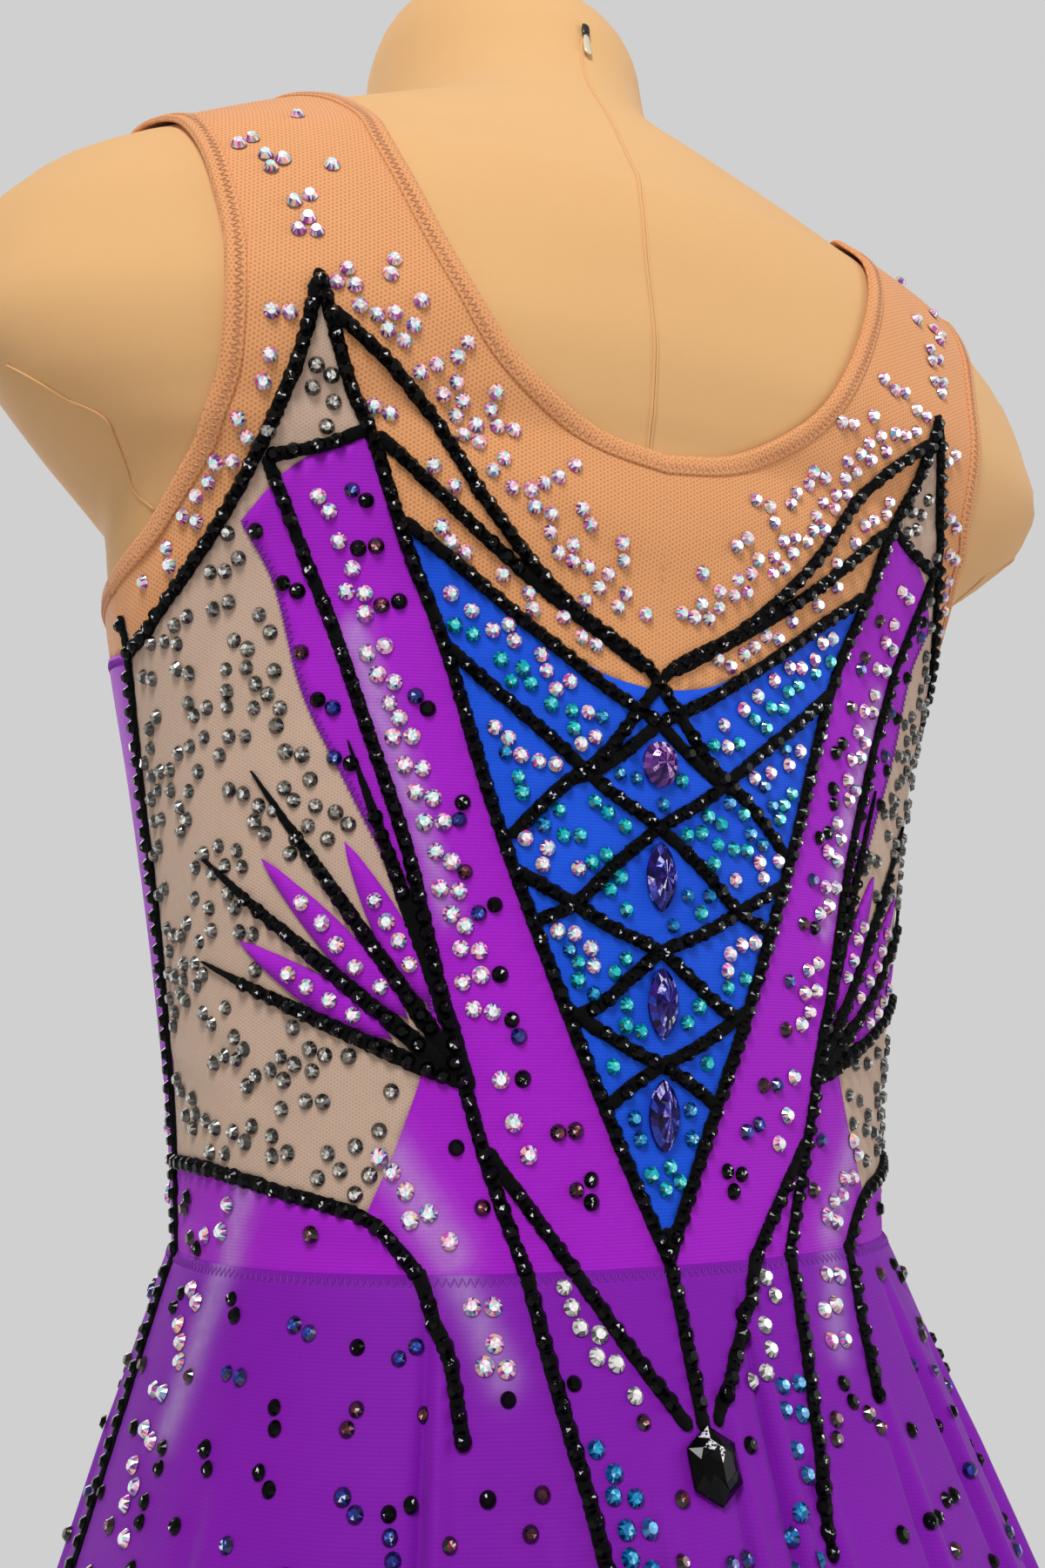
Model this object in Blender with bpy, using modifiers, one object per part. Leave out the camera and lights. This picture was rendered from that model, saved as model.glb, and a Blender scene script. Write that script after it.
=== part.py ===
"""Rhythmic gymnastics leotard with a flared skirt, worn by a limbless dress form.

Frame: +Z up, the garment's front faces -Y, its wearer's left is +X, and the
origin is on the standing surface between the two flat ends of the form.
Sizes in the tables are millimetres.

Cloth is laid out in pattern coordinates: "across" is the girth measured from
the centre back (+ towards the wearer's left) and "height" is the height above
the standing surface. Front pieces measure "across" from the centre front.
"""

import math
from collections import namedtuple

import bmesh
import bpy
import numpy as np
from mathutils import Matrix, Vector
from mathutils.geometry import delaunay_2d_cdt

# Driving sizes
MM = 0.001
EASE = 1.2           # form to cloth
BRIEFS_EASE = 1.9
CLOTH = 1.1          # stretch cloth with its backing
SEAM = 0.3           # between neighbours at a seam
TAPE_WIDTH = 3.8     # black velvet tape
TAPE_HEIGHT = 1.1
HEM_WIDTH = 5.0      # folded and stitched edge of the mesh
HEM_HEIGHT = 0.8
TAPE_LIFT = 0.5      # clear of the cloth's own facets
HEM_LIFT = 0.9
STONE_SEAT = 0.4

WAIST_HEIGHT = 300.0     # seam where the skirt is set on
SKIRT_HEM_HEIGHT = 102.0
SKIRT_TOP_HEIGHT = 303.0
GUSSET_HEIGHT = 106.0
LEG_LINE_SIDE_HEIGHT = 205.0
STRAP_INNER_HEIGHT = 650.0
STRAP_OUTER_HEIGHT = 626.0

THIGH_HEIGHT = 128.0
THIGH_SPREAD = 72.0
THIGH_TOP_RADII = (47.0, 61.0)
THIGH_END_RADII = (46.0, 57.0)
THIGH_CENTRE_Y = 6.0
THIGH_SIDES = 28

FORM_COLUMNS = 40
FORM_ROW_STEP = 21.0
SKIRT_COLUMNS = 64
SKIRT_ROWS = 5
YOKE_GRID = 13.5
STRAP_GRID = 8.5
STRAP_FROM_HEIGHT = 600.0
PANEL_GRID = 15.0
BRIEFS_GRID = 18.0
SEAM_STEP = 10.0
YOKE_EDGE_STEP = 11.0
TAPE_STEP = 12.0
HEM_STEP = 9.0
UPRIGHT_STRETCH = 1.7    # the form curves less up and down than round
MERGE_DISTANCE = 0.02

# The form's level sections: half width, depth behind and in front of x = 0,
# where the widest point lies, and how square the section is (2 is an ellipse)
Section = namedtuple("Section", "height half_width back front widest_at squareness")
BODY = (
    Section(84, 30, 30, 22, 0, 2.0),
    Section(86, 58, 52, 40, 0, 2.0),
    Section(91, 88, 76, 60, 0, 2.1),
    Section(101, 111, 92, 75, 0, 2.2),
    Section(120, 122, 100, 84, 0, 2.3),
    Section(150, 127, 103, 88, 0, 2.3),
    Section(180, 127, 101, 88, -1, 2.3),
    Section(215, 121, 93, 87, -4, 2.3),
    Section(255, 110, 81, 86, -7, 2.3),
    Section(288, 103, 75, 86, -8, 2.3),
    Section(330, 106, 72, 86, -7, 2.3),
    Section(365, 111, 73, 87, -6, 2.3),
    Section(430, 123, 75, 92, -3, 2.3),
    Section(470, 132, 78, 96, 2, 2.3),
    Section(494, 137, 83, 97, 10, 2.3),
    Section(505, 140, 84, 95, 22, 2.25),
    Section(514, 151, 84, 93, 31, 2.15),
    Section(527, 167, 88, 90, 34, 2.0),
    Section(548, 180, 92, 87, 28, 2.0),
    Section(572, 181, 91, 82, 17, 2.0),
    Section(596, 171, 86, 77, 6, 2.0),
    Section(617, 147, 73, 72, -3, 2.0),
    Section(635, 119, 62, 70, -9, 2.0),
    Section(650, 88, 52, 72, -15, 2.1),
    Section(663, 65, 43, 75, -21, 2.1),
    Section(676, 54, 35, 78, -27, 2.1),
    Section(695, 52, 27, 82, -32, 2.1),
    Section(715, 52, 22, 83, -35, 2.1),
    Section(730, 49, 14, 79, -35, 2.1),
    Section(743, 38, 0, 66, -34, 2.1),
    Section(749, 20, -17, 46, -32, 2.0),
)

# Seams of the bodice on the wearer's left, centre back outwards
Point = namedtuple("Point", "across height")
NECKLINE_BACK = (Point(0, 514), Point(17, 517), Point(32, 523.5), Point(48, 535),
                 Point(61, 553), Point(71, 573), Point(78, 591), Point(85, 618))
ARMHOLE_BACK = (Point(165, 485), Point(155, 486.5), Point(143, 490.5), Point(133, 499),
                Point(124, 510), Point(119.5, 526), Point(120.5, 550),
                Point(125.5, 576), Point(134, 599))
SIDE_SEAM = (Point(165, 485), Point(156, 473), Point(153, 462), Point(152, 428),
             Point(147, 380), Point(146, 334), Point(147, 300))
PEAK = Point(98, 547)
YOKE_LOWER_EDGE = (PEAK, Point(99.5, 533), Point(104, 516), Point(112, 499),
                   Point(121, 485), Point(132, 473), Point(144, 464.5), Point(153, 462))
PEAK_INNER_EDGE = (PEAK, Point(92, 530), Point(86, 517), Point(81, 509))
BAND_INNER_TOP = (Point(81, 509), Point(77, 499), Point(73, 488))
BLUE_TOP_EDGE = (Point(73, 488), Point(56, 477), Point(40, 465), Point(26, 456.5),
                 Point(13, 451), Point(0, 449))
BLUE_SIDE_EDGE = (Point(73, 488), Point(60, 459), Point(44, 411), Point(29, 372),
                  Point(10, 327), Point(0, 305))
BAND_TOP_EDGE = (Point(81, 509), Point(100, 500), Point(112, 488))
BAND_OUTER_EDGE = (Point(112, 488), Point(103, 474), Point(93.7, 445),
                   Point(80.6, 419.6), Point(66, 391), Point(59.5, 374),
                   Point(60, 355), Point(65, 336), Point(73.5, 315.6))
WAIST_CURVE = (Point(73.5, 315.6), Point(93.7, 321.2), Point(115, 325.5),
               Point(132, 327), Point(146, 327))

# Front seams, from the centre front: x of the point instead of girth
FrontPoint = namedtuple("FrontPoint", "x height")
NECKLINE_FRONT = (FrontPoint(0, 556), FrontPoint(19, 559), FrontPoint(38, 570),
                  FrontPoint(54, 590), FrontPoint(66, 613), FrontPoint(77, 634))
ARMHOLE_FRONT = (FrontPoint(129, 488), FrontPoint(123, 496), FrontPoint(117, 512),
                 FrontPoint(115, 535), FrontPoint(117, 560), FrontPoint(122, 588),
                 FrontPoint(129, 608))
YOKE_FRONT_LOWER_EDGE = (FrontPoint(0, 470), FrontPoint(28, 482), FrontPoint(60, 497),
                         FrontPoint(88, 497), FrontPoint(112, 482))

# Leg lines of the briefs
LEG_LINE_BACK = (Point(152, 178), Point(118, 148), Point(82, 122), Point(46, 108.5))
LEG_LINE_FRONT = (Point(156, 180), Point(112, 152), Point(72, 124), Point(44, 109))
GUSSET_HALF_WIDTH = 36.0
GUSSET_MARGIN = 6.0
GUSSET_ROWS = 21
GUSSET_COLUMNS = 5
GUSSET_EYE_HEIGHT = 130.0    # rays from here find the form's underside

# Tapes on the bodice; a mirrored tape also runs on the wearer's right
Tape = namedtuple("Tape", "name mirrored points")
BODICE_TAPES = (
    Tape("peak inside and blue side", True,
         (PEAK, (90, 526), (81, 508), (73, 488), (60, 459), (44, 411), (29, 372),
          (10, 327), (0, 306))),
    Tape("peak outside", True,
         ((98, 545), (99.5, 533), (104, 516), (112, 499), (121, 485), (132, 473),
          (144, 464.5), (153.5, 462))),
    Tape("band top", True, ((82, 510), (94, 505), (107, 503))),
    Tape("band strip", True,
         ((107, 503), (98, 484), (89, 465), (77, 434), (66, 403), (59, 376),
          (53, 354), (46, 330), (37, 304.5))),
    Tape("upper double line", True,
         ((94, 538), (71, 520), (50, 493), (25, 469), (3, 455), (-5, 445), (-19, 428),
          (-26, 423), (-41, 408))),
    Tape("lower double line", True, ((80, 509), (53, 487), (28, 469.5), (4, 455))),
    Tape("blue top", True,
         ((72, 488), (55, 476.5), (41, 466), (27, 456.5), (14, 448), (0, 440.5),
          (-9, 433), (-19, 426), (-27, 423))),
    Tape("first lattice line", True,
         ((59, 457), (46, 446), (33, 436), (14, 421), (0, 412.5), (-12, 403),
          (-25, 391), (-36, 386))),
    Tape("second lattice line", True,
         ((40, 400), (27, 393), (12, 385), (0, 380), (-8, 374), (-18, 366), (-25, 363))),
    Tape("third lattice line", True,
         ((27, 366), (17, 360), (7, 354.5), (0, 351.5), (-7, 347.5), (-16, 341))),
    Tape("waist curve", True,
         ((145, 327), (132, 327), (115, 325.5), (93.7, 321.2), (73.5, 315.6),
          (62, 304.5))),
    Tape("second V", True, ((46, 332), (35, 317), (25.5, 304.5))),
    Tape("centre", False, ((0, 312), (0, 304.5))),
)
# Generic fan of tapered strips on the pale side panel
FAN_HUB = Point(49, 346)
FAN_ANGLES_DEG = (24, 39, 54, 69)
FAN_LENGTHS = (80, 96, 98, 92)
FAN_WIDTH = 5.0

# Tapes on the skirt, as girth at its seam and height
SKIRT_TAPES = (
    Tape("centre", False, ((0, 301), (0, 273))),
    Tape("second V", True, ((23.5, 301), (13, 284), (5, 273))),
    Tape("band strip", True, ((36, 301), (32, 280), (27, 255), (25, 240))),
    Tape("waist curve", True, ((60, 301), (54, 284), (51, 268))),
    Tape("side", True, ((147, 301), (147, 260), (147, 215), (147, 160))),
)

# Soft folds of the skirt: direction in plan, width and depth at the hem
Fold = namedtuple("Fold", "angle_deg half_width_deg depth")
SKIRT_FOLDS = (
    Fold(14, 12, 10), Fold(57, 12, 13), Fold(101, 12, 13), Fold(178, 13, 14),
    Fold(219, 12, 13), Fold(260, 12, 13), Fold(300, 12, 13), Fold(338, 12, 11),
)
FLARE_SIDE = 0.325
FLARE_SWING = 0.045      # fuller on the wearer's right
FLARE_BACK = 0.40
FLARE_FRONT = 0.345
FLARE_GROWTH = 0.12

# Large sewn-on stones down the centre back
Stone = namedtuple("Stone", "name height half_width half_length rise")
STONES = (
    Stone("stone_round", 429.5, 5.3, 6.2, 4.2),
    Stone("stone_drop_upper", 399.5, 4.5, 9.2, 4.0),
    Stone("stone_drop_middle", 367.0, 4.5, 9.2, 4.0),
    Stone("stone_drop_lower", 339.0, 4.5, 9.0, 4.0),
)
STONE_SIDES = 12
HEXAGON_HEIGHT = 262.0
HEXAGON_HALF_WIDTH = 6.5
HEXAGON_HALF_LENGTH = 8.5
HEXAGON_RISE = 4.5

Finish = namedtuple("Finish", "color roughness metallic")
FINISHES = {
    "form_cloth": Finish((0.88, 0.60, 0.30), 0.85, 0.0),
    "nude_mesh": Finish((0.78, 0.42, 0.20), 0.75, 0.0),
    "blue_stretch": Finish((0.015, 0.07, 0.80), 0.45, 0.0),
    "purple_stretch": Finish((0.33, 0.02, 0.52), 0.45, 0.0),
    "pale_mesh": Finish((0.58, 0.40, 0.30), 0.75, 0.0),
    "black_velvet": Finish((0.006, 0.006, 0.008), 0.9, 0.0),
    "violet_glass": Finish((0.10, 0.02, 0.38), 0.05, 0.0),
    "jet_glass": Finish((0.01, 0.01, 0.012), 0.05, 0.0),
}


def clear_scene():
    """Remove whatever the scene holds."""
    for item in list(bpy.data.objects):
        bpy.data.objects.remove(item, do_unlink=True)


def make_material(name):
    """Principled material of one finish."""
    finish = FINISHES[name]
    material = bpy.data.materials.new(name)
    material.use_nodes = True
    shader = material.node_tree.nodes["Principled BSDF"]
    shader.inputs["Base Color"].default_value = (*finish.color, 1.0)
    shader.inputs["Roughness"].default_value = finish.roughness
    shader.inputs["Metallic"].default_value = finish.metallic
    material.diffuse_color = (*finish.color, 1.0)
    return material


def monotone(xs, ys, x):
    """Smooth curve through table rows that never overshoots them."""
    xs = np.asarray(xs, float)
    ys = np.asarray(ys, float)
    step = np.diff(xs)
    slope = np.diff(ys) / step
    before = slope[:-1]
    after = slope[1:]
    same = before * after > 0
    weight_a = 2 * step[1:] + step[:-1]
    weight_b = step[1:] + 2 * step[:-1]
    mean = np.zeros(len(before))
    mean[same] = ((weight_a + weight_b)[same]
                  / (weight_a[same] / before[same] + weight_b[same] / after[same]))
    tangent = np.concatenate([slope[:1], mean, slope[-1:]])
    i = np.clip(np.searchsorted(xs, x, side="right") - 1, 0, len(step) - 1)
    t = np.clip((x - xs[i]) / step[i], 0, 1)
    return ((2 * t ** 3 - 3 * t ** 2 + 1) * ys[i]
            + (t ** 3 - 2 * t ** 2 + t) * step[i] * tangent[i]
            + (3 * t ** 2 - 2 * t ** 3) * ys[i + 1]
            + (t ** 3 - t ** 2) * step[i] * tangent[i + 1])


BODY_HEIGHTS = [row.height for row in BODY]


def ring_point(angle, height):
    """Points of the form's skin, by direction in plan and height."""
    columns = [monotone(BODY_HEIGHTS, [row[k] for row in BODY], height)
               for k in range(1, len(Section._fields))]
    half_width, back, front, widest_at, squareness = columns
    c = np.cos(angle)
    s = np.sin(angle)
    depth = np.where(s > 0, back - widest_at, front + widest_at)
    reach = (np.abs(c / half_width) ** squareness
             + np.abs(s / depth) ** squareness) ** (-1 / squareness)
    return np.stack([reach * c, widest_at + reach * s, height + 0 * c], axis=-1)


GIRTH_STEPS = 181


def half_girths(height, from_front=False):
    """Angles from one centre line to the other, and the girth run up on the way."""
    sweep = np.linspace(math.pi / 2, -math.pi / 2, GIRTH_STEPS)
    if from_front:
        sweep = sweep[::-1]
    rings = ring_point(sweep[None, :], np.asarray(height, float)[:, None])
    runs = np.linalg.norm(np.diff(rings, axis=1), axis=-1)
    return sweep, np.concatenate([np.zeros((len(rings), 1)), runs.cumsum(axis=1)], axis=1)


def pattern_angle(points, from_front=False):
    """Direction in plan of pattern points."""
    sweep, girths = half_girths(points[:, 1], from_front)
    angle = np.array([np.interp(abs(across), girth, sweep)
                      for across, girth in zip(points[:, 0], girths)])
    return np.where(points[:, 0] < 0, math.pi - angle, angle)


def moved_out(surface, angle, height, out):
    """Points of a surface moved out along its normal."""
    turn = 0.004
    rise = 0.4
    along = surface(angle + turn, height) - surface(angle - turn, height)
    up = surface(angle, height + rise) - surface(angle, height - rise)
    normal = np.cross(along, up)
    normal /= np.linalg.norm(normal, axis=-1, keepdims=True)
    return surface(angle, height) + normal * out, normal


def on_back(points, out):
    """Pattern points measured from the centre back, out from the form."""
    return moved_out(ring_point, pattern_angle(points), points[:, 1], out)


def on_front(points, out):
    """Pattern points measured from the centre front, out from the form."""
    return moved_out(ring_point, pattern_angle(points, True), points[:, 1], out)


def seated(points, normals, out):
    """Points moved along the form's normals to one distance from its skin."""
    rounds = 4
    middles = [row.widest_at for row in BODY]
    for _ in range(rounds):
        foot = points - normals * out
        middle = monotone(BODY_HEIGHTS, middles, foot[:, 2])
        angle = np.arctan2(foot[:, 1] - middle, foot[:, 0])
        spots, normals = moved_out(ring_point, angle, foot[:, 2], out)
        away = np.sum((points - spots) * normals, axis=1, keepdims=True)
        points = points - normals * away
    return points


def flare(angle):
    """How far the skirt spreads for each unit of drop."""
    back = np.clip(np.sin(angle), 0, 1) ** 2
    front = np.clip(-np.sin(angle), 0, 1) ** 2
    side = FLARE_SIDE - FLARE_SWING * np.cos(angle)
    return side * (1 - back - front) + FLARE_BACK * back + FLARE_FRONT * front


def fold_depth(angle):
    """Depth at the hem of the skirt's folds in one direction."""
    total = 0 * angle
    for fold in SKIRT_FOLDS:
        turn = np.degrees(angle) - fold.angle_deg
        turn = (turn + 180) % 360 - 180
        total = total + fold.depth * np.exp(-(turn / fold.half_width_deg) ** 2)
    return total


def skirt_point(angle, height):
    """Points of the skirt's inner face, by direction in plan and height."""
    turn = 0.004
    drop = SKIRT_TOP_HEIGHT - height
    share = drop / (SKIRT_TOP_HEIGHT - SKIRT_HEM_HEIGHT)
    top = np.full_like(height + 0 * angle, SKIRT_TOP_HEIGHT)
    rim = ring_point(angle, top)
    along = ring_point(angle + turn, top) - ring_point(angle - turn, top)
    outward = np.stack([along[..., 1], -along[..., 0], 0 * along[..., 0]], axis=-1)
    outward /= np.linalg.norm(outward, axis=-1, keepdims=True)
    spread = EASE + CLOTH + SEAM + flare(angle) * drop * (1 + FLARE_GROWTH * share)
    spread = spread - fold_depth(angle) * np.clip(share, 0, 2) ** 1.3
    point = rim + outward * spread[..., None]
    point[..., 2] = height
    return point


def on_skirt(points, out):
    """Pattern points of the skirt: girth at its seam, and height."""
    seam = np.column_stack([points[:, 0], np.full(len(points), SKIRT_TOP_HEIGHT)])
    return moved_out(skirt_point, pattern_angle(seam), points[:, 1], out)


def side_line(heights, shift=0.0, from_front=False):
    """Pattern points straight down the form's side."""
    sweep, girths = half_girths(heights, from_front)
    middle = GIRTH_STEPS // 2
    return np.column_stack([girths[:, middle] + shift, heights])


def to_front(points):
    """The same places measured from the centre front."""
    girths = half_girths(points[:, 1])[1]
    return np.column_stack([girths[:, -1] - points[:, 0], points[:, 1]])


def from_x(points):
    """Front pattern points from their x and height."""
    points = np.array(points, float)
    sweep, girths = half_girths(points[:, 1], True)
    rings = ring_point(sweep[None, :], points[:, 1][:, None])
    reach = [np.interp(x, ring[:GIRTH_STEPS // 2 + 1, 0], girth[:GIRTH_STEPS // 2 + 1])
             for x, ring, girth in zip(points[:, 0], rings, girths)]
    return np.column_stack([reach, points[:, 1]])


def mirrored(points):
    """The same line on the wearer's right."""
    return points * (-1, 1)


def smooth_line(points, step, stretch=UPRIGHT_STRETCH):
    """Points of a smooth line, further apart where it runs up and down."""
    points = np.array(points, float)
    legs = np.diff(points, axis=0) / (1, stretch)
    run = np.concatenate([[0], np.linalg.norm(legs, axis=1).cumsum()])
    count = max(2, int(round(run[-1] / step)) + 1)
    at = np.linspace(0, run[-1], count)
    if len(points) == 2:
        return np.column_stack([np.interp(at, run, points[:, k]) for k in (0, 1)])
    return np.column_stack([monotone(run, points[:, k], at) for k in (0, 1)])


def joined(*lines):
    """One outline from lines that follow each other end to end."""
    points = [lines[0][0]]
    for line in lines:
        for point in line:
            if np.linalg.norm(point - points[-1]) > SEAM:
                points.append(point)
    if np.linalg.norm(points[0] - points[-1]) <= SEAM:
        points.pop()
    return np.array(points)


def area_sign(outline):
    """+1 for an outline that runs anticlockwise."""
    x, y = outline.T
    return math.copysign(1, float(np.sum(x * np.roll(y, -1) - np.roll(x, -1) * y)))


def drawn_in(outline, gap):
    """The outline moved inwards by a gap, with blunt corners."""
    before = outline - np.roll(outline, 1, axis=0)
    after = np.roll(outline, -1, axis=0) - outline
    before /= np.linalg.norm(before, axis=1, keepdims=True)
    after /= np.linalg.norm(after, axis=1, keepdims=True)
    sign = area_sign(outline)
    normal_a = sign * np.column_stack([-before[:, 1], before[:, 0]])
    normal_b = sign * np.column_stack([-after[:, 1], after[:, 0]])
    bisector = normal_a + normal_b
    stretch = np.maximum(1 + np.sum(normal_a * normal_b, axis=1), 0.25)
    return outline + gap * bisector / stretch[:, None]


def inside(points, outline):
    """Which points lie inside the outline."""
    x, y = points.T
    x0, y0 = outline.T
    x1, y1 = np.roll(outline, -1, axis=0).T
    crosses = (y0[None] > y[:, None]) != (y1[None] > y[:, None])
    rise = np.where(y1 == y0, 1, y1 - y0)
    at = x0[None] + (y[:, None] - y0[None]) * ((x1 - x0) / rise)[None]
    return (crosses & (x[:, None] < at)).sum(axis=1) % 2 == 1


def distance_to(points, outline):
    """Distance from each point to the outline."""
    start = outline[None]
    run = (np.roll(outline, -1, axis=0) - outline)[None]
    offset = points[:, None] - start
    t = np.clip(np.sum(offset * run, axis=-1) / np.sum(run * run, axis=-1), 0, 1)
    return np.linalg.norm(offset - t[..., None] * run, axis=-1).min(axis=1)


def grid_rows(low, high, step):
    """Heights of grid rows, closer where the form's side slopes."""
    rows = []
    height = low
    while height < high:
        near = np.array([height - 1.0, height + 1.0])
        width = monotone(BODY_HEIGHTS, [row.half_width for row in BODY], near)
        slope = (width[1] - width[0]) / 2
        rise = step / math.sqrt(1 + slope ** 2)
        height += rise if rows else rise / 2
        rows.append(height)
    return rows[:-1]


def grid_points(outline, step, stretch):
    """Staggered grid of points inside an outline, clear of its edge."""
    low = outline.min(axis=0)
    high = outline.max(axis=0)
    rows = grid_rows(low[1], high[1], step * stretch * math.sqrt(3) / 2)
    centre = round((low[0] + high[0]) / 2, 3)
    points = []
    for k, row in enumerate(rows):
        reach = int((high[0] - low[0]) / 2 / step) + 1
        shift = step / 2 if k % 2 else 0.0
        columns = centre + shift + step * np.arange(-reach, reach + 1)
        points.extend((column, row) for column in columns)
    points = np.array(points)
    keep = inside(points, outline)
    points = points[keep]
    squash = (1, stretch)
    return points[distance_to(points / squash, outline / squash) > 0.5 * step]


def triangulated(outlines, extra):
    """Flat triangles that fill outlines, which may overlap each other."""
    squash = np.array((1, UPRIGHT_STRETCH))
    points = []
    loops = []
    for outline in outlines:
        loops.append(list(range(len(points), len(points) + len(outline))))
        points.extend(Vector(point) for point in outline / squash)
    points.extend(Vector(point / squash) for point in extra)
    result = delaunay_2d_cdt(points, [], loops, 0, MERGE_DISTANCE)
    flat = np.array([tuple(v) for v in result[0]]) * squash
    faces = np.array([tuple(f) for f in result[2]])
    middles = flat[faces].mean(axis=1)
    keep = np.any([inside(middles, outline) for outline in outlines], axis=0)
    used, faces = np.unique(faces[keep], return_inverse=True)
    return flat[used], [tuple(f) for f in faces.reshape(-1, 3).tolist()]


def add_object(name, mesh, material, collection):
    """Object of a finished mesh."""
    item = bpy.data.objects.new(name, mesh)
    item.data.materials.append(material)
    collection.objects.link(item)
    return item


def add_solidify(item, thickness):
    """Give a sheet its thickness outwards."""
    wall = item.modifiers.new("wall", "SOLIDIFY")
    wall.thickness = thickness * MM
    wall.offset = 1.0
    wall.use_rim = True


def sheet(name, outlines, extra, surface, out, thickness, material, collection, turn=1):
    """Cloth wall laid on a surface from flat outlines, mirrored when turn is -1."""
    flat, faces = triangulated(outlines, extra)
    points, normals = surface(flat * (turn, 1), out)
    mesh = bpy.data.meshes.new(name)
    mesh.from_pydata([tuple(p * MM) for p in points], [], faces)
    shell = bmesh.new()
    shell.from_mesh(mesh)
    shell.faces.ensure_lookup_table()
    first = shell.faces[0]
    outward = normals[first.verts[0].index]
    first.normal_update()
    if first.normal.dot(Vector(outward)) < 0:
        bmesh.ops.reverse_faces(shell, faces=shell.faces[:])
    shell.to_mesh(mesh)
    shell.free()
    mesh.shade_smooth()
    item = add_object(name, mesh, material, collection)
    add_solidify(item, thickness)
    return item


def panel(name, outline, surface, material, collection,
          grid=PANEL_GRID, stretch=UPRIGHT_STRETCH, ease=EASE, turn=1):
    """Cloth piece of the bodice or briefs, short of its neighbours by half a seam."""
    cut = drawn_in(outline, SEAM / 2)
    points = grid_points(cut, grid, stretch)
    if cut[:, 1].max() > STRAP_FROM_HEIGHT:
        fine = grid_points(cut, STRAP_GRID, stretch)
        points = np.concatenate([points[points[:, 1] < STRAP_FROM_HEIGHT],
                                 fine[fine[:, 1] >= STRAP_FROM_HEIGHT]])
    return sheet(name, [cut], points, surface, ease, CLOTH, material, collection, turn)


def add_form(material, collection):
    """Torso with shoulder caps and neck, on two short thigh ends."""
    heights = []
    for low, high in zip(BODY[:-1], BODY[1:]):
        rise = math.hypot(high.height - low.height, high.half_width - low.half_width)
        parts = max(1, round(rise / FORM_ROW_STEP))
        heights.extend(np.linspace(low.height, high.height, parts, endpoint=False))
    heights.append(BODY[-1].height)
    angles = np.arange(FORM_COLUMNS) * 2 * math.pi / FORM_COLUMNS
    shell = bmesh.new()
    rings = []
    for height in heights:
        ring = ring_point(angles, np.full(FORM_COLUMNS, float(height)))
        rings.append([shell.verts.new(Vector(p) * MM) for p in ring])
    for low, high in zip(rings[:-1], rings[1:]):
        for k in range(FORM_COLUMNS):
            n = (k + 1) % FORM_COLUMNS
            shell.faces.new((low[k], low[n], high[n], high[k]))
    shell.faces.new(rings[0][::-1])
    shell.faces.new(rings[-1])
    mesh = bpy.data.meshes.new("form")
    shell.to_mesh(mesh)
    shell.free()
    mesh.shade_smooth()
    return add_object("form", mesh, material, collection)


def add_thigh(side, material, collection):
    """One thigh end, a tapered oval from the standing surface into the torso."""
    shell = bmesh.new()
    bmesh.ops.create_cone(shell, cap_ends=True, segments=THIGH_SIDES, radius1=1.0,
                          radius2=1.0, depth=THIGH_HEIGHT)
    for vertex in shell.verts:
        radii = THIGH_TOP_RADII if vertex.co.z > 0 else THIGH_END_RADII
        vertex.co.x = side * THIGH_SPREAD + vertex.co.x * radii[0]
        vertex.co.y = THIGH_CENTRE_Y + vertex.co.y * radii[1]
        vertex.co.z += THIGH_HEIGHT / 2
        vertex.co *= MM
    name = "thigh_left" if side > 0 else "thigh_right"
    mesh = bpy.data.meshes.new(name)
    shell.to_mesh(mesh)
    shell.free()
    thigh = add_object(name, mesh, material, collection)
    thigh.hide_render = True
    thigh.display_type = "WIRE"
    return thigh


def unite(item, other):
    """Fuse another closed solid into an object."""
    union = item.modifiers.new("union " + other.name, "BOOLEAN")
    union.operation = "UNION"
    union.object = other


def strap_line(from_front=False):
    """Shoulder seam on top of the form, neck side first."""
    heights = np.linspace(STRAP_INNER_HEIGHT, STRAP_OUTER_HEIGHT, 6)
    return side_line(heights, 0.0, from_front)


def yoke_back_half():
    """Left half of the back yoke's outline, neckline centre to lower centre."""
    straps = strap_line()
    neck = smooth_line(NECKLINE_BACK + (tuple(straps[0]),), YOKE_EDGE_STEP, 1)
    arm = smooth_line(ARMHOLE_BACK + (tuple(straps[-1]),), YOKE_EDGE_STEP, 1)[::-1]
    side = smooth_line(SIDE_SEAM[:3], SEAM_STEP)
    lower = smooth_line(YOKE_LOWER_EDGE, SEAM_STEP)[::-1]
    inner = smooth_line(PEAK_INNER_EDGE, SEAM_STEP)
    corner = smooth_line(BAND_INNER_TOP, SEAM_STEP)
    blue = smooth_line(BLUE_TOP_EDGE, SEAM_STEP)
    return joined(neck, straps, arm, side, lower, inner, corner, blue)


def both_sides(half):
    """A whole outline from its left half, which starts and ends at the centre."""
    return joined(half, mirrored(half)[::-1])


def yoke_front_half():
    """Left half of the front yoke's outline."""
    straps = strap_line(True)
    neck_points = [tuple(p) for p in from_x(NECKLINE_FRONT)] + [tuple(straps[0])]
    neck = smooth_line(neck_points, YOKE_EDGE_STEP, 1)
    underarm = to_front(np.array([SIDE_SEAM[0]], float))
    arm_points = [tuple(underarm[0])] + [tuple(p) for p in from_x(ARMHOLE_FRONT)]
    arm = smooth_line(arm_points + [tuple(straps[-1])], YOKE_EDGE_STEP, 1)[::-1]
    side = to_front(smooth_line(SIDE_SEAM[:3], SEAM_STEP))
    lower = smooth_line(front_yoke_edge(), SEAM_STEP)
    return joined(neck, straps, arm, side, lower[::-1])


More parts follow.
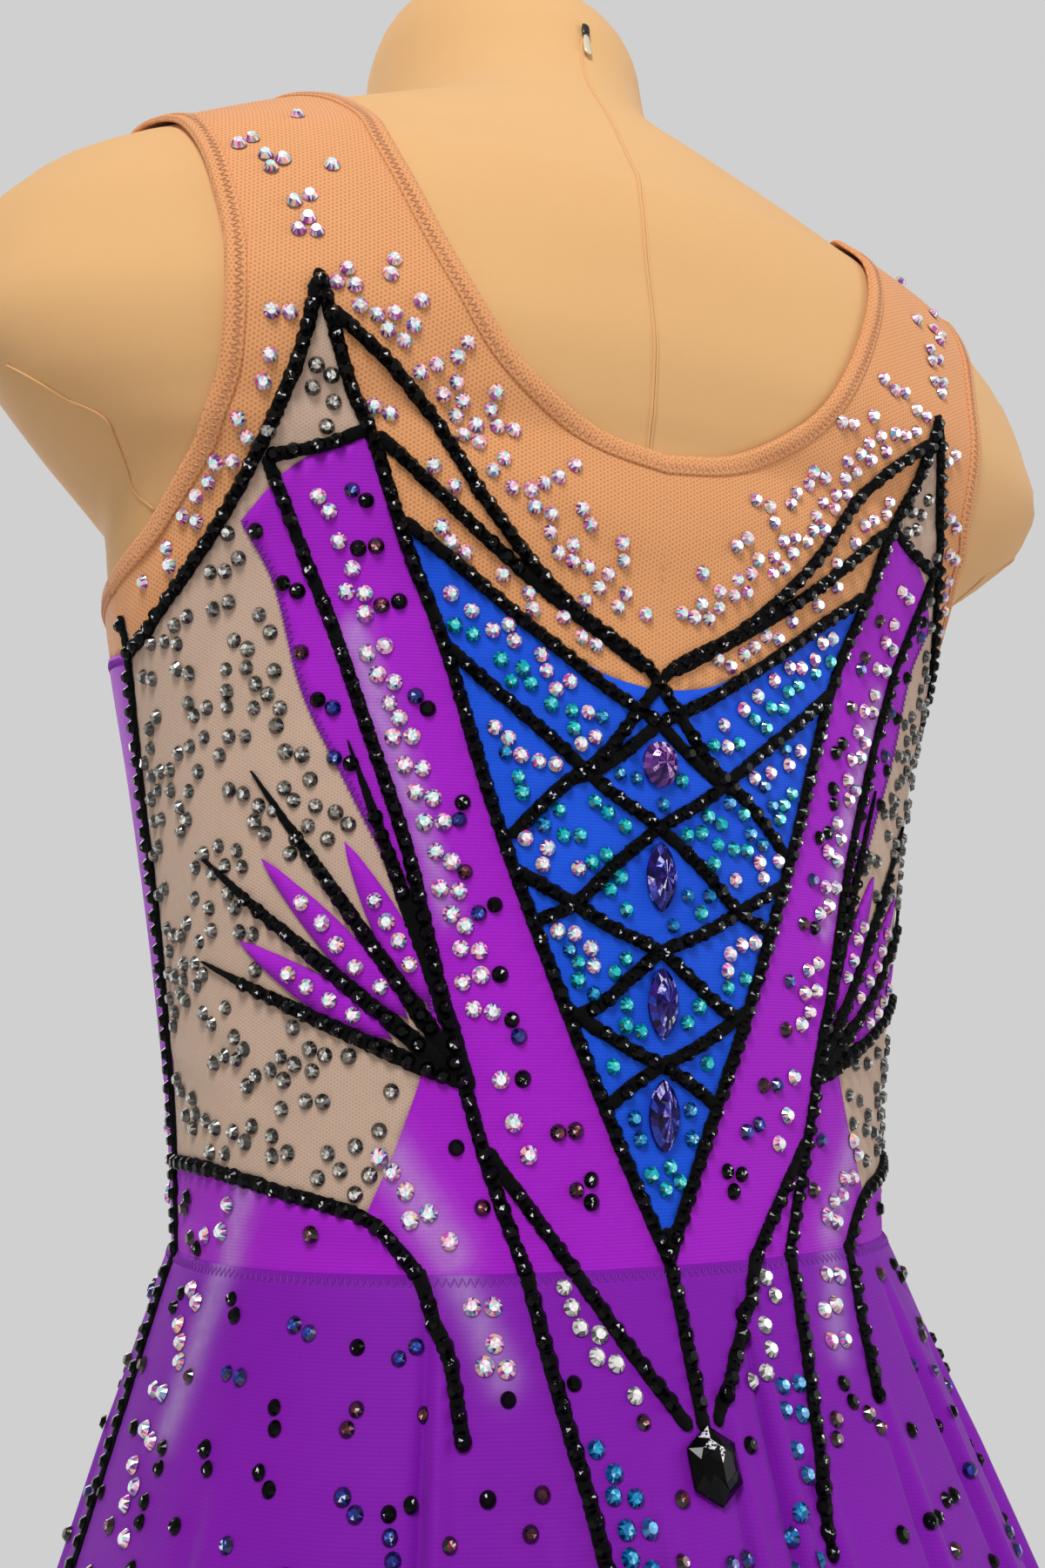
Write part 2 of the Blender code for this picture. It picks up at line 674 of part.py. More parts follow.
def front_yoke_edge():
    """Lower edge of the front yoke, centre first."""
    side = to_front(np.array([SIDE_SEAM[2]], float))
    return [tuple(p) for p in from_x(YOKE_FRONT_LOWER_EDGE)] + [tuple(side[0])]


def blue_half():
    """Left half of the blue panel's outline."""
    top = smooth_line(BLUE_TOP_EDGE, SEAM_STEP)[::-1]
    side = smooth_line(BLUE_SIDE_EDGE, SEAM_STEP)
    return joined(top, side)


def band_outline():
    """Purple band, which widens to the side seam above the skirt."""
    corner = smooth_line(BAND_INNER_TOP, SEAM_STEP)[::-1]
    top = smooth_line(BAND_TOP_EDGE, SEAM_STEP)
    outer = smooth_line(BAND_OUTER_EDGE, SEAM_STEP)
    waist = smooth_line(WAIST_CURVE, SEAM_STEP)
    side = smooth_line((WAIST_CURVE[-1], SIDE_SEAM[-1]), SEAM_STEP)
    hem = smooth_line((SIDE_SEAM[-1], (0, WAIST_HEIGHT)), SEAM_STEP)
    centre = smooth_line(((0, WAIST_HEIGHT), BLUE_SIDE_EDGE[-1]), SEAM_STEP)
    inner = smooth_line(BLUE_SIDE_EDGE, SEAM_STEP)[::-1]
    return joined(corner, top, outer, waist, side, hem, centre, inner)


def side_outline():
    """Pale side panel with its sliver up to the peak."""
    yoke = smooth_line(YOKE_LOWER_EDGE, SEAM_STEP)
    seam = smooth_line(SIDE_SEAM[2:-1] + (WAIST_CURVE[-1],), SEAM_STEP)
    waist = smooth_line(WAIST_CURVE, SEAM_STEP)[::-1]
    outer = smooth_line(BAND_OUTER_EDGE, SEAM_STEP)[::-1]
    top = smooth_line(BAND_TOP_EDGE, SEAM_STEP)[::-1]
    inner = smooth_line(PEAK_INNER_EDGE, SEAM_STEP)[::-1]
    return joined(yoke, seam, waist, outer, top, inner)


def front_half():
    """Left half of the front panel's outline, from the yoke down to the waist."""
    lower = smooth_line(front_yoke_edge(), SEAM_STEP)
    seam = to_front(smooth_line(SIDE_SEAM[2:], SEAM_STEP))
    hem = smooth_line((tuple(seam[-1]), (0, WAIST_HEIGHT)), SEAM_STEP)
    return joined(lower, seam, hem)


def briefs_half(leg_line, from_front):
    """Left half of one side of the briefs, from the waist to the gusset."""
    heights = np.linspace(WAIST_HEIGHT, LEG_LINE_SIDE_HEIGHT, 9)
    seam = side_line(heights, 0.0, from_front)
    waist = smooth_line(((0, WAIST_HEIGHT), tuple(seam[0])), SEAM_STEP + 4)
    leg_points = (tuple(seam[-1]),) + leg_line + ((GUSSET_HALF_WIDTH, GUSSET_HEIGHT),)
    leg = smooth_line(leg_points, SEAM_STEP + 2)
    gusset = smooth_line(((GUSSET_HALF_WIDTH, GUSSET_HEIGHT), (0, GUSSET_HEIGHT)), SEAM_STEP)
    return joined(waist, seam, leg, gusset)


def add_bodice(materials, collection):
    """Every panel above the waist seam."""
    nude = materials["nude_mesh"]
    purple = materials["purple_stretch"]
    pale = materials["pale_mesh"]
    panel("yoke_back", both_sides(yoke_back_half()), on_back, nude, collection,
          YOKE_GRID, 1)
    panel("yoke_front", both_sides(yoke_front_half()), on_front, nude, collection,
          YOKE_GRID, 1)
    panel("panel_blue", both_sides(blue_half()), on_back, materials["blue_stretch"],
          collection)
    panel("panel_front", both_sides(front_half()), on_front, purple, collection)
    for side, turn in (("left", 1), ("right", -1)):
        panel("band_" + side, band_outline(), on_back, purple, collection, turn=turn)
        panel("side_" + side, side_outline(), on_back, pale, collection, turn=turn)


def gusset_half_width(y):
    """Half width of the gusset where it passes between the thighs."""
    share = np.clip((y - THIGH_CENTRE_Y) / THIGH_TOP_RADII[1], -1, 1)
    free = THIGH_SPREAD - THIGH_TOP_RADII[0] * np.sqrt(1 - share ** 2)
    return np.minimum(free - GUSSET_MARGIN, GUSSET_HALF_WIDTH)


def skin_y(x, height, facing):
    """Depth of the form's skin at one x and height, behind (+1) or in front (-1)."""
    sweep = np.linspace(facing * math.pi / 2, 0 if x >= 0 else facing * math.pi, GIRTH_STEPS)
    ring = ring_point(sweep, np.full(GIRTH_STEPS, float(height)))
    order = np.argsort(ring[:, 0])
    return float(np.interp(x, ring[order, 0], ring[order, 1]))


def below_skin(x, turn):
    """Point of the form's underside along a ray in the plane of one x."""
    ray = np.array([math.cos(turn), math.sin(turn)])
    near = 0.0
    far = 140.0
    for _ in range(30):
        reach = (near + far) / 2
        y, height = ray * reach + (0.0, GUSSET_EYE_HEIGHT)
        if height < BODY[0].height:
            far = reach
            continue
        ring = ring_point(np.array([math.atan2(y, x)]), np.array([height]))[0]
        if math.hypot(x, y) > math.hypot(ring[0], ring[1]):
            far = reach
        else:
            near = reach
    y, height = ray * near + (0.0, GUSSET_EYE_HEIGHT)
    return np.array([x, y, height])


def gusset_turn(x, along, top):
    """Ray direction to one row of the gusset, back edge (0) to front edge (1)."""
    back, front = (math.atan2(top - GUSSET_EYE_HEIGHT, skin_y(x, top, facing))
                   for facing in (1, -1))
    return back * (1 - along) + front * along


def add_gusset(material, collection):
    """Strip that joins the briefs between the thighs."""
    top = GUSSET_HEIGHT - SEAM
    shares = np.linspace(-1, 1, GUSSET_COLUMNS)
    grid = np.zeros((GUSSET_ROWS, GUSSET_COLUMNS, 3))
    for row, along in enumerate(np.linspace(0, 1, GUSSET_ROWS)):
        middle_y = below_skin(0.0, gusset_turn(0.0, along, top))[1]
        for column, share in enumerate(shares):
            x = share * gusset_half_width(middle_y)
            grid[row, column] = below_skin(x, gusset_turn(x, along, top))
    along_run = np.gradient(grid, axis=0)
    across_run = np.gradient(grid, axis=1)
    normal = np.cross(across_run, along_run)
    normal /= np.linalg.norm(normal, axis=-1, keepdims=True)
    grid = grid + normal * BRIEFS_EASE
    grid[(0, -1), :, 2] = np.minimum(grid[(0, -1), :, 2], top)
    outer = grid + normal * CLOTH
    outer[(0, -1), :, 2] = np.minimum(outer[(0, -1), :, 2], top)
    shell = bmesh.new()
    layers = [[[shell.verts.new(Vector(p) * MM) for p in row] for row in layer]
              for layer in (grid, outer)]
    last_row = GUSSET_ROWS - 1
    last_column = GUSSET_COLUMNS - 1
    for row in range(last_row):
        for column in range(last_column):
            for layer in layers:
                shell.faces.new((layer[row][column], layer[row][column + 1],
                                 layer[row + 1][column + 1], layer[row + 1][column]))
    inner, outside = layers
    for row in range(last_row):
        for column in (0, last_column):
            shell.faces.new((inner[row][column], inner[row + 1][column],
                             outside[row + 1][column], outside[row][column]))
    for column in range(last_column):
        for row in (0, last_row):
            shell.faces.new((inner[row][column], inner[row][column + 1],
                             outside[row][column + 1], outside[row][column]))
    bmesh.ops.recalc_face_normals(shell, faces=shell.faces[:])
    mesh = bpy.data.meshes.new("gusset")
    shell.to_mesh(mesh)
    shell.free()
    add_object("gusset", mesh, material, collection)


def add_skirt(name, first_deg, last_deg, material, collection):
    """Half of the flared skirt, between two side seams."""
    gap = math.degrees(SEAM / 2 / BODY[9].half_width)
    columns = SKIRT_COLUMNS // 2 + 1
    angles = np.radians(np.linspace(first_deg + gap, last_deg - gap, columns))
    heights = np.linspace(SKIRT_TOP_HEIGHT, SKIRT_HEM_HEIGHT, SKIRT_ROWS + 1)
    shell = bmesh.new()
    rows = []
    for height in heights:
        points = skirt_point(angles, np.full(columns, height))
        rows.append([shell.verts.new(Vector(p) * MM) for p in points])
    for high, low in zip(rows[:-1], rows[1:]):
        for k in range(columns - 1):
            shell.faces.new((low[k], low[k + 1], high[k + 1], high[k]))
    mesh = bpy.data.meshes.new(name)
    shell.to_mesh(mesh)
    shell.free()
    mesh.shade_smooth()
    item = add_object(name, mesh, material, collection)
    add_solidify(item, CLOTH)


def strip_outline(points, widths):
    """Outline of a strip of given widths along a line."""
    run = np.gradient(points, axis=0)
    run /= np.linalg.norm(run, axis=1, keepdims=True)
    across = np.column_stack([-run[:, 1], run[:, 0]]) * (np.asarray(widths) / 2)[:, None]
    return np.concatenate([points + across, (points - across)[::-1]])


def tape_outlines(tapes):
    """Flat outlines of tapes on both sides of the centre back."""
    outlines = []
    for tape in tapes:
        line = smooth_line(tape.points, TAPE_STEP)
        outline = strip_outline(line, np.full(len(line), TAPE_WIDTH))
        outlines.append(outline)
        if tape.mirrored:
            outlines.append(mirrored(outline)[::-1])
    return outlines


def fan_outlines():
    """Tapered strips that spread from one hub over each side panel."""
    outlines = []
    for angle_deg, length in zip(FAN_ANGLES_DEG, FAN_LENGTHS):
        share = np.linspace(0, 1, 6)
        turn = math.radians(angle_deg)
        reach = share[:, None] * length * np.array([math.cos(turn), math.sin(turn)])
        line = np.array(FAN_HUB) + reach
        widths = FAN_WIDTH * (1 - share ** 2) + 0.6
        outline = strip_outline(line, widths)
        outlines.append(outline)
        outlines.append(mirrored(outline)[::-1])
    return outlines


def add_tapes(material, collection):
    """Black tape on the bodice and on the skirt."""
    out = EASE + CLOTH + TAPE_LIFT
    side = smooth_line(SIDE_SEAM[1:-1] + (Point(147, 304.5),), TAPE_STEP)
    side_strip = strip_outline(side, np.full(len(side), TAPE_WIDTH))
    outlines = tape_outlines(BODICE_TAPES) + fan_outlines()
    outlines += [side_strip, mirrored(side_strip)[::-1]]
    sheet("tape_bodice", outlines, [], on_back, out, TAPE_HEIGHT, material, collection)
    for number, outline in enumerate(tape_outlines(SKIRT_TAPES)):
        sheet(f"tape_skirt_{number + 1}", [outline], [], on_skirt, CLOTH + TAPE_LIFT,
              TAPE_HEIGHT, material, collection)


def ribbon(name, centres, normals, inward, out, material, collection):
    """Closed flat band that lies on the cloth beside an edge, out from the form."""
    tangent = np.roll(centres, -1, axis=0) - np.roll(centres, 1, axis=0)
    tangent /= np.linalg.norm(tangent, axis=1, keepdims=True)
    side = np.cross(normals, tangent) * inward
    side /= np.linalg.norm(side, axis=1, keepdims=True)
    margin = 0.3
    edge = centres + side * margin
    inner_edge = seated(edge + side * HEM_WIDTH, normals, out)
    rise = normals * HEM_HEIGHT
    rings = np.stack([edge, inner_edge, inner_edge + rise, edge + rise], axis=1)
    shell = bmesh.new()
    verts = [[shell.verts.new(Vector(p) * MM) for p in ring] for ring in rings]
    for k, ring in enumerate(verts):
        following = verts[(k + 1) % len(verts)]
        for j in range(4):
            n = (j + 1) % 4
            shell.faces.new((ring[j], ring[n], following[n], following[j]))
    bmesh.ops.recalc_face_normals(shell, faces=shell.faces[:])
    mesh = bpy.data.meshes.new(name)
    shell.to_mesh(mesh)
    shell.free()
    add_object(name, mesh, material, collection)


def edge_loop(back_line, front_line, out):
    """Closed loop on the cloth from a back line and a front line."""
    back_points, back_normals = on_back(back_line, out)
    front_points, front_normals = on_front(front_line, out)
    return (np.concatenate([back_points, front_points]),
            np.concatenate([back_normals, front_normals]))


def add_hems(material, collection):
    """Folded edges of the mesh at the neck and the armholes."""
    out = EASE + CLOTH + HEM_LIFT
    straps = strap_line()
    straps_front = strap_line(True)
    neck_back = smooth_line(NECKLINE_BACK + (tuple(straps[0]),), HEM_STEP, 1)
    neck_points = [tuple(p) for p in from_x(NECKLINE_FRONT)] + [tuple(straps_front[0])]
    neck_front = smooth_line(neck_points, HEM_STEP, 1)
    back = joined(mirrored(neck_back)[::-1], neck_back)
    front = joined(neck_front[:-1][::-1], mirrored(neck_front[:-1]))
    centres, normals = edge_loop(back, front, out)
    ribbon("hem_neck", centres, normals, 1, out, material, collection)
    arm_back = smooth_line(ARMHOLE_BACK + (tuple(straps[-1]),), HEM_STEP, 1)
    underarm = to_front(np.array([SIDE_SEAM[0]], float))
    arm_points = [tuple(underarm[0])] + [tuple(p) for p in from_x(ARMHOLE_FRONT)]
    arm_front = smooth_line(arm_points + [tuple(straps_front[-1])], HEM_STEP, 1)
    for name, turn, inward in (("hem_armhole_left", 1, -1), ("hem_armhole_right", -1, 1)):
        centres, normals = edge_loop(arm_back * (turn, 1),
                                     arm_front[1:-1][::-1] * (turn, 1), out)
        ribbon(name, centres, normals, inward, out, material, collection)


def stone_mesh(name, outline, rise):
    """Faceted stone: flat back, girdle and a smaller table on top."""
    levels = ((0.80, 0.0), (1.0, 0.28), (0.56, 1.0))
    shell = bmesh.new()
    rings = []
    for scale, share in levels:
        rings.append([shell.verts.new(Vector((x * scale, y * scale, rise * share)) * MM)
                      for x, y in outline])
    for low, high in zip(rings[:-1], rings[1:]):
        for k in range(len(outline)):
            n = (k + 1) % len(outline)
            shell.faces.new((low[k], low[n], high[n], high[k]))
    shell.faces.new(rings[0][::-1])
    shell.faces.new(rings[-1])
    mesh = bpy.data.meshes.new(name)
    shell.to_mesh(mesh)
    shell.free()
    return mesh


def oval_outline(half_width, half_length, point):
    """Oval that draws to a point at both ends as point grows above 1."""
    angles = np.arange(STONE_SIDES) * 2 * math.pi / STONE_SIDES
    return [(half_width * math.copysign(abs(math.cos(a)) ** point, math.cos(a)),
             half_length * math.sin(a)) for a in angles]


def set_stone(mesh, surface, height, out, material, collection):
    """Seat a stone flat on the cloth at the centre back."""
    points, normals = surface(np.array([[0.0, height]]), out)
    above = surface(np.array([[0.0, height + 1.0]]), out)[0]
    normal = Vector(normals[0])
    up = Vector(above[0] - points[0]).normalized()
    side = up.cross(normal).normalized()
    frame = Matrix((side, up, normal)).transposed().to_4x4()
    item = add_object(mesh.name, mesh, material, collection)
    item.matrix_world = Matrix.Translation(Vector(points[0]) * MM) @ frame


def add_stones(materials, collection):
    """Large stones on the blue panel and the dark one on the skirt."""
    out = EASE + CLOTH + STONE_SEAT
    for stone in STONES:
        point = 1.0 if stone.name == "stone_round" else 1.45
        outline = oval_outline(stone.half_width, stone.half_length, point)
        mesh = stone_mesh(stone.name, outline, stone.rise)
        set_stone(mesh, on_back, stone.height, out, materials["violet_glass"], collection)
    corners = [(HEXAGON_HALF_WIDTH * x, HEXAGON_HALF_LENGTH * y)
               for x, y in ((1, 0.5), (0, 1), (-1, 0.5), (-1, -0.5), (0, -1), (1, -0.5))]
    mesh = stone_mesh("stone_hexagon", corners, HEXAGON_RISE)
    set_stone(mesh, on_skirt, HEXAGON_HEIGHT, CLOTH + TAPE_LIFT, materials["jet_glass"],
              collection)


def main():
    """Build the dress form and the leotard on it."""
    clear_scene()
    parts = bpy.data.collections.new("rhythmic gymnastics leotard")
    cutters = bpy.data.collections.new("helpers")
    bpy.context.scene.collection.children.link(parts)
    bpy.context.scene.collection.children.link(cutters)
    materials = {name: make_material(name) for name in FINISHES}
    form = add_form(materials["form_cloth"], parts)
    for side in (1, -1):
        unite(form, add_thigh(side, materials["form_cloth"], cutters))
    add_bodice(materials, parts)
    purple = materials["purple_stretch"]
    panel("briefs_back", both_sides(briefs_half(LEG_LINE_BACK, False)), on_back, purple,
          parts, BRIEFS_GRID, 1.4, BRIEFS_EASE)
    panel("briefs_front", both_sides(briefs_half(LEG_LINE_FRONT, True)), on_front, purple,
          parts, BRIEFS_GRID, 1.4, BRIEFS_EASE)
    add_gusset(purple, parts)
    add_skirt("skirt_back", 0, 180, purple, parts)
    add_skirt("skirt_front", 180, 360, purple, parts)
    add_hems(materials["nude_mesh"], parts)
    add_tapes(materials["black_velvet"], parts)
    add_stones(materials, parts)


main()
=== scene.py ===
"""Looks of a rhythmic gymnastics leotard with a flared skirt, worn by a limbless dress form.

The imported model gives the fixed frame. Each class below builds one sub-assembly around it:
the form's cover, the cloth panels, the hems, the stitching, the velvet tapes and the stones.

Cloth is laid out in pattern coordinates, in millimetres: "across" is the girth measured from
the centre back (+ towards the wearer's left) and "height" is the height above the standing
surface. Front pieces measure "across" from the centre front, and the skirt's pieces measure
it at the skirt's seam. The garment's front faces -Y and its wearer's left is +X.
"""

import logging
import math
from abc import ABC, abstractmethod
from dataclasses import dataclass, field
from enum import Enum
from typing import Any

import bpy
import numpy as np
from mathutils import Matrix, Vector
from mathutils.geometry import delaunay_2d_cdt


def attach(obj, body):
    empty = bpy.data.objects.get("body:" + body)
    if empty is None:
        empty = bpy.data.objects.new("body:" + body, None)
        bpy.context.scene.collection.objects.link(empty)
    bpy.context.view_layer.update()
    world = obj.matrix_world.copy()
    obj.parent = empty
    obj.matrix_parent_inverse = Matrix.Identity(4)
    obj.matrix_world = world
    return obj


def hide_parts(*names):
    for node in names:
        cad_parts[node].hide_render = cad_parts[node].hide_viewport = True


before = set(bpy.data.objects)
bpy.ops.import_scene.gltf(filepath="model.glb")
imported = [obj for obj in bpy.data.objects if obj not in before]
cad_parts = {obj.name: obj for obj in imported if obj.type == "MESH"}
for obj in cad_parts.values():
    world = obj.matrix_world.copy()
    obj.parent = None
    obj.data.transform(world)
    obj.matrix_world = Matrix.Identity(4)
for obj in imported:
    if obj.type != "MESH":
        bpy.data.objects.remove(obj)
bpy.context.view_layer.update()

BODY_NAME = "root"
MM = 0.001

Array = np.ndarray
Colour = tuple[float, float, float]
Line = tuple[tuple[float, float], ...]
Socket = bpy.types.NodeSocket

log = logging.getLogger("leotard")


# Curves and the form's skin

def monotone(xs: Array, ys: Array, x: Array) -> Array:
    """Smooth curve through table rows that never overshoots them.

    Args:
        xs: Rising positions of the rows.
        ys: Value of each row.
        x: Positions to read.

    Returns:
        The curve's value at each position.
    """
    xs = np.asarray(xs, float)
    ys = np.asarray(ys, float)
    step = np.diff(xs)
    slope = np.diff(ys) / step
    before = slope[:-1]
    after = slope[1:]
    same = before * after > 0
    weight_a = 2 * step[1:] + step[:-1]
    weight_b = step[1:] + 2 * step[:-1]
    mean = np.zeros(len(before))
    mean[same] = ((weight_a + weight_b)[same]
                  / (weight_a[same] / before[same] + weight_b[same] / after[same]))
    tangent = np.concatenate([slope[:1], mean, slope[-1:]])
    i = np.clip(np.searchsorted(xs, x, side="right") - 1, 0, len(step) - 1)
    t = np.clip((x - xs[i]) / step[i], 0, 1)
    return ((2 * t ** 3 - 3 * t ** 2 + 1) * ys[i]
            + (t ** 3 - 2 * t ** 2 + t) * step[i] * tangent[i]
            + (3 * t ** 2 - 2 * t ** 3) * ys[i + 1]
            + (t ** 3 - t ** 2) * step[i] * tangent[i + 1])


def unit(vectors: Array) -> Array:
    """Vectors of length one."""
    return vectors / np.maximum(np.linalg.norm(vectors, axis=-1, keepdims=True), 1e-9)


@dataclass(frozen=True)
class Section:
    """Level section of the form: half width, depth behind and in front of x = 0, where the
    widest point lies, and how square the section is (2 is an ellipse)."""

    height: float
    half_width: float
    back: float
    front: float
    widest_at: float
    squareness: float


BODY = (
    Section(84, 30, 30, 22, 0, 2.0),
    Section(86, 58, 52, 40, 0, 2.0),
    Section(91, 88, 76, 60, 0, 2.1),
    Section(101, 111, 92, 75, 0, 2.2),
    Section(120, 122, 100, 84, 0, 2.3),
    Section(150, 127, 103, 88, 0, 2.3),
    Section(180, 127, 101, 88, -1, 2.3),
    Section(215, 121, 93, 87, -4, 2.3),
    Section(255, 110, 81, 86, -7, 2.3),
    Section(288, 103, 75, 86, -8, 2.3),
    Section(330, 106, 72, 86, -7, 2.3),
    Section(365, 111, 73, 87, -6, 2.3),
    Section(430, 123, 75, 92, -3, 2.3),
    Section(470, 132, 78, 96, 2, 2.3),
    Section(494, 137, 83, 97, 10, 2.3),
    Section(505, 140, 84, 95, 22, 2.25),
    Section(514, 151, 84, 93, 31, 2.15),
    Section(527, 167, 88, 90, 34, 2.0),
    Section(548, 180, 92, 87, 28, 2.0),
    Section(572, 181, 91, 82, 17, 2.0),
    Section(596, 171, 86, 77, 6, 2.0),
    Section(617, 147, 73, 72, -3, 2.0),
    Section(635, 119, 62, 70, -9, 2.0),
    Section(650, 88, 52, 72, -15, 2.1),
    Section(663, 65, 43, 75, -21, 2.1),
    Section(676, 54, 35, 78, -27, 2.1),
    Section(695, 52, 27, 82, -32, 2.1),
    Section(715, 52, 22, 83, -35, 2.1),
    Section(730, 49, 14, 79, -35, 2.1),
    Section(743, 38, 0, 66, -34, 2.1),
    Section(749, 20, -17, 46, -32, 2.0),
)


class FormSkin:
    """Skin of the dress form, and the girth run up round it at each height."""

    row_step = 0.5
    girth_row_step = 1.0
    sweep_steps = 241
    share_steps = 257

    def __init__(self) -> None:
        """Work out the tables that later look-ups read."""
        low = BODY[0].height
        high = BODY[-1].height
        self.rows = np.arange(low, high + self.row_step / 2, self.row_step)
        heights = np.array([row.height for row in BODY], float)
        names = ("half_width", "back", "front", "widest_at", "squareness")
        self.columns = [monotone(heights, np.array([getattr(row, name) for row in BODY]), self.rows)
                        for name in names]
        self.girth_rows = np.arange(low, high + 0.1, self.girth_row_step)
        self.shares = np.linspace(0, 1, self.share_steps)
        self.tables = {False: self._girth_table(False), True: self._girth_table(True)}

    def column(self, index: int, height: Array) -> Array:
        """One column of the section table at each height."""
        return np.interp(height, self.rows, self.columns[index])

    def ring(self, angle: Array, height: Array) -> Array:
        """Points of the skin, by direction in plan and height."""
        half_width, back, front, widest_at, squareness = (self.column(k, height) for k in range(5))
        c = np.cos(angle)
        s = np.sin(angle)
        depth = np.where(s > 0, back - widest_at, front + widest_at)
        reach = (np.abs(c / half_width) ** squareness
                 + np.abs(s / depth) ** squareness) ** (-1 / squareness)
        return np.stack([reach * c, widest_at + reach * s, height + 0 * c], axis=-1)

    def _girth_table(self, from_front: bool) -> tuple[Array, Array]:
        """Half girth of each row, and the direction at each share of it."""
        sweep = np.linspace(math.pi / 2, -math.pi / 2, self.sweep_steps)
        if from_front:
            sweep = sweep[::-1]
        rings = self.ring(sweep[None, :], self.girth_rows[:, None])
        legs = np.linalg.norm(np.diff(rings, axis=1), axis=-1)
        girth = np.concatenate([np.zeros((len(rings), 1)), legs.cumsum(axis=1)], axis=1)
        angles = np.array([np.interp(self.shares * row[-1], row, sweep) for row in girth])
        return girth[:, -1], angles

    def half_girth(self, height: Array) -> Array:
        """Girth from the centre back to the centre front."""
        return np.interp(height, self.girth_rows, self.tables[False][0])

    def angle(self, points: Array, from_front: bool = False) -> Array:
        """Direction in plan of pattern points.

        Args:
            points: Across and height of each point.
            from_front: Whether across is measured from the centre front.

        Returns:
            The direction of each point, in radians.
        """
        total, angles = self.tables[from_front]
        share = np.clip(np.abs(points[:, 0]) / np.interp(points[:, 1], self.girth_rows, total), 0, 1)
        row = np.clip((points[:, 1] - self.girth_rows[0]) / self.girth_row_step,
                      0, len(self.girth_rows) - 1.001)
        column = np.clip(share * (self.share_steps - 1), 0, self.share_steps - 1.001)
        i = row.astype(int)
        j = column.astype(int)
        u = row - i
        v = column - j
        angle = (angles[i, j] * (1 - u) * (1 - v) + angles[i + 1, j] * u * (1 - v)
                 + angles[i, j + 1] * (1 - u) * v + angles[i + 1, j + 1] * u * v)
        return np.where(points[:, 0] < 0, math.pi - angle, angle)


class Surface(ABC):
    """Something that cloth can be laid on by pattern coordinates."""

    turn = 0.004
    rise = 0.4

    @abstractmethod
    def angle(self, points: Array) -> Array:
        """Direction in plan of pattern points."""

    @abstractmethod
    def at(self, angle: Array, height: Array) -> Array:
        """Points of the surface by direction and height."""

    def place(self, points: Array, out: Array | float = 0.0) -> tuple[Array, Array]:
        """Lay pattern points on the surface, moved out along its normal.

        Args:
            points: Across and height of each point.
            out: Distance outwards, one for all or one for each point.

        Returns:
            The places and the outward normals, in millimetres.
        """
        points = np.asarray(points, float)
        angle = self.angle(points)
        height = points[:, 1]
        along = self.at(angle + self.turn, height) - self.at(angle - self.turn, height)
        up = self.at(angle, height + self.rise) - self.at(angle, height - self.rise)
        normal = unit(np.cross(along, up))
        return self.at(angle, height) + normal * np.reshape(out, (-1, 1)), normal


class BackSurface(Surface):
    """The form, with across measured from the centre back."""

    from_front = False

    def __init__(self, skin: FormSkin) -> None:
        """Lay cloth on this skin."""
        self.skin = skin

    def angle(self, points: Array) -> Array:
        """Direction in plan of pattern points."""
        return self.skin.angle(points, self.from_front)

    def at(self, angle: Array, height: Array) -> Array:
        """Points of the form's skin."""
        return self.skin.ring(angle, height)

    def seat(self, points: Array, normals: Array, out: float) -> tuple[Array, Array]:
        """Move points along the form's normals until they lie at one distance from its skin.

        Args:
            points: Points near the form.
            normals: Rough outward normals there.
            out: The distance.

        Returns:
            The moved points and their normals.
        """
        rounds = 4
        for _ in range(rounds):
            foot = points - normals * out
            angle = np.arctan2(foot[:, 1] - self.skin.column(3, foot[:, 2]), foot[:, 0])
            height = foot[:, 2]
            along = self.at(angle + self.turn, height) - self.at(angle - self.turn, height)
            up = self.at(angle, height + self.rise) - self.at(angle, height - self.rise)
            normals = unit(np.cross(along, up))
            spot = self.at(angle, height) + normals * out
            points = points - normals * np.sum((points - spot) * normals, axis=1, keepdims=True)
        return points, normals


class FrontSurface(BackSurface):
    """The form, with across measured from the centre front."""

    from_front = True


@dataclass(frozen=True)
class Fold:
    """Soft fold of the skirt: direction in plan, width, and depth at the hem."""

    angle_deg: float
    half_width_deg: float
    depth: float


@dataclass(frozen=True)
class Crimp:
    """Narrow soft pleat on the skirt: direction, half width, depth and where it starts."""

    angle_deg: float
    half_width_deg: float
    depth: float
    top: float


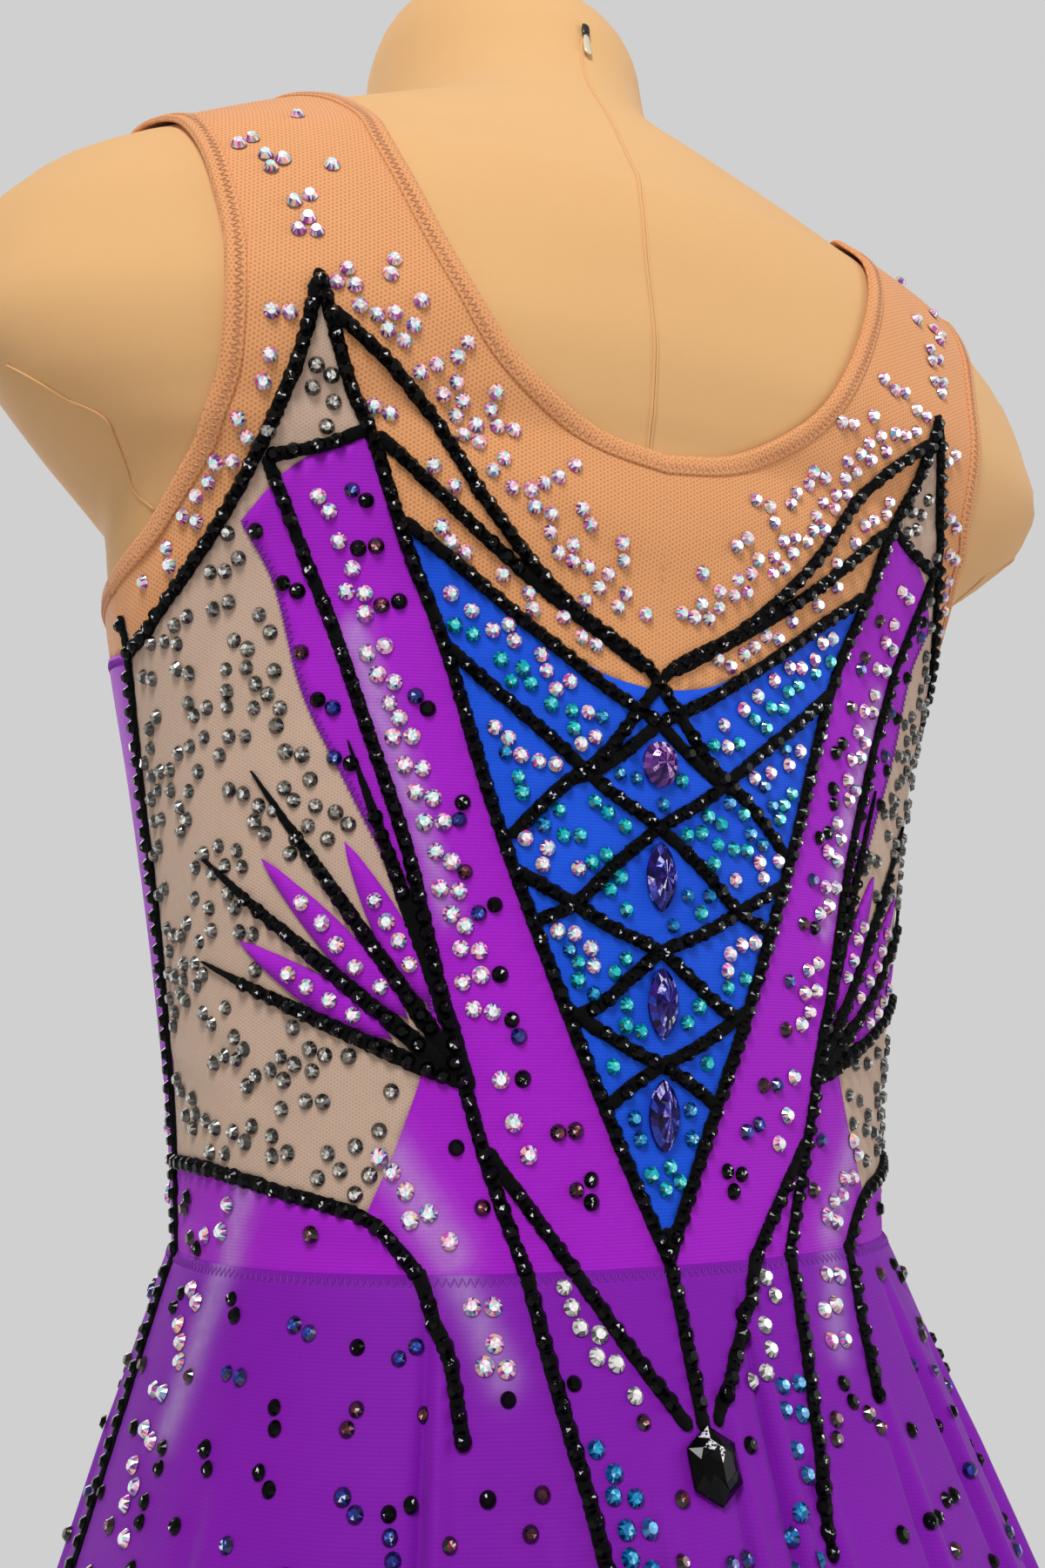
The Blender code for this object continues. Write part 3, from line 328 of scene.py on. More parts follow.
@dataclass
class SkirtSurface(Surface):
    """Inner face of the skirt, which spreads from its seam and falls in soft folds."""

    skin: FormSkin
    top: float = 303.0
    hem: float = 102.0
    seam_out: float = 2.6
    seam_dip: float = 0.55
    seam_dip_fall: float = 3.5
    flare_side: float = 0.325
    flare_swing: float = 0.045
    flare_back: float = 0.40
    flare_front: float = 0.345
    flare_growth: float = 0.12
    folds: tuple[Fold, ...] = (
        Fold(14, 12, 10), Fold(57, 12, 13), Fold(101, 12, 13), Fold(178, 13, 14),
        Fold(219, 12, 13), Fold(260, 12, 13), Fold(300, 12, 13), Fold(338, 12, 11),
    )
    crimps: tuple[Crimp, ...] = (
        Crimp(28, 1.3, 1.6, 262), Crimp(52.5, 0.9, 2.1, 304), Crimp(66, 1.2, 1.7, 256),
        Crimp(80, 1.0, 1.4, 270), Crimp(94, 1.0, 1.5, 284), Crimp(103, 0.9, 2.4, 302),
        Crimp(109, 0.9, 1.6, 268), Crimp(124, 0.9, 1.9, 280), Crimp(138, 0.9, 2.4, 300),
        Crimp(149, 1.0, 2.0, 284),
        Crimp(166, 1.2, 1.7, 268), Crimp(197, 1.3, 1.7, 280), Crimp(232, 1.2, 1.6, 292),
        Crimp(247, 1.4, 1.5, 266), Crimp(283, 1.2, 1.4, 284), Crimp(316, 1.3, 1.5, 275),
        Crimp(352, 1.2, 1.4, 290),
    )

    def angle(self, points: Array) -> Array:
        """Direction in plan, from the girth at the skirt's seam."""
        seam = np.column_stack([points[:, 0], np.full(len(points), self.top)])
        return self.skin.angle(seam)

    def flare(self, angle: Array) -> Array:
        """How far the skirt spreads for each unit of drop."""
        back = np.clip(np.sin(angle), 0, 1) ** 2
        front = np.clip(-np.sin(angle), 0, 1) ** 2
        side = self.flare_side - self.flare_swing * np.cos(angle)
        return side * (1 - back - front) + self.flare_back * back + self.flare_front * front

    def fold_depth(self, angle: Array) -> Array:
        """Depth at the hem of the soft folds in one direction."""
        total = 0 * angle
        for fold in self.folds:
            turn = (np.degrees(angle) - fold.angle_deg + 180) % 360 - 180
            total = total + fold.depth * np.exp(-(turn / fold.half_width_deg) ** 2)
        return total

    def crimp_depth(self, angle: Array, height: Array) -> Array:
        """Depth of the narrow pleats, each with a small ridge beside its trough."""
        total = 0 * angle + 0 * height
        for crimp in self.crimps:
            turn = (np.degrees(angle) - crimp.angle_deg + 180) % 360 - 180
            fall = np.clip((crimp.top - height) / 36.0, 0, 1)
            lean = turn / crimp.half_width_deg + 0.8 * np.sin(height / 47.0 + crimp.angle_deg)
            total = total + crimp.depth * fall * lean * np.exp(0.5 - 0.5 * lean ** 2)
        return total

    def at(self, angle: Array, height: Array) -> Array:
        """Points of the skirt's inner face."""
        drop = self.top - height
        share = drop / (self.top - self.hem)
        top = np.full_like(height + 0 * angle, self.top)
        rim = self.skin.ring(angle, top)
        along = self.skin.ring(angle + self.turn, top) - self.skin.ring(angle - self.turn, top)
        outward = unit(np.stack([along[..., 1], -along[..., 0], 0 * along[..., 0]], axis=-1))
        spread = self.seam_out + self.flare(angle) * drop * (1 + self.flare_growth * share)
        spread = spread - self.seam_dip * np.exp(-np.clip(drop, 0, None) / self.seam_dip_fall)
        spread = spread - self.fold_depth(angle) * np.clip(share, 0, 2) ** 1.3
        spread = spread + self.crimp_depth(angle, height)
        point = rim + outward * spread[..., None]
        point[..., 2] = height
        return point


# Lines and outlines in pattern coordinates

def smooth_line(points: Line | Array, step: float) -> Array:
    """Evenly spaced points of a smooth line through a few given ones.

    Args:
        points: Across and height of the given points.
        step: Distance between the points made.

    Returns:
        The points of the line.
    """
    points = np.array([tuple(point) for point in points], float)
    legs = np.diff(points, axis=0)
    run = np.concatenate([[0], np.linalg.norm(legs, axis=1).cumsum()])
    count = max(2, int(round(run[-1] / step)) + 1)
    at = np.linspace(0, run[-1], count)
    if len(points) == 2:
        return np.column_stack([np.interp(at, run, points[:, k]) for k in (0, 1)])
    return np.column_stack([monotone(run, points[:, k], at) for k in (0, 1)])


def mirrored(points: Array) -> Array:
    """The same line on the wearer's right."""
    return np.asarray(points, float) * (-1, 1)


def beside(line: Array, distance: float) -> Array:
    """The line moved sideways, to the left of its direction where distance is positive."""
    run = unit(np.gradient(line, axis=0))
    return line + np.column_stack([-run[:, 1], run[:, 0]]) * distance


def joined(*lines: Array) -> Array:
    """One outline from lines that follow each other end to end."""
    least = 0.3
    points = [lines[0][0]]
    for line in lines:
        for point in line:
            if np.linalg.norm(point - points[-1]) > least:
                points.append(point)
    if np.linalg.norm(points[0] - points[-1]) <= least:
        points.pop()
    return np.array(points)


def flat_area(outline: Array) -> float:
    """Area inside an outline, positive when it runs anticlockwise."""
    x, y = outline.T
    return float(np.sum(x * np.roll(y, -1) - np.roll(x, -1) * y)) / 2


def drawn_in(outline: Array, gap: float) -> Array:
    """The outline moved inwards by a gap, with blunt corners."""
    before = unit(outline - np.roll(outline, 1, axis=0))
    after = unit(np.roll(outline, -1, axis=0) - outline)
    sign = math.copysign(1, flat_area(outline))
    normal_a = sign * np.column_stack([-before[:, 1], before[:, 0]])
    normal_b = sign * np.column_stack([-after[:, 1], after[:, 0]])
    stretch = np.maximum(1 + np.sum(normal_a * normal_b, axis=1), 0.35)
    return outline + gap * (normal_a + normal_b) / stretch[:, None]


def inside(points: Array, outline: Array) -> Array:
    """Which points lie inside the outline."""
    x, y = points.T
    x0, y0 = outline.T
    x1, y1 = np.roll(outline, -1, axis=0).T
    crosses = (y0[None] > y[:, None]) != (y1[None] > y[:, None])
    rise = np.where(y1 == y0, 1, y1 - y0)
    at = x0[None] + (y[:, None] - y0[None]) * ((x1 - x0) / rise)[None]
    return (crosses & (x[:, None] < at)).sum(axis=1) % 2 == 1


def distance_to(points: Array, line: Array, closed: bool = True) -> Array:
    """Distance from each point to a line or an outline."""
    ends = np.roll(line, -1, axis=0) if closed else line[1:]
    starts = line if closed else line[:-1]
    run = (ends - starts)[None]
    offset = points[:, None] - starts[None]
    t = np.clip(np.sum(offset * run, axis=-1) / np.maximum(np.sum(run * run, axis=-1), 1e-9), 0, 1)
    return np.linalg.norm(offset - t[..., None] * run, axis=-1).min(axis=1)


# Meshes

class MeshParts:
    """Gathers many small shapes into one mesh, with a number for each face if wanted."""

    def __init__(self) -> None:
        """Start empty."""
        self.points: list[Array] = []
        self.faces: list[tuple[int, ...]] = []
        self.tones: list[float] = []
        self.patterns: list[Array] = []
        self.count = 0

    def add(self, points: Array, faces: Array, tones: Array | None = None,
            pattern: Array | None = None) -> None:
        """Add a shape.

        Args:
            points: Its points, in millimetres.
            faces: Index rows, all of one length.
            tones: A number for each face.
            pattern: Pattern coordinates of each point.
        """
        self.points.append(points)
        self.faces.extend(map(tuple, (np.asarray(faces) + self.count).tolist()))
        if tones is not None:
            self.tones.extend(tones.tolist())
        if pattern is not None:
            self.patterns.append(pattern)
        self.count += len(points)

    def loft(self, rings: Array, closed: bool = False, pattern: Array | None = None) -> None:
        """Add a closed body through rings of equal length.

        Args:
            rings: Points by ring and place in the ring.
            closed: Whether the last ring joins the first; otherwise both ends are capped.
            pattern: Pattern coordinates of each ring.
        """
        n, m = rings.shape[:2]
        index = np.arange(n * m).reshape(n, m)
        upper = np.roll(index, -1, axis=0) if closed else index[1:]
        lower = index if closed else index[:-1]
        faces = np.stack([lower, np.roll(lower, -1, axis=1), np.roll(upper, -1, axis=1), upper],
                         axis=-1).reshape(-1, 4)
        start = self.count
        self.add(rings.reshape(-1, 3), faces,
                 pattern=None if pattern is None else np.repeat(pattern, m, axis=0))
        if not closed:
            self.faces.append(tuple(range(start + m - 1, start - 1, -1)))
            self.faces.append(tuple(range(start + (n - 1) * m, start + n * m)))

    def mesh(self, name: str) -> bpy.types.Mesh:
        """Make the mesh, in metres."""
        mesh = bpy.data.meshes.new(name)
        points = np.concatenate(self.points) * MM
        mesh.from_pydata(points.tolist(), [], self.faces)
        if self.tones:
            tone = mesh.attributes.new("facet", "FLOAT", "FACE")
            tone.data.foreach_set("value", np.array(self.tones, np.float32))
        if self.patterns:
            store_vectors(mesh, "pattern", np.concatenate(self.patterns))
        return mesh


def store_vectors(mesh: bpy.types.Mesh, name: str, values: Array) -> None:
    """Keep two or three numbers for each point of a mesh."""
    full = np.zeros((len(values), 3), np.float32)
    full[:, :values.shape[1]] = values
    mesh.attributes.new(name, "FLOAT_VECTOR", "POINT").data.foreach_set("vector", full.ravel())


def store_numbers(mesh: bpy.types.Mesh, name: str, values: Array) -> None:
    """Keep one number for each point of a mesh."""
    made = mesh.attributes.new(name, "FLOAT", "POINT")
    made.data.foreach_set("value", np.asarray(values, np.float32))


def tube_rings(points: Array, normals: Array, radius: float, sides: int = 5) -> Array:
    """Rings of a thin round tube along a line.

    Args:
        points: The line.
        normals: Outward normals of what it lies on.
        radius: Half of its thickness.
        sides: Points in each ring.

    Returns:
        The rings' points.
    """
    tangent = unit(np.gradient(points, axis=0))
    side = unit(np.cross(normals, tangent))
    up = np.cross(tangent, side)
    turn = np.arange(sides) * 2 * math.pi / sides
    return (points[:, None] + radius * (np.cos(turn)[None, :, None] * side[:, None]
                                        + np.sin(turn)[None, :, None] * up[:, None]))


def make_piece(name: str, mesh: bpy.types.Mesh, material: bpy.types.Material,
               replaces: tuple[str, ...] = ()) -> bpy.types.Object:
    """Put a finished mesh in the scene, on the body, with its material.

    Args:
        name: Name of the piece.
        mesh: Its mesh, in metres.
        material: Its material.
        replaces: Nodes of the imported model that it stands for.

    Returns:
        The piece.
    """
    piece = bpy.data.objects.new(name, mesh)
    mesh.materials.append(material)
    bpy.context.scene.collection.objects.link(piece)
    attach(piece, BODY_NAME)
    if replaces:
        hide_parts(*replaces)
    log.info("%s: %d faces", name, len(mesh.polygons))
    return piece


# Shader nodes

class Graph:
    """Short way to place and join shader nodes in one tree."""

    def __init__(self, tree: bpy.types.NodeTree) -> None:
        """Work in this tree."""
        self.tree = tree

    def node(self, kind: str, inputs: dict[str | int, Any] | None = None,
             **settings: Any) -> bpy.types.Node:
        """Place a node.

        Args:
            kind: Its type, without the leading ShaderNode.
            inputs: What goes into its sockets: values, or sockets to link.
            settings: Its own properties.

        Returns:
            The node.
        """
        made = self.tree.nodes.new("ShaderNode" + kind)
        for key, value in settings.items():
            setattr(made, key, value)
        self.feed(made, inputs or {})
        return made

    def feed(self, node: bpy.types.Node, inputs: dict[str | int, Any]) -> None:
        """Fill some of a node's sockets.

        Args:
            node: The node.
            inputs: What goes into its sockets: values, or sockets to link.
        """
        for key, value in inputs.items():
            if isinstance(value, bpy.types.NodeSocket):
                self.tree.links.new(value, node.inputs[key])
            else:
                node.inputs[key].default_value = value

    def math(self, operation: str, *values: Socket | float) -> Socket:
        """One step of arithmetic."""
        return self.node("Math", dict(enumerate(values)), operation=operation).outputs[0]

    def ramp(self, factor: Socket, stops: tuple[tuple[float, Colour], ...],
             interpolation: str = "LINEAR") -> Socket:
        """Colour ramp.

        Args:
            factor: What drives it.
            stops: Place and colour of each stop.
            interpolation: How it blends between them.

        Returns:
            Its colour.
        """
        made = self.node("ValToRGB", {"Fac": factor})
        band = made.color_ramp
        band.interpolation = interpolation
        while len(band.elements) < len(stops):
            band.elements.new(0.5)
        for element, (place, colour) in zip(band.elements, stops):
            element.position = place
            element.color = (*colour, 1.0)
        return made.outputs["Color"]

    def mix(self, factor: Socket, low: Socket | Colour, high: Socket | Colour) -> Socket:
        """Blend of two colours."""
        made = self.node("Mix", {"Factor": factor}, data_type="RGBA")
        for index, value in ((6, low), (7, high)):
            linked = isinstance(value, bpy.types.NodeSocket)
            self.feed(made, {index: value if linked else (*value, 1.0)})
        return made.outputs[2]

    def attribute(self, name: str, output: str) -> Socket:
        """What a mesh keeps under a name."""
        return self.node("Attribute", attribute_name=name).outputs[output]


@dataclass(frozen=True)
class GroupSocket:
    """Named socket of a node group."""

    name: str
    kind: str = "NodeSocketFloat"
    value: float | None = None


def new_group(name: str, inputs: tuple[GroupSocket, ...],
              outputs: tuple[GroupSocket, ...]) -> tuple[bpy.types.NodeTree, Graph, Any, Any]:
    """Start a node group with named sockets.

    Args:
        name: Name of the group.
        inputs: Its inputs.
        outputs: Its outputs.

    Returns:
        The group, its graph, its input node and its output node.
    """
    tree = bpy.data.node_groups.new(name, "ShaderNodeTree")
    for socket in inputs:
        made = tree.interface.new_socket(socket.name, in_out="INPUT", socket_type=socket.kind)
        if socket.value is not None:
            made.default_value = socket.value
    for socket in outputs:
        tree.interface.new_socket(socket.name, in_out="OUTPUT", socket_type=socket.kind)
    graph = Graph(tree)
    return tree, graph, graph.tree.nodes.new("NodeGroupInput"), graph.tree.nodes.new("NodeGroupOutput")


class Effects:
    """Node groups that several finishes share, each built once."""

    def __init__(self) -> None:
        """Build the groups."""
        self.mottle = self._mottle()
        self.knit = self._knit()
        self.net = self._net()
        self.facets = self._facets()

    @staticmethod
    def _mottle() -> bpy.types.NodeTree:
        """Slow uneven change of shade over a surface."""
        tree, graph, given, result = new_group(
            "uneven shade", (GroupSocket("Scale", value=30.0), GroupSocket("Amount", value=0.2)),
            (GroupSocket("Shade"),))
        place = graph.node("TexCoord").outputs["Object"]
        noise = graph.node("TexNoise", {"Vector": place, "Scale": given.outputs["Scale"],
                                        "Detail": 4.0, "Roughness": 0.6})
        centred = graph.math("SUBTRACT", noise.outputs["Fac"], 0.5)
        swing = graph.math("MULTIPLY", centred, given.outputs["Amount"])
        tree.links.new(graph.math("ADD", swing, 0.5), result.inputs["Shade"])
        return tree

    @staticmethod
    def _knit() -> bpy.types.NodeTree:
        """Fine rows of knitted loops: their height, and from it a painted shade that darkens the troughs
        between them.
        """
        tree, graph, given, result = new_group(
            "fine knit", (GroupSocket("Vector", "NodeSocketVector"), GroupSocket("Loops", value=1.6)),
            (GroupSocket("Height"), GroupSocket("Shade")))
        parts = graph.node("SeparateXYZ", {"Vector": given.outputs["Vector"]})
        turns = graph.math("MULTIPLY", given.outputs["Loops"], 2 * math.pi)
        across = graph.math("MULTIPLY", parts.outputs["X"], turns)
        upright = graph.math("MULTIPLY", parts.outputs["Y"], turns)
        wale = graph.math("SINE", across)
        lean = graph.math("MULTIPLY", graph.math("ABSOLUTE", wale), 1.8)
        course = graph.math("SINE", graph.math("ADD", graph.math("MULTIPLY", upright, 0.8), lean))
        both = graph.math("ADD", graph.math("ABSOLUTE", wale), graph.math("MULTIPLY", course, 0.5))
        noise = graph.node("TexNoise", {"Vector": given.outputs["Vector"], "Scale": 0.9,
                                        "Detail": 3.0})
        rough = graph.math("MULTIPLY", noise.outputs["Fac"], 0.9)
        height = graph.math("ADD", both, rough)
        tree.links.new(height, result.inputs["Height"])
        tree.links.new(graph.math("MULTIPLY", height, 0.5), result.inputs["Shade"])
        return tree

    @staticmethod
    def _net() -> bpy.types.NodeTree:
        """Round pinholes of a power net in staggered rows."""
        tree, graph, given, result = new_group(
            "power net", (GroupSocket("Vector", "NodeSocketVector"), GroupSocket("Pitch", value=1.0)),
            (GroupSocket("Hole"), GroupSocket("Height")))
        parts = graph.node("SeparateXYZ", {"Vector": given.outputs["Vector"]})
        turns = graph.math("DIVIDE", 2 * math.pi, given.outputs["Pitch"])
        x = graph.math("MULTIPLY", parts.outputs["X"], turns)
        y = graph.math("MULTIPLY", parts.outputs["Y"], turns)
        total: Socket | None = None
        for angle_deg in (0, 60, 120):
            turn = math.radians(angle_deg)
            wave = graph.math("COSINE", graph.math("ADD", graph.math("MULTIPLY", x, math.cos(turn)),
                                                   graph.math("MULTIPLY", y, math.sin(turn))))
            total = wave if total is None else graph.math("ADD", total, wave)
        hole = graph.node("MapRange", {"Value": total, "From Min": 0.2, "From Max": 1.6},
                          interpolation_type="SMOOTHSTEP")
        tree.links.new(hole.outputs["Result"], result.inputs["Hole"])
        tree.links.new(graph.math("SUBTRACT", 1.0, hole.outputs["Result"]), result.inputs["Height"])
        return tree

    @staticmethod
    def _facets() -> bpy.types.NodeTree:
        """Tone of each facet of a cut stone, with a little change inside the facet."""
        tree, graph, given, result = new_group(
            "cut facets", (GroupSocket("Spread", value=0.15),), (GroupSocket("Tone"),))
        tone = graph.attribute("facet", "Fac")
        place = graph.node("TexCoord").outputs["Object"]
        noise = graph.node("TexVoronoi", {"Vector": place, "Scale": 1400.0})
        centred = graph.math("SUBTRACT", noise.outputs["Distance"], 0.4)
        swing = graph.math("MULTIPLY", centred, given.outputs["Spread"])
        total = graph.node("Clamp", {"Value": graph.math("ADD", tone, swing)})
        tree.links.new(total.outputs[0], result.inputs["Tone"])
        return tree


class Finish(ABC):
    """Look of one material."""

    name: str

    def start(self) -> tuple[bpy.types.Material, Graph, bpy.types.Node]:
        """Make the material and its shader."""
        material = bpy.data.materials.new(self.name)
        material.use_nodes = True
        graph = Graph(material.node_tree)
        return material, graph, material.node_tree.nodes["Principled BSDF"]

    def group(self, graph: Graph, tree: bpy.types.NodeTree,
              inputs: dict[str, Any]) -> bpy.types.Node:
        """Place a shared effect with this material's values."""
        return graph.node("Group", inputs, node_tree=tree)

    def bump(self, graph: Graph, shader: bpy.types.Node, height: Socket, strength: float,
             distance: float) -> None:
        """Feed a height into the shader's normal."""
        made = graph.node("Bump", {"Height": height, "Strength": strength, "Distance": distance})
        graph.feed(shader, {"Normal": made.outputs["Normal"]})

    @abstractmethod
    def build(self, effects: Effects) -> bpy.types.Material:
        """Make the material."""


@dataclass(frozen=True)
class KnitFinish(Finish):
    """Fine stretch knit, which may fade to white where the mesh says so."""

    name: str
    colour: Colour
    # Colour of the knit's troughs, a painted shade, and of the dark end of its uneven tone.
    deep: Colour
    faded: Colour
    loops: float = 1.5
    relief: float = 0.00006
    roughness: float = 0.62
    sheen: float = 0.06
    gloss: float = 0.16
    faded_share: float = 1.0

    def build(self, effects: Effects) -> bpy.types.Material:
        """Make the material."""
        material, graph, shader = self.start()
        pattern = graph.attribute("pattern", "Vector")
        knit = self.group(graph, effects.knit, {"Vector": pattern, "Loops": self.loops})
        shade = self.group(graph, effects.mottle, {"Scale": 22.0, "Amount": 0.7})
        # Painted shade: the troughs of the knit mix towards the deep colour; the slow uneven tone added to
        # it is the cloth's own.
        loops = graph.math("MULTIPLY", knit.outputs["Shade"], 0.45)
        slow = graph.math("MULTIPLY", shade.outputs["Shade"], 0.7)
        tone = graph.node("Clamp", {"Value": graph.math("ADD", loops, slow)}).outputs[0]
        base = graph.mix(tone, self.deep, self.colour)
        patchy = self.group(graph, effects.mottle, {"Scale": 260.0, "Amount": 1.0})
        fade = graph.math("MULTIPLY", graph.attribute("fade", "Fac"),
                          graph.math("ADD", patchy.outputs["Shade"], 0.5))
        mask = graph.node("Clamp", {"Value": graph.math("MULTIPLY", fade, self.faded_share)})
        graph.feed(shader, {
            "Base Color": graph.mix(mask.outputs[0], base, self.faded),
            "Roughness": self.roughness, "Sheen Weight": self.sheen, "Sheen Roughness": 0.5,
            "Specular IOR Level": self.gloss,
        })
        self.bump(graph, shader, knit.outputs["Height"], 0.6, self.relief)
        return material


@dataclass(frozen=True)
class NetFinish(Finish):
    """Power net over skin-coloured cloth, with pinholes."""

    name: str
    colour: Colour
    hole: Colour
    pitch: float = 1.05
    hole_share: float = 0.7
    relief: float = 0.00010

    def build(self, effects: Effects) -> bpy.types.Material:
        """Make the material."""
        material, graph, shader = self.start()
        pattern = graph.attribute("pattern", "Vector")
        net = self.group(graph, effects.net, {"Vector": pattern, "Pitch": self.pitch})
        shade = self.group(graph, effects.mottle, {"Scale": 16.0, "Amount": 0.5})
        fine = self.group(graph, effects.mottle, {"Scale": 700.0, "Amount": 0.8})
        tone = graph.math("ADD", graph.math("MULTIPLY", shade.outputs["Shade"], 0.8),
                          graph.math("MULTIPLY", fine.outputs["Shade"], 0.5))
        value = graph.node("MapRange", {"Value": tone, "From Min": 0.35, "From Max": 0.95,
                                        "To Min": 0.88, "To Max": 1.08})
        base = graph.node("HueSaturation", {"Color": (*self.colour, 1.0),
                                            "Value": value.outputs["Result"]})
        # The pinholes show the cloth beneath, darkened as painted shade in the holes.
        mask = graph.math("MULTIPLY", net.outputs["Hole"], self.hole_share)
        graph.feed(shader, {
            "Base Color": graph.mix(mask, base.outputs["Color"], self.hole),
            "Roughness": 0.78, "Sheen Weight": 0.15, "Specular IOR Level": 0.25,
        })
        self.bump(graph, shader, net.outputs["Height"], 0.7, self.relief)
        return material


@dataclass(frozen=True)
class CoverFinish(Finish):
    """Close jersey that covers the form."""

    name: str
    colour: Colour
    deep: Colour

    def build(self, effects: Effects) -> bpy.types.Material:
        """Make the material."""
        material, graph, shader = self.start()
        knit = self.group(graph, effects.knit,
                          {"Vector": graph.attribute("pattern", "Vector"), "Loops": 1.2})
        slow = self.group(graph, effects.mottle, {"Scale": 9.0, "Amount": 0.9})
        fine = self.group(graph, effects.mottle, {"Scale": 420.0, "Amount": 0.6})
        tone = graph.math("ADD", graph.math("MULTIPLY", slow.outputs["Shade"], 0.9),
                          graph.math("MULTIPLY", fine.outputs["Shade"], 0.6))
        # A little painted shade in the knit's troughs, on top of the cover's uneven tone.
        loops = graph.math("ADD", tone, graph.math("MULTIPLY", knit.outputs["Shade"], 0.12))
        mask = graph.node("Clamp", {"Value": loops}).outputs[0]
        graph.feed(shader, {
            "Base Color": graph.mix(mask, self.deep, self.colour),
            "Roughness": 0.8, "Sheen Weight": 0.12, "Specular IOR Level": 0.25,
        })
        self.bump(graph, shader, knit.outputs["Height"], 0.35, 0.00004)
        return material


@dataclass(frozen=True)
class VelvetFinish(Finish):
    """Short uneven pile of the black tape."""

    name: str
    colour: Colour
    lit: Colour

    def build(self, effects: Effects) -> bpy.types.Material:
        """Make the material."""
        material, graph, shader = self.start()
        pile = self.group(graph, effects.mottle, {"Scale": 2600.0, "Amount": 1.6})
        tuft = self.group(graph, effects.mottle, {"Scale": 700.0, "Amount": 1.2})
        both = graph.math("ADD", graph.math("MULTIPLY", pile.outputs["Shade"], 0.5),
                          graph.math("MULTIPLY", tuft.outputs["Shade"], 0.5))
        graph.feed(shader, {
            "Base Color": graph.mix(both, self.colour, self.lit),
            "Roughness": 0.95, "Sheen Weight": 0.03, "Specular IOR Level": 0.06,
        })
        self.bump(graph, shader, both, 1.0, 0.0006)
        return material


@dataclass(frozen=True)
class ThreadFinish(Finish):
    """Twisted sewing thread."""

    name: str
    colour: Colour
    deep: Colour

    def build(self, effects: Effects) -> bpy.types.Material:
        """Make the material."""
        material, graph, shader = self.start()
        fine = self.group(graph, effects.mottle, {"Scale": 1800.0, "Amount": 1.6})
        graph.feed(shader, {
            "Base Color": graph.mix(fine.outputs["Shade"], self.deep, self.colour),
            "Roughness": 0.6, "Sheen Weight": 0.2,
        })
        self.bump(graph, shader, fine.outputs["Shade"], 0.5, 0.0001)
        return material


@dataclass(frozen=True)
class StoneFinish(Finish):
    """Foil-backed cut glass, whose facets each take a colour from a ramp: the glass's own colour, with
    painted glints, highlights, shade and reflections.
    """

    name: str
    tones: tuple[tuple[float, Colour], ...]
    metallic: float = 0.15
    roughness: float = 0.08
    spread: float = 0.16
    coat: float = 0.8
    # Strength of a painted glow: emission of the facet colours.
    glow: float = 0.0
    gloss: float = 0.5

    def build(self, effects: Effects) -> bpy.types.Material:
        """Make the material."""
        material, graph, shader = self.start()
        facets = self.group(graph, effects.facets, {"Spread": self.spread})
        colour = graph.ramp(facets.outputs["Tone"], self.tones)
        graph.feed(shader, {
            "Base Color": colour, "Metallic": self.metallic, "Roughness": self.roughness,
            "IOR": 1.6, "Specular IOR Level": self.gloss, "Coat Weight": self.coat,
            "Coat Roughness": 0.03,
        })
        # Painted glow: these stones emit their facet colours, though they are no lamp.
        if self.glow > 0:
            graph.feed(shader, {"Emission Color": colour, "Emission Strength": self.glow})
        return material


@dataclass(frozen=True)
class MetalFinish(Finish):
    """Cast metal of the small zip pull, with a fine uneven tone."""

    name: str
    colour: Colour
    deep: Colour
    metallic: float

    def build(self, effects: Effects) -> bpy.types.Material:
        """Make the material."""
        material, graph, shader = self.start()
        fine = self.group(graph, effects.mottle, {"Scale": 900.0, "Amount": 1.5})
        graph.feed(shader, {
            "Base Color": graph.mix(fine.outputs["Shade"], self.deep, self.colour),
            "Metallic": self.metallic, "Roughness": 0.35,
        })
        return material


class StoneColour(Enum):
    """Colours of the small stones."""

    AURORA = "aurora"
    CRYSTAL = "crystal"
    TURQUOISE = "turquoise"
    CAPRI = "capri"
    JET = "jet"
    GARNET = "garnet"
    SAPPHIRE = "sapphire"
    SMOKE = "smoke"
    HELIO = "helio"
    VIOLET = "violet"
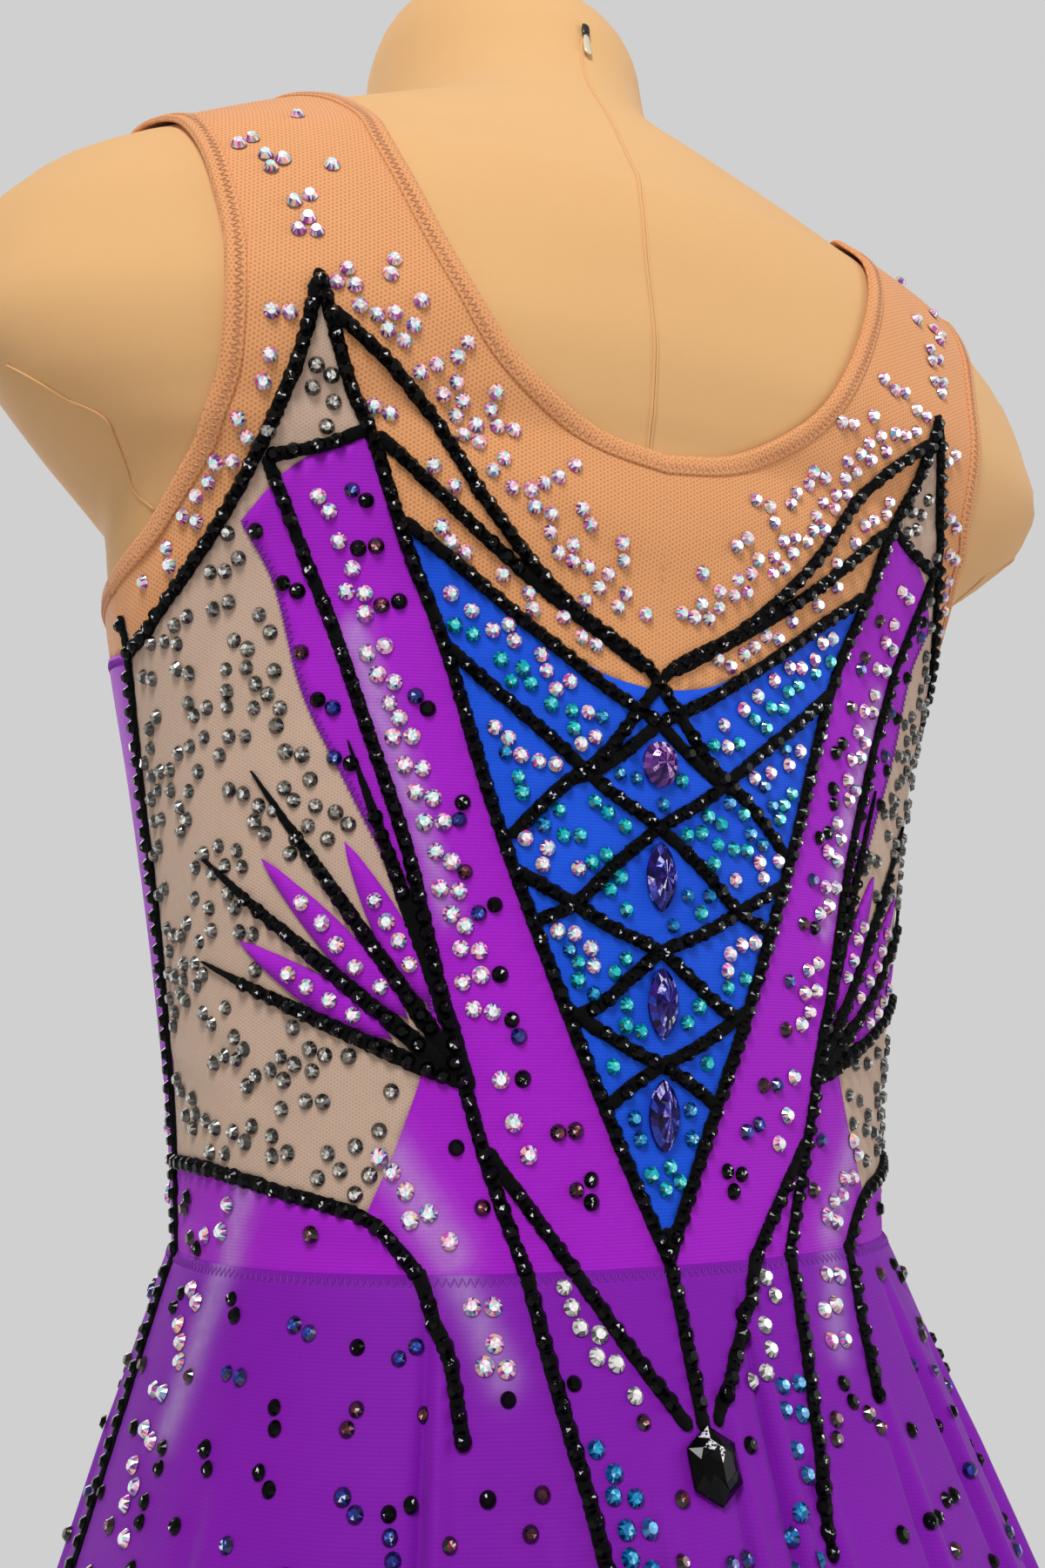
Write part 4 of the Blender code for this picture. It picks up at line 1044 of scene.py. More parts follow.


# Facet colours of each kind of stone, by tone. Besides the glass's own colour they paint the light that cut
# glass throws back: the pale and white top stops are painted glints and highlights (on jet the only lit
# facets), the dark low stops of the clear and coloured glass are painted shade, and the aurora's rainbow
# stops are painted reflections of its coating.
STONE_COLOURS_AND_GLINTS: dict[StoneColour, tuple[tuple[float, Colour], ...]] = {
    StoneColour.AURORA: (
        (0.0, (0.02, 0.02, 0.05)), (0.10, (0.10, 0.05, 0.28)), (0.20, (0.75, 0.06, 0.42)),
        (0.30, (0.02, 0.40, 0.55)), (0.40, (0.90, 0.52, 0.16)), (0.50, (0.98, 0.42, 0.70)),
        (0.60, (0.97, 0.95, 0.96)), (0.71, (0.22, 0.80, 0.72)), (0.80, (1.0, 0.93, 0.96)),
        (1.0, (1.0, 1.0, 1.0))),
    StoneColour.CRYSTAL: (
        (0.0, (0.04, 0.04, 0.05)), (0.25, (0.22, 0.21, 0.20)), (0.5, (0.75, 0.73, 0.68)),
        (1.0, (1.0, 1.0, 0.98))),
    StoneColour.TURQUOISE: (
        (0.0, (0.0, 0.02, 0.04)), (0.25, (0.0, 0.14, 0.20)), (0.5, (0.0, 0.42, 0.48)),
        (0.8, (0.01, 0.68, 0.70)), (1.0, (0.45, 1.0, 0.98))),
    StoneColour.CAPRI: (
        (0.0, (0.0, 0.005, 0.04)), (0.3, (0.0, 0.05, 0.22)), (0.65, (0.0, 0.22, 0.52)),
        (0.9, (0.04, 0.50, 0.80)), (1.0, (0.5, 0.9, 1.0))),
    StoneColour.JET: (
        (0.0, (0.001, 0.001, 0.001)), (0.95, (0.002, 0.002, 0.002)), (0.97, (0.45, 0.45, 0.46)),
        (1.0, (0.85, 0.85, 0.86))),
    StoneColour.GARNET: (
        (0.0, (0.002, 0.0005, 0.001)), (0.5, (0.012, 0.001, 0.002)), (0.82, (0.10, 0.004, 0.012)),
        (0.93, (0.32, 0.03, 0.05)), (1.0, (0.95, 0.75, 0.75))),
    StoneColour.SAPPHIRE: (
        (0.0, (0.001, 0.001, 0.01)), (0.45, (0.002, 0.005, 0.08)), (0.78, (0.01, 0.03, 0.34)),
        (0.92, (0.05, 0.14, 0.70)), (1.0, (0.85, 0.92, 1.0))),
    StoneColour.SMOKE: (
        (0.0, (0.004, 0.004, 0.004)), (0.35, (0.035, 0.032, 0.026)), (0.6, (0.18, 0.165, 0.14)),
        (0.82, (0.50, 0.47, 0.42)), (1.0, (1.0, 0.98, 0.94))),
    StoneColour.HELIO: (
        (0.0, (0.002, 0.001, 0.012)), (0.45, (0.008, 0.004, 0.10)), (0.7, (0.045, 0.012, 0.24)),
        (0.82, (0.01, 0.06, 0.42)), (0.92, (0.20, 0.12, 0.60)), (1.0, (0.85, 0.85, 1.0))),
    StoneColour.VIOLET: (
        (0.0, (0.006, 0.002, 0.02)), (0.4, (0.04, 0.008, 0.12)), (0.7, (0.16, 0.04, 0.30)),
        (0.88, (0.42, 0.16, 0.48)), (1.0, (1.0, 0.85, 0.95))),
}
PAINTED_GLOW_STONES = (StoneColour.AURORA, StoneColour.CRYSTAL)
STONE_COATS = {StoneColour.JET: 0.0, StoneColour.HELIO: 0.2, StoneColour.VIOLET: 0.3}


# The pattern

@dataclass(frozen=True)
class Pattern:
    """Seam lines of the garment on the wearer's left, across and height in millimetres."""

    waist: float = 300.0
    skirt_top: float = 303.0
    gusset: float = 106.0
    leg_side: float = 205.0
    strap_inner: float = 650.0
    strap_outer: float = 626.0
    gusset_half_width: float = 36.0
    step: float = 3.0
    peak: tuple[float, float] = (98, 547)
    neckline_back: Line = ((0, 514), (17, 517), (32, 523.5), (48, 535), (61, 553), (71, 573),
                           (78, 591), (85, 618))
    armhole_back: Line = ((165, 485), (155, 486.5), (143, 490.5), (133, 499), (124, 510),
                          (119.5, 526), (120.5, 550), (125.5, 576), (134, 599))
    side_seam: Line = ((165, 485), (156, 473), (153, 462), (152, 428), (147, 380), (146, 334),
                       (147, 300))
    yoke_lower_edge: Line = ((98, 547), (99.5, 533), (104, 516), (112, 499), (121, 485),
                             (132, 473), (144, 464.5), (153, 462))
    peak_inner_edge: Line = ((98, 547), (92, 530), (86, 517), (81, 509))
    band_inner_top: Line = ((81, 509), (77, 499), (73, 488))
    blue_top_edge: Line = ((73, 488), (56, 477), (40, 465), (26, 456.5), (13, 451), (0, 449))
    blue_side_edge: Line = ((73, 488), (60, 459), (44, 411), (29, 372), (10, 327), (0, 305))
    band_top_edge: Line = ((81, 509), (100, 500), (112, 488))
    band_outer_edge: Line = ((112, 488), (103, 474), (93.7, 445), (80.6, 419.6), (66, 391),
                             (59.5, 374), (60, 355), (65, 336), (73.5, 315.6))
    waist_curve: Line = ((73.5, 315.6), (93.7, 321.2), (115, 325.5), (132, 327), (146, 327))
    neckline_front_x: Line = ((0, 556), (19, 559), (38, 570), (54, 590), (66, 613), (77, 634))
    armhole_front_x: Line = ((129, 488), (123, 496), (117, 512), (115, 535), (117, 560),
                             (122, 588), (129, 608))
    yoke_front_lower_x: Line = ((0, 470), (28, 482), (60, 497), (88, 497), (112, 482))
    leg_back: Line = ((152, 178), (118, 148), (82, 122), (46, 108.5))
    leg_front: Line = ((156, 180), (112, 152), (72, 124), (44, 109))


class Draft:
    """Draws the outlines of the panels from the pattern's seam lines."""

    def __init__(self, pattern: Pattern, skin: FormSkin) -> None:
        """Draw on this skin."""
        self.pattern = pattern
        self.skin = skin

    def line(self, points: Line | Array) -> Array:
        """Smooth seam line at the pattern's own step."""
        return smooth_line(points, self.pattern.step)

    def _side_girth(self, heights: Array, from_front: bool) -> Array:
        """Girth from a centre line to the widest line of the side."""
        total, angles = self.skin.tables[from_front]
        falling = -1 if not from_front else 1
        share = np.array([np.interp(0.0, row * falling, self.skin.shares) for row in angles])
        return np.interp(heights, self.skin.girth_rows, share * total)

    def to_front(self, points: Array) -> Array:
        """The same places measured from the centre front."""
        return np.column_stack([self.skin.half_girth(points[:, 1]) - points[:, 0], points[:, 1]])

    def from_x(self, points: Line) -> Array:
        """Front pattern points from their x and height."""
        made = []
        sweep = np.linspace(-math.pi / 2, 0, self.skin.sweep_steps)
        for x, height in points:
            ring = self.skin.ring(sweep, np.full(len(sweep), float(height)))
            legs = np.linalg.norm(np.diff(ring, axis=0), axis=1)
            girth = np.concatenate([[0], legs.cumsum()])
            made.append((np.interp(x, ring[:, 0], girth), height))
        return np.array(made)

    def strap_line(self, from_front: bool = False) -> Array:
        """Shoulder seam on top of the form, neck side first."""
        heights = np.linspace(self.pattern.strap_inner, self.pattern.strap_outer, 14)
        return np.column_stack([self._side_girth(heights, from_front), heights])

    def neck_back(self) -> Array:
        """Back neckline of the left half, centre first."""
        return self.line(self.pattern.neckline_back + (tuple(self.strap_line()[0]),))

    def arm_back(self) -> Array:
        """Back armhole, underarm first."""
        return self.line(self.pattern.armhole_back + (tuple(self.strap_line()[-1]),))

    def neck_front(self) -> Array:
        """Front neckline of the left half, centre first."""
        given = [tuple(p) for p in self.from_x(self.pattern.neckline_front_x)]
        return self.line(given + [tuple(self.strap_line(True)[0])])

    def arm_front(self) -> Array:
        """Front armhole, underarm first."""
        underarm = self.to_front(np.array([self.pattern.side_seam[0]], float))
        given = [tuple(p) for p in self.from_x(self.pattern.armhole_front_x)]
        return self.line([tuple(underarm[0])] + given + [tuple(self.strap_line(True)[-1])])

    def front_yoke_edge(self) -> Array:
        """Lower edge of the front yoke, centre first."""
        side = self.to_front(np.array([self.pattern.side_seam[2]], float))
        given = [tuple(p) for p in self.from_x(self.pattern.yoke_front_lower_x)]
        return self.line(given + [tuple(side[0])])

    @staticmethod
    def both_sides(half: Array) -> Array:
        """A whole outline from its left half, which starts and ends at the centre."""
        return joined(half, mirrored(half)[::-1])

    def yoke_back(self) -> Array:
        """Outline of the back yoke."""
        p = self.pattern
        return self.both_sides(joined(
            self.neck_back(), self.strap_line(), self.arm_back()[::-1],
            self.line(p.side_seam[:3]), self.line(p.yoke_lower_edge)[::-1],
            self.line(p.peak_inner_edge), self.line(p.band_inner_top), self.line(p.blue_top_edge)))

    def yoke_front(self) -> Array:
        """Outline of the front yoke."""
        side = self.to_front(self.line(self.pattern.side_seam[:3]))
        return self.both_sides(joined(self.neck_front(), self.strap_line(True),
                                      self.arm_front()[::-1], side,
                                      self.front_yoke_edge()[::-1]))

    def blue(self) -> Array:
        """Outline of the blue panel."""
        p = self.pattern
        return self.both_sides(joined(self.line(p.blue_top_edge)[::-1],
                                      self.line(p.blue_side_edge)))

    def band(self) -> Array:
        """Outline of the purple band, which widens to the side seam above the skirt."""
        p = self.pattern
        return joined(self.line(p.band_inner_top)[::-1], self.line(p.band_top_edge),
                      self.line(p.band_outer_edge), self.line(p.waist_curve),
                      self.line((p.waist_curve[-1], p.side_seam[-1])),
                      self.line((p.side_seam[-1], (0, p.waist))),
                      self.line(((0, p.waist), p.blue_side_edge[-1])),
                      self.line(p.blue_side_edge)[::-1])

    def side(self) -> Array:
        """Outline of the pale side panel with its sliver up to the peak."""
        p = self.pattern
        return joined(self.line(p.yoke_lower_edge), self.line(p.side_seam[2:-1] + (p.waist_curve[-1],)),
                      self.line(p.waist_curve)[::-1], self.line(p.band_outer_edge)[::-1],
                      self.line(p.band_top_edge)[::-1], self.line(p.peak_inner_edge)[::-1])

    def front(self) -> Array:
        """Outline of the front panel, from the yoke down to the waist."""
        seam = self.to_front(self.line(self.pattern.side_seam[2:]))
        hem = self.line((tuple(seam[-1]), (0, self.pattern.waist)))
        return self.both_sides(joined(self.front_yoke_edge(), seam, hem))

    def briefs(self, from_front: bool) -> Array:
        """Outline of one side of the briefs, from the waist to the gusset."""
        p = self.pattern
        heights = np.linspace(p.waist, p.leg_side, 32)
        seam = np.column_stack([self._side_girth(heights, from_front), heights])
        leg = p.leg_front if from_front else p.leg_back
        corner = (p.gusset_half_width, p.gusset)
        return self.both_sides(joined(self.line(((0, p.waist), tuple(seam[0]))), seam,
                                      self.line((tuple(seam[-1]),) + leg + (corner,)),
                                      self.line((corner, (0, p.gusset)))))


@dataclass(frozen=True)
class Crease:
    """Soft trough in worn cloth: middle, half length, half width, lean and depth."""

    across: float
    height: float
    half_length: float
    half_width: float
    lean_deg: float
    depth: float


@dataclass(frozen=True)
class Fade:
    """Airbrushed paling beside a line."""

    line: Line
    half_width: float
    strength: float = 1.0


def crease_offsets(points: Array, creases: tuple[Crease, ...]) -> Array:
    """How far creases move each pattern point out of the smooth cloth."""
    total = np.zeros(len(points))
    for crease in creases:
        turn = math.radians(crease.lean_deg)
        offset = points - (crease.across, crease.height)
        along = offset[:, 0] * math.cos(turn) + offset[:, 1] * math.sin(turn)
        aside = -offset[:, 0] * math.sin(turn) + offset[:, 1] * math.cos(turn)
        aside = aside / crease.half_width
        total += (crease.depth * aside * np.exp(0.5 - 0.5 * aside ** 2)
                  * np.exp(-(along / crease.half_length) ** 2))
    return total


def fade_values(points: Array, fades: tuple[Fade, ...]) -> Array:
    """How pale each pattern point is, from 0 to 1, the same on both sides."""
    total = np.zeros(len(points))
    for fade in fades:
        for line in (np.array(fade.line, float), mirrored(np.array(fade.line, float))):
            away = distance_to(points, smooth_line(line, 4.0), closed=False)
            total = np.maximum(total, fade.strength * np.exp(-(away / fade.half_width) ** 2))
    return total


class ClothCutter:
    """Lays cloth from flat outlines and states the size that each piece was cut to."""

    grid = 3.4
    upright_step = 0.87
    clear = 0.45
    merge = 0.02
    thickness = 0.8
    lap = 0.6
    stretch_across = 1.08
    stretch_upright = 1.03

    def __init__(self, skin: FormSkin) -> None:
        """Cut cloth for this form."""
        self.skin = skin

    def _rows(self, low: float, high: float) -> list[float]:
        """Heights of grid rows, closer where the form's side slopes."""
        rows = []
        height = low
        while height < high:
            near = self.skin.column(0, np.array([height - 1.0, height + 1.0]))
            slope = (near[1] - near[0]) / 2
            height += self.grid * self.upright_step / math.sqrt(1 + slope ** 2)
            rows.append(height)
        return rows[:-1]

    def _grid_points(self, outline: Array) -> Array:
        """Staggered grid of points inside an outline, clear of its edge."""
        low = outline.min(axis=0)
        high = outline.max(axis=0)
        made = []
        for k, row in enumerate(self._rows(low[1], high[1])):
            columns = np.arange(low[0] + (k % 2) * self.grid / 2, high[0], self.grid)
            made.append(np.column_stack([columns, np.full(len(columns), row)]))
        points = np.concatenate(made)
        points = points[inside(points, outline)]
        return points[distance_to(points, outline) > self.clear * self.grid]

    def flat_mesh(self, outline: Array) -> tuple[Array, Array]:
        """Flat triangles that fill an outline.

        Args:
            outline: Across and height of its corners.

        Returns:
            The points and the triangles.
        """
        points = np.concatenate([outline, self._grid_points(outline)])
        result = delaunay_2d_cdt([Vector(p) for p in points.tolist()], [],
                                 [list(range(len(outline)))], 0, self.merge)
        flat = np.array([tuple(v) for v in result[0]])
        faces = np.array([tuple(f) for f in result[2]])
        keep = inside(flat[faces].mean(axis=1), outline)
        used, faces = np.unique(faces[keep], return_inverse=True)
        return flat[used], faces.reshape(-1, 3)

    def lay(self, name: str, outline: Array, surface: Surface, out: float,
            creases: tuple[Crease, ...] = (), fades: tuple[Fade, ...] = (), turn: int = 1,
            ) -> tuple[bpy.types.Mesh, float]:
        """Make the worn mesh of one piece.

        Args:
            name: Name of the piece.
            outline: Its flat outline.
            surface: What it lies on.
            out: Distance of its inner face from the form.
            creases: Creases worn into it.
            fades: Where its colour pales.
            turn: -1 for a piece mirrored to the wearer's right.

        Returns:
            The mesh, and its area in square metres.
        """
        flat, faces = self.flat_mesh(drawn_in(outline, -self.lap))
        placed = flat * (turn, 1)
        points, normals = surface.place(placed, out + crease_offsets(placed, creases))
        corners = points[faces]
        cross = np.cross(corners[:, 1] - corners[:, 0], corners[:, 2] - corners[:, 0])
        if np.sum(cross * normals[faces[:, 0]]) < 0:
            faces = faces[:, ::-1]
        mesh = bpy.data.meshes.new(name)
        mesh.from_pydata((points * MM).tolist(), [], faces.tolist())
        mesh.shade_smooth()
        store_vectors(mesh, "pattern", placed)
        store_numbers(mesh, "fade", fade_values(placed, fades))
        return mesh, float(np.linalg.norm(cross, axis=1).sum()) / 2 * MM * MM

    def thicken(self, piece: bpy.types.Object) -> None:
        """Give a sheet its thickness outwards."""
        wall = piece.modifiers.new("wall", "SOLIDIFY")
        wall.thickness = self.thickness * MM
        wall.offset = 1.0
        wall.use_rim = True

    def cut_size(self, outline: Array, area: float) -> tuple[tuple[float, float], float]:
        """Flat size of a stretch piece before it was put on.

        Args:
            outline: Its outline as worn.
            area: Its area as worn, in square metres.

        Returns:
            Width and length of the cut, and its area, in metres.
        """
        width, length = (outline.max(axis=0) - outline.min(axis=0)) * MM
        return ((width / self.stretch_across, length / self.stretch_upright),
                area / (self.stretch_across * self.stretch_upright))


# Sub-assemblies

@dataclass
class DressForm:
    """Covered torso with shoulder caps and neck, on two short thigh ends."""

    columns: int = 128
    row_step: float = 5.5
    thigh_height: float = 128.0
    thigh_spread: float = 72.0
    thigh_top_radii: tuple[float, float] = (47.0, 61.0)
    thigh_end_radii: tuple[float, float] = (46.0, 57.0)
    thigh_centre_y: float = 6.0
    thigh_sides: int = 72
    thigh_rings: int = 12
    seam_radius: float = 0.45
    seam_gap: float = 0.9
    cap_radius: float = 0.4
    cap_seam: Line = ((181.4, 528.9), (163, 519.5), (149.9, 512.2), (149.1, 502.5),
                      (140.6, 494.7))
    back_seam: Line = ((-6.6, 699), (-4.5, 688), (-2.1, 660), (2.2, 620), (6.5, 588), (7.2, 573),
                       (5.6, 545), (4.2, 512), (3.4, 452))

    def heights(self) -> Array:
        """Heights of the rings, close where the form turns in."""
        made: list[float] = []
        for low, high in zip(BODY[:-1], BODY[1:]):
            rise = math.hypot(high.height - low.height, high.half_width - low.half_width)
            parts = max(1, round(rise / self.row_step))
            made.extend(np.linspace(low.height, high.height, parts, endpoint=False))
        return np.array(made + [BODY[-1].height])

    def torso(self, skin: FormSkin) -> bpy.types.Object:
        """Torso as a closed loft."""
        heights = self.heights()
        angles = np.arange(self.columns) * 2 * math.pi / self.columns
        rings = skin.ring(angles[None, :], heights[:, None])
        parts = MeshParts()
        girth = np.cumsum(np.linalg.norm(np.diff(rings, axis=1, append=rings[:, :1]), axis=-1), axis=1)
        flat = np.stack([girth, rings[..., 2]], axis=-1).reshape(-1, 2)
        parts.loft(rings)
        mesh = parts.mesh("form_cover")
        store_vectors(mesh, "pattern", flat)
        mesh.shade_smooth()
        return bpy.data.objects.new("form_cover", mesh)

    def thigh(self, side: int) -> bpy.types.Object:
        """One thigh end, a tapered oval from the standing surface into the torso."""
        share = np.linspace(0, 1, self.thigh_rings)[:, None]
        angles = (np.arange(self.thigh_sides) * 2 * math.pi / self.thigh_sides)[None, :]
        radii = [low + (high - low) * share
                 for low, high in zip(self.thigh_end_radii, self.thigh_top_radii)]
        rings = np.stack([side * self.thigh_spread + radii[0] * np.cos(angles),
                          self.thigh_centre_y + radii[1] * np.sin(angles),
                          share * self.thigh_height + 0 * angles], axis=-1)
        parts = MeshParts()
        parts.loft(rings)
        mesh = parts.mesh("thigh")
        flat = np.stack([rings[..., 0] + rings[..., 1], rings[..., 2]], axis=-1).reshape(-1, 2)
        store_vectors(mesh, "pattern", flat)
        return bpy.data.objects.new("thigh", mesh)

    def build(self, skin: FormSkin, surface: Surface, materials: dict[str, bpy.types.Material],
              ) -> None:
        """Make the covered form, its back seam and its zip pull.

        Args:
            skin: The form's skin.
            surface: The form as seen from the back.
            materials: Every material by name.
        """
        torso = self.torso(skin)
        bpy.context.scene.collection.objects.link(torso)
        helpers = []
        for side in (1, -1):
            thigh = self.thigh(side)
            bpy.context.scene.collection.objects.link(thigh)
            union = torso.modifiers.new("union", "BOOLEAN")
            union.operation = "UNION"
            union.object = thigh
            helpers.append(thigh)
        bpy.context.view_layer.update()
        graph = bpy.context.evaluated_depsgraph_get()
        mesh = bpy.data.meshes.new_from_object(torso.evaluated_get(graph))
        mesh.name = "form_cover"
        for item in [torso] + helpers:
            bpy.data.objects.remove(item, do_unlink=True)
        mesh.shade_smooth()
        mesh.set_sharp_from_angle(angle=math.radians(50))
        mesh.materials.clear()
        make_piece("form_cover", mesh, materials["cover"], ("form",))
        self.seam(surface, materials["cover"])
        self.zip_pull(surface, materials)

    def seam(self, surface: Surface, material: bpy.types.Material) -> None:
        """Closed zip seam down the centre back: two welts side by side."""
        line = smooth_line(self.back_seam, 2.0)
        cap = smooth_line(self.cap_seam, 1.5)
        parts = MeshParts()
        for path, radius in ((beside(line, self.seam_gap / 2), self.seam_radius),
                             (beside(line, -self.seam_gap / 2), self.seam_radius),
                             (cap, self.cap_radius), (mirrored(cap), self.cap_radius)):
            points, normals = surface.place(path, 0.05)
            parts.loft(tube_rings(points, normals, radius, 6),
                       pattern=np.column_stack([path * 2, 0 * path[:, :1]]))
        mesh = parts.mesh("form_seam")
        mesh.shade_smooth()
        make_piece("form_seam", mesh, material)

    def zip_pull(self, surface: Surface, materials: dict[str, bpy.types.Material]) -> None:
        """Dark slider and pale hanging tab at the top of the seam."""
        shapes = (
            ("slider", ((-7.9, 708), (-7.3, 701.5)), (1.3, 1.7, 1.5), 1.2),
            ("pull", ((-7.2, 702), (-6.5, 691)), (1.0, 1.5, 1.6), 1.5),
        )
        for name, ends, widths, lift in shapes:
            parts = MeshParts()
            line = smooth_line(ends, 1.0)
            share = np.linspace(0, 1, len(line))
            radius = np.interp(share, (0, 0.5, 1), widths) * np.sqrt(1 - (2 * share - 1) ** 8 + 0.02)
            points, normals = surface.place(line, lift)
            rings = tube_rings(points, normals, 1.0, 12) - points[:, None]
            flat = rings - 0.55 * np.sum(rings * normals[:, None], axis=-1, keepdims=True) * normals[:, None]
            parts.loft(points[:, None] + flat * radius[:, None, None])
            mesh = parts.mesh("form_zip_" + name)
            mesh.shade_smooth()
            make_piece("form_zip_" + name, mesh, materials[name])


@dataclass(frozen=True)
class Panel:
    """One cloth piece: its outline, its surface, its finish and its creases."""

    name: str
    outline: Array
    from_front: bool
    material: str
    slot: str
    out: float
    turn: int = 1
    fades: tuple[Fade, ...] = ()
    creases: tuple[Crease, ...] = ()


@dataclass
class Bodice:
    """Cloth pieces of the bodice and the briefs."""

    nude_out: float = 1.2
    pale_out: float = 1.3
    blue_out: float = 1.5
    purple_out: float = 1.7
    briefs_out: float = 1.9
    band_fades: tuple[Fade, ...] = (
        Fade(((82, 460), (73, 436), (65, 416)), 3.0, 0.42),
        Fade(((64, 412), (60, 400), (56, 388)), 2.6, 0.34),
        Fade(((72, 336), (63, 322), (54, 308)), 4.6, 0.36),
        Fade(((106, 324), (111, 310), (113, 300)), 3.8, 0.32),
    )
    side_creases: tuple[Crease, ...] = (
        Crease(118, 452, 22, 3.2, 118, 0.5), Crease(101, 408, 26, 3.0, 74, 0.45),
        Crease(128, 392, 20, 3.4, 96, 0.5), Crease(112, 356, 24, 2.8, 40, 0.45),
        Crease(135, 352, 14, 2.6, 20, 0.4),
    )
    yoke_creases: tuple[Crease, ...] = (
        Crease(138, 482, 12, 2.6, 150, 0.5), Crease(-138, 482, 12, 2.6, 30, 0.5),
        Crease(104, 580, 18, 4.0, 80, 0.35), Crease(-104, 578, 18, 4.0, 100, 0.35),
        Crease(22, 492, 26, 4.5, 18, 0.3), Crease(-26, 488, 22, 4.0, 160, 0.3),
    )
    band_creases: tuple[Crease, ...] = (
        Crease(84, 312, 22, 3.0, 8, 0.45), Crease(126, 312, 16, 2.6, 172, 0.45),
        Crease(42, 344, 14, 3.4, 60, 0.35),
    )

    def panels(self, draft: Draft) -> list[Panel]:
        """List of every piece above the skirt's hem."""
        made = [
            Panel("yoke_back", draft.yoke_back(), False, "nude", "nude_mesh", self.nude_out,
                  creases=self.yoke_creases),
            Panel("yoke_front", draft.yoke_front(), True, "nude", "nude_mesh", self.nude_out,
                  creases=self.yoke_creases[:4]),
            Panel("panel_blue", draft.blue(), False, "blue", "blue_stretch", self.blue_out),
            Panel("panel_front", draft.front(), True, "purple", "purple_stretch", self.purple_out,
                  fades=(Fade(((126, 430), (120, 400), (114, 370)), 4.5, 0.3),)),
        ]
        for side, turn in (("left", 1), ("right", -1)):
            made.append(Panel("band_" + side, draft.band(), False, "purple", "purple_stretch",
                              self.purple_out, turn, self.band_fades, self.band_creases))
            made.append(Panel("side_" + side, draft.side(), False, "pale", "pale_mesh",
                              self.pale_out, turn, creases=self.side_creases))
        for name, from_front in (("briefs_back", False), ("briefs_front", True)):
            made.append(Panel(name, draft.briefs(from_front), from_front, "purple",
                              "purple_stretch", self.briefs_out))
        return made

    def build(self, draft: Draft, cutter: ClothCutter, back: Surface, front: Surface,
              materials: dict[str, bpy.types.Material]) -> dict[str, bpy.types.Object]:
        """Make every panel.

        Args:
            draft: Draws the outlines.
            cutter: Lays the cloth.
            back: The form measured from the centre back.
            front: The form measured from the centre front.
            materials: Every material by name.

        Returns:
            The pieces by name, each with its cut width and length, and its area.
        """
        made = {}
        for panel in self.panels(draft):
            surface = front if panel.from_front else back
            mesh, area = cutter.lay(panel.name, panel.outline, surface, panel.out, panel.creases,
                                    panel.fades, panel.turn)
            piece = make_piece("cloth_" + panel.name, mesh, materials[panel.material],
                               (panel.name,))
            cutter.thicken(piece)
            made[panel.name] = (piece, *cutter.cut_size(panel.outline, area))
        return made


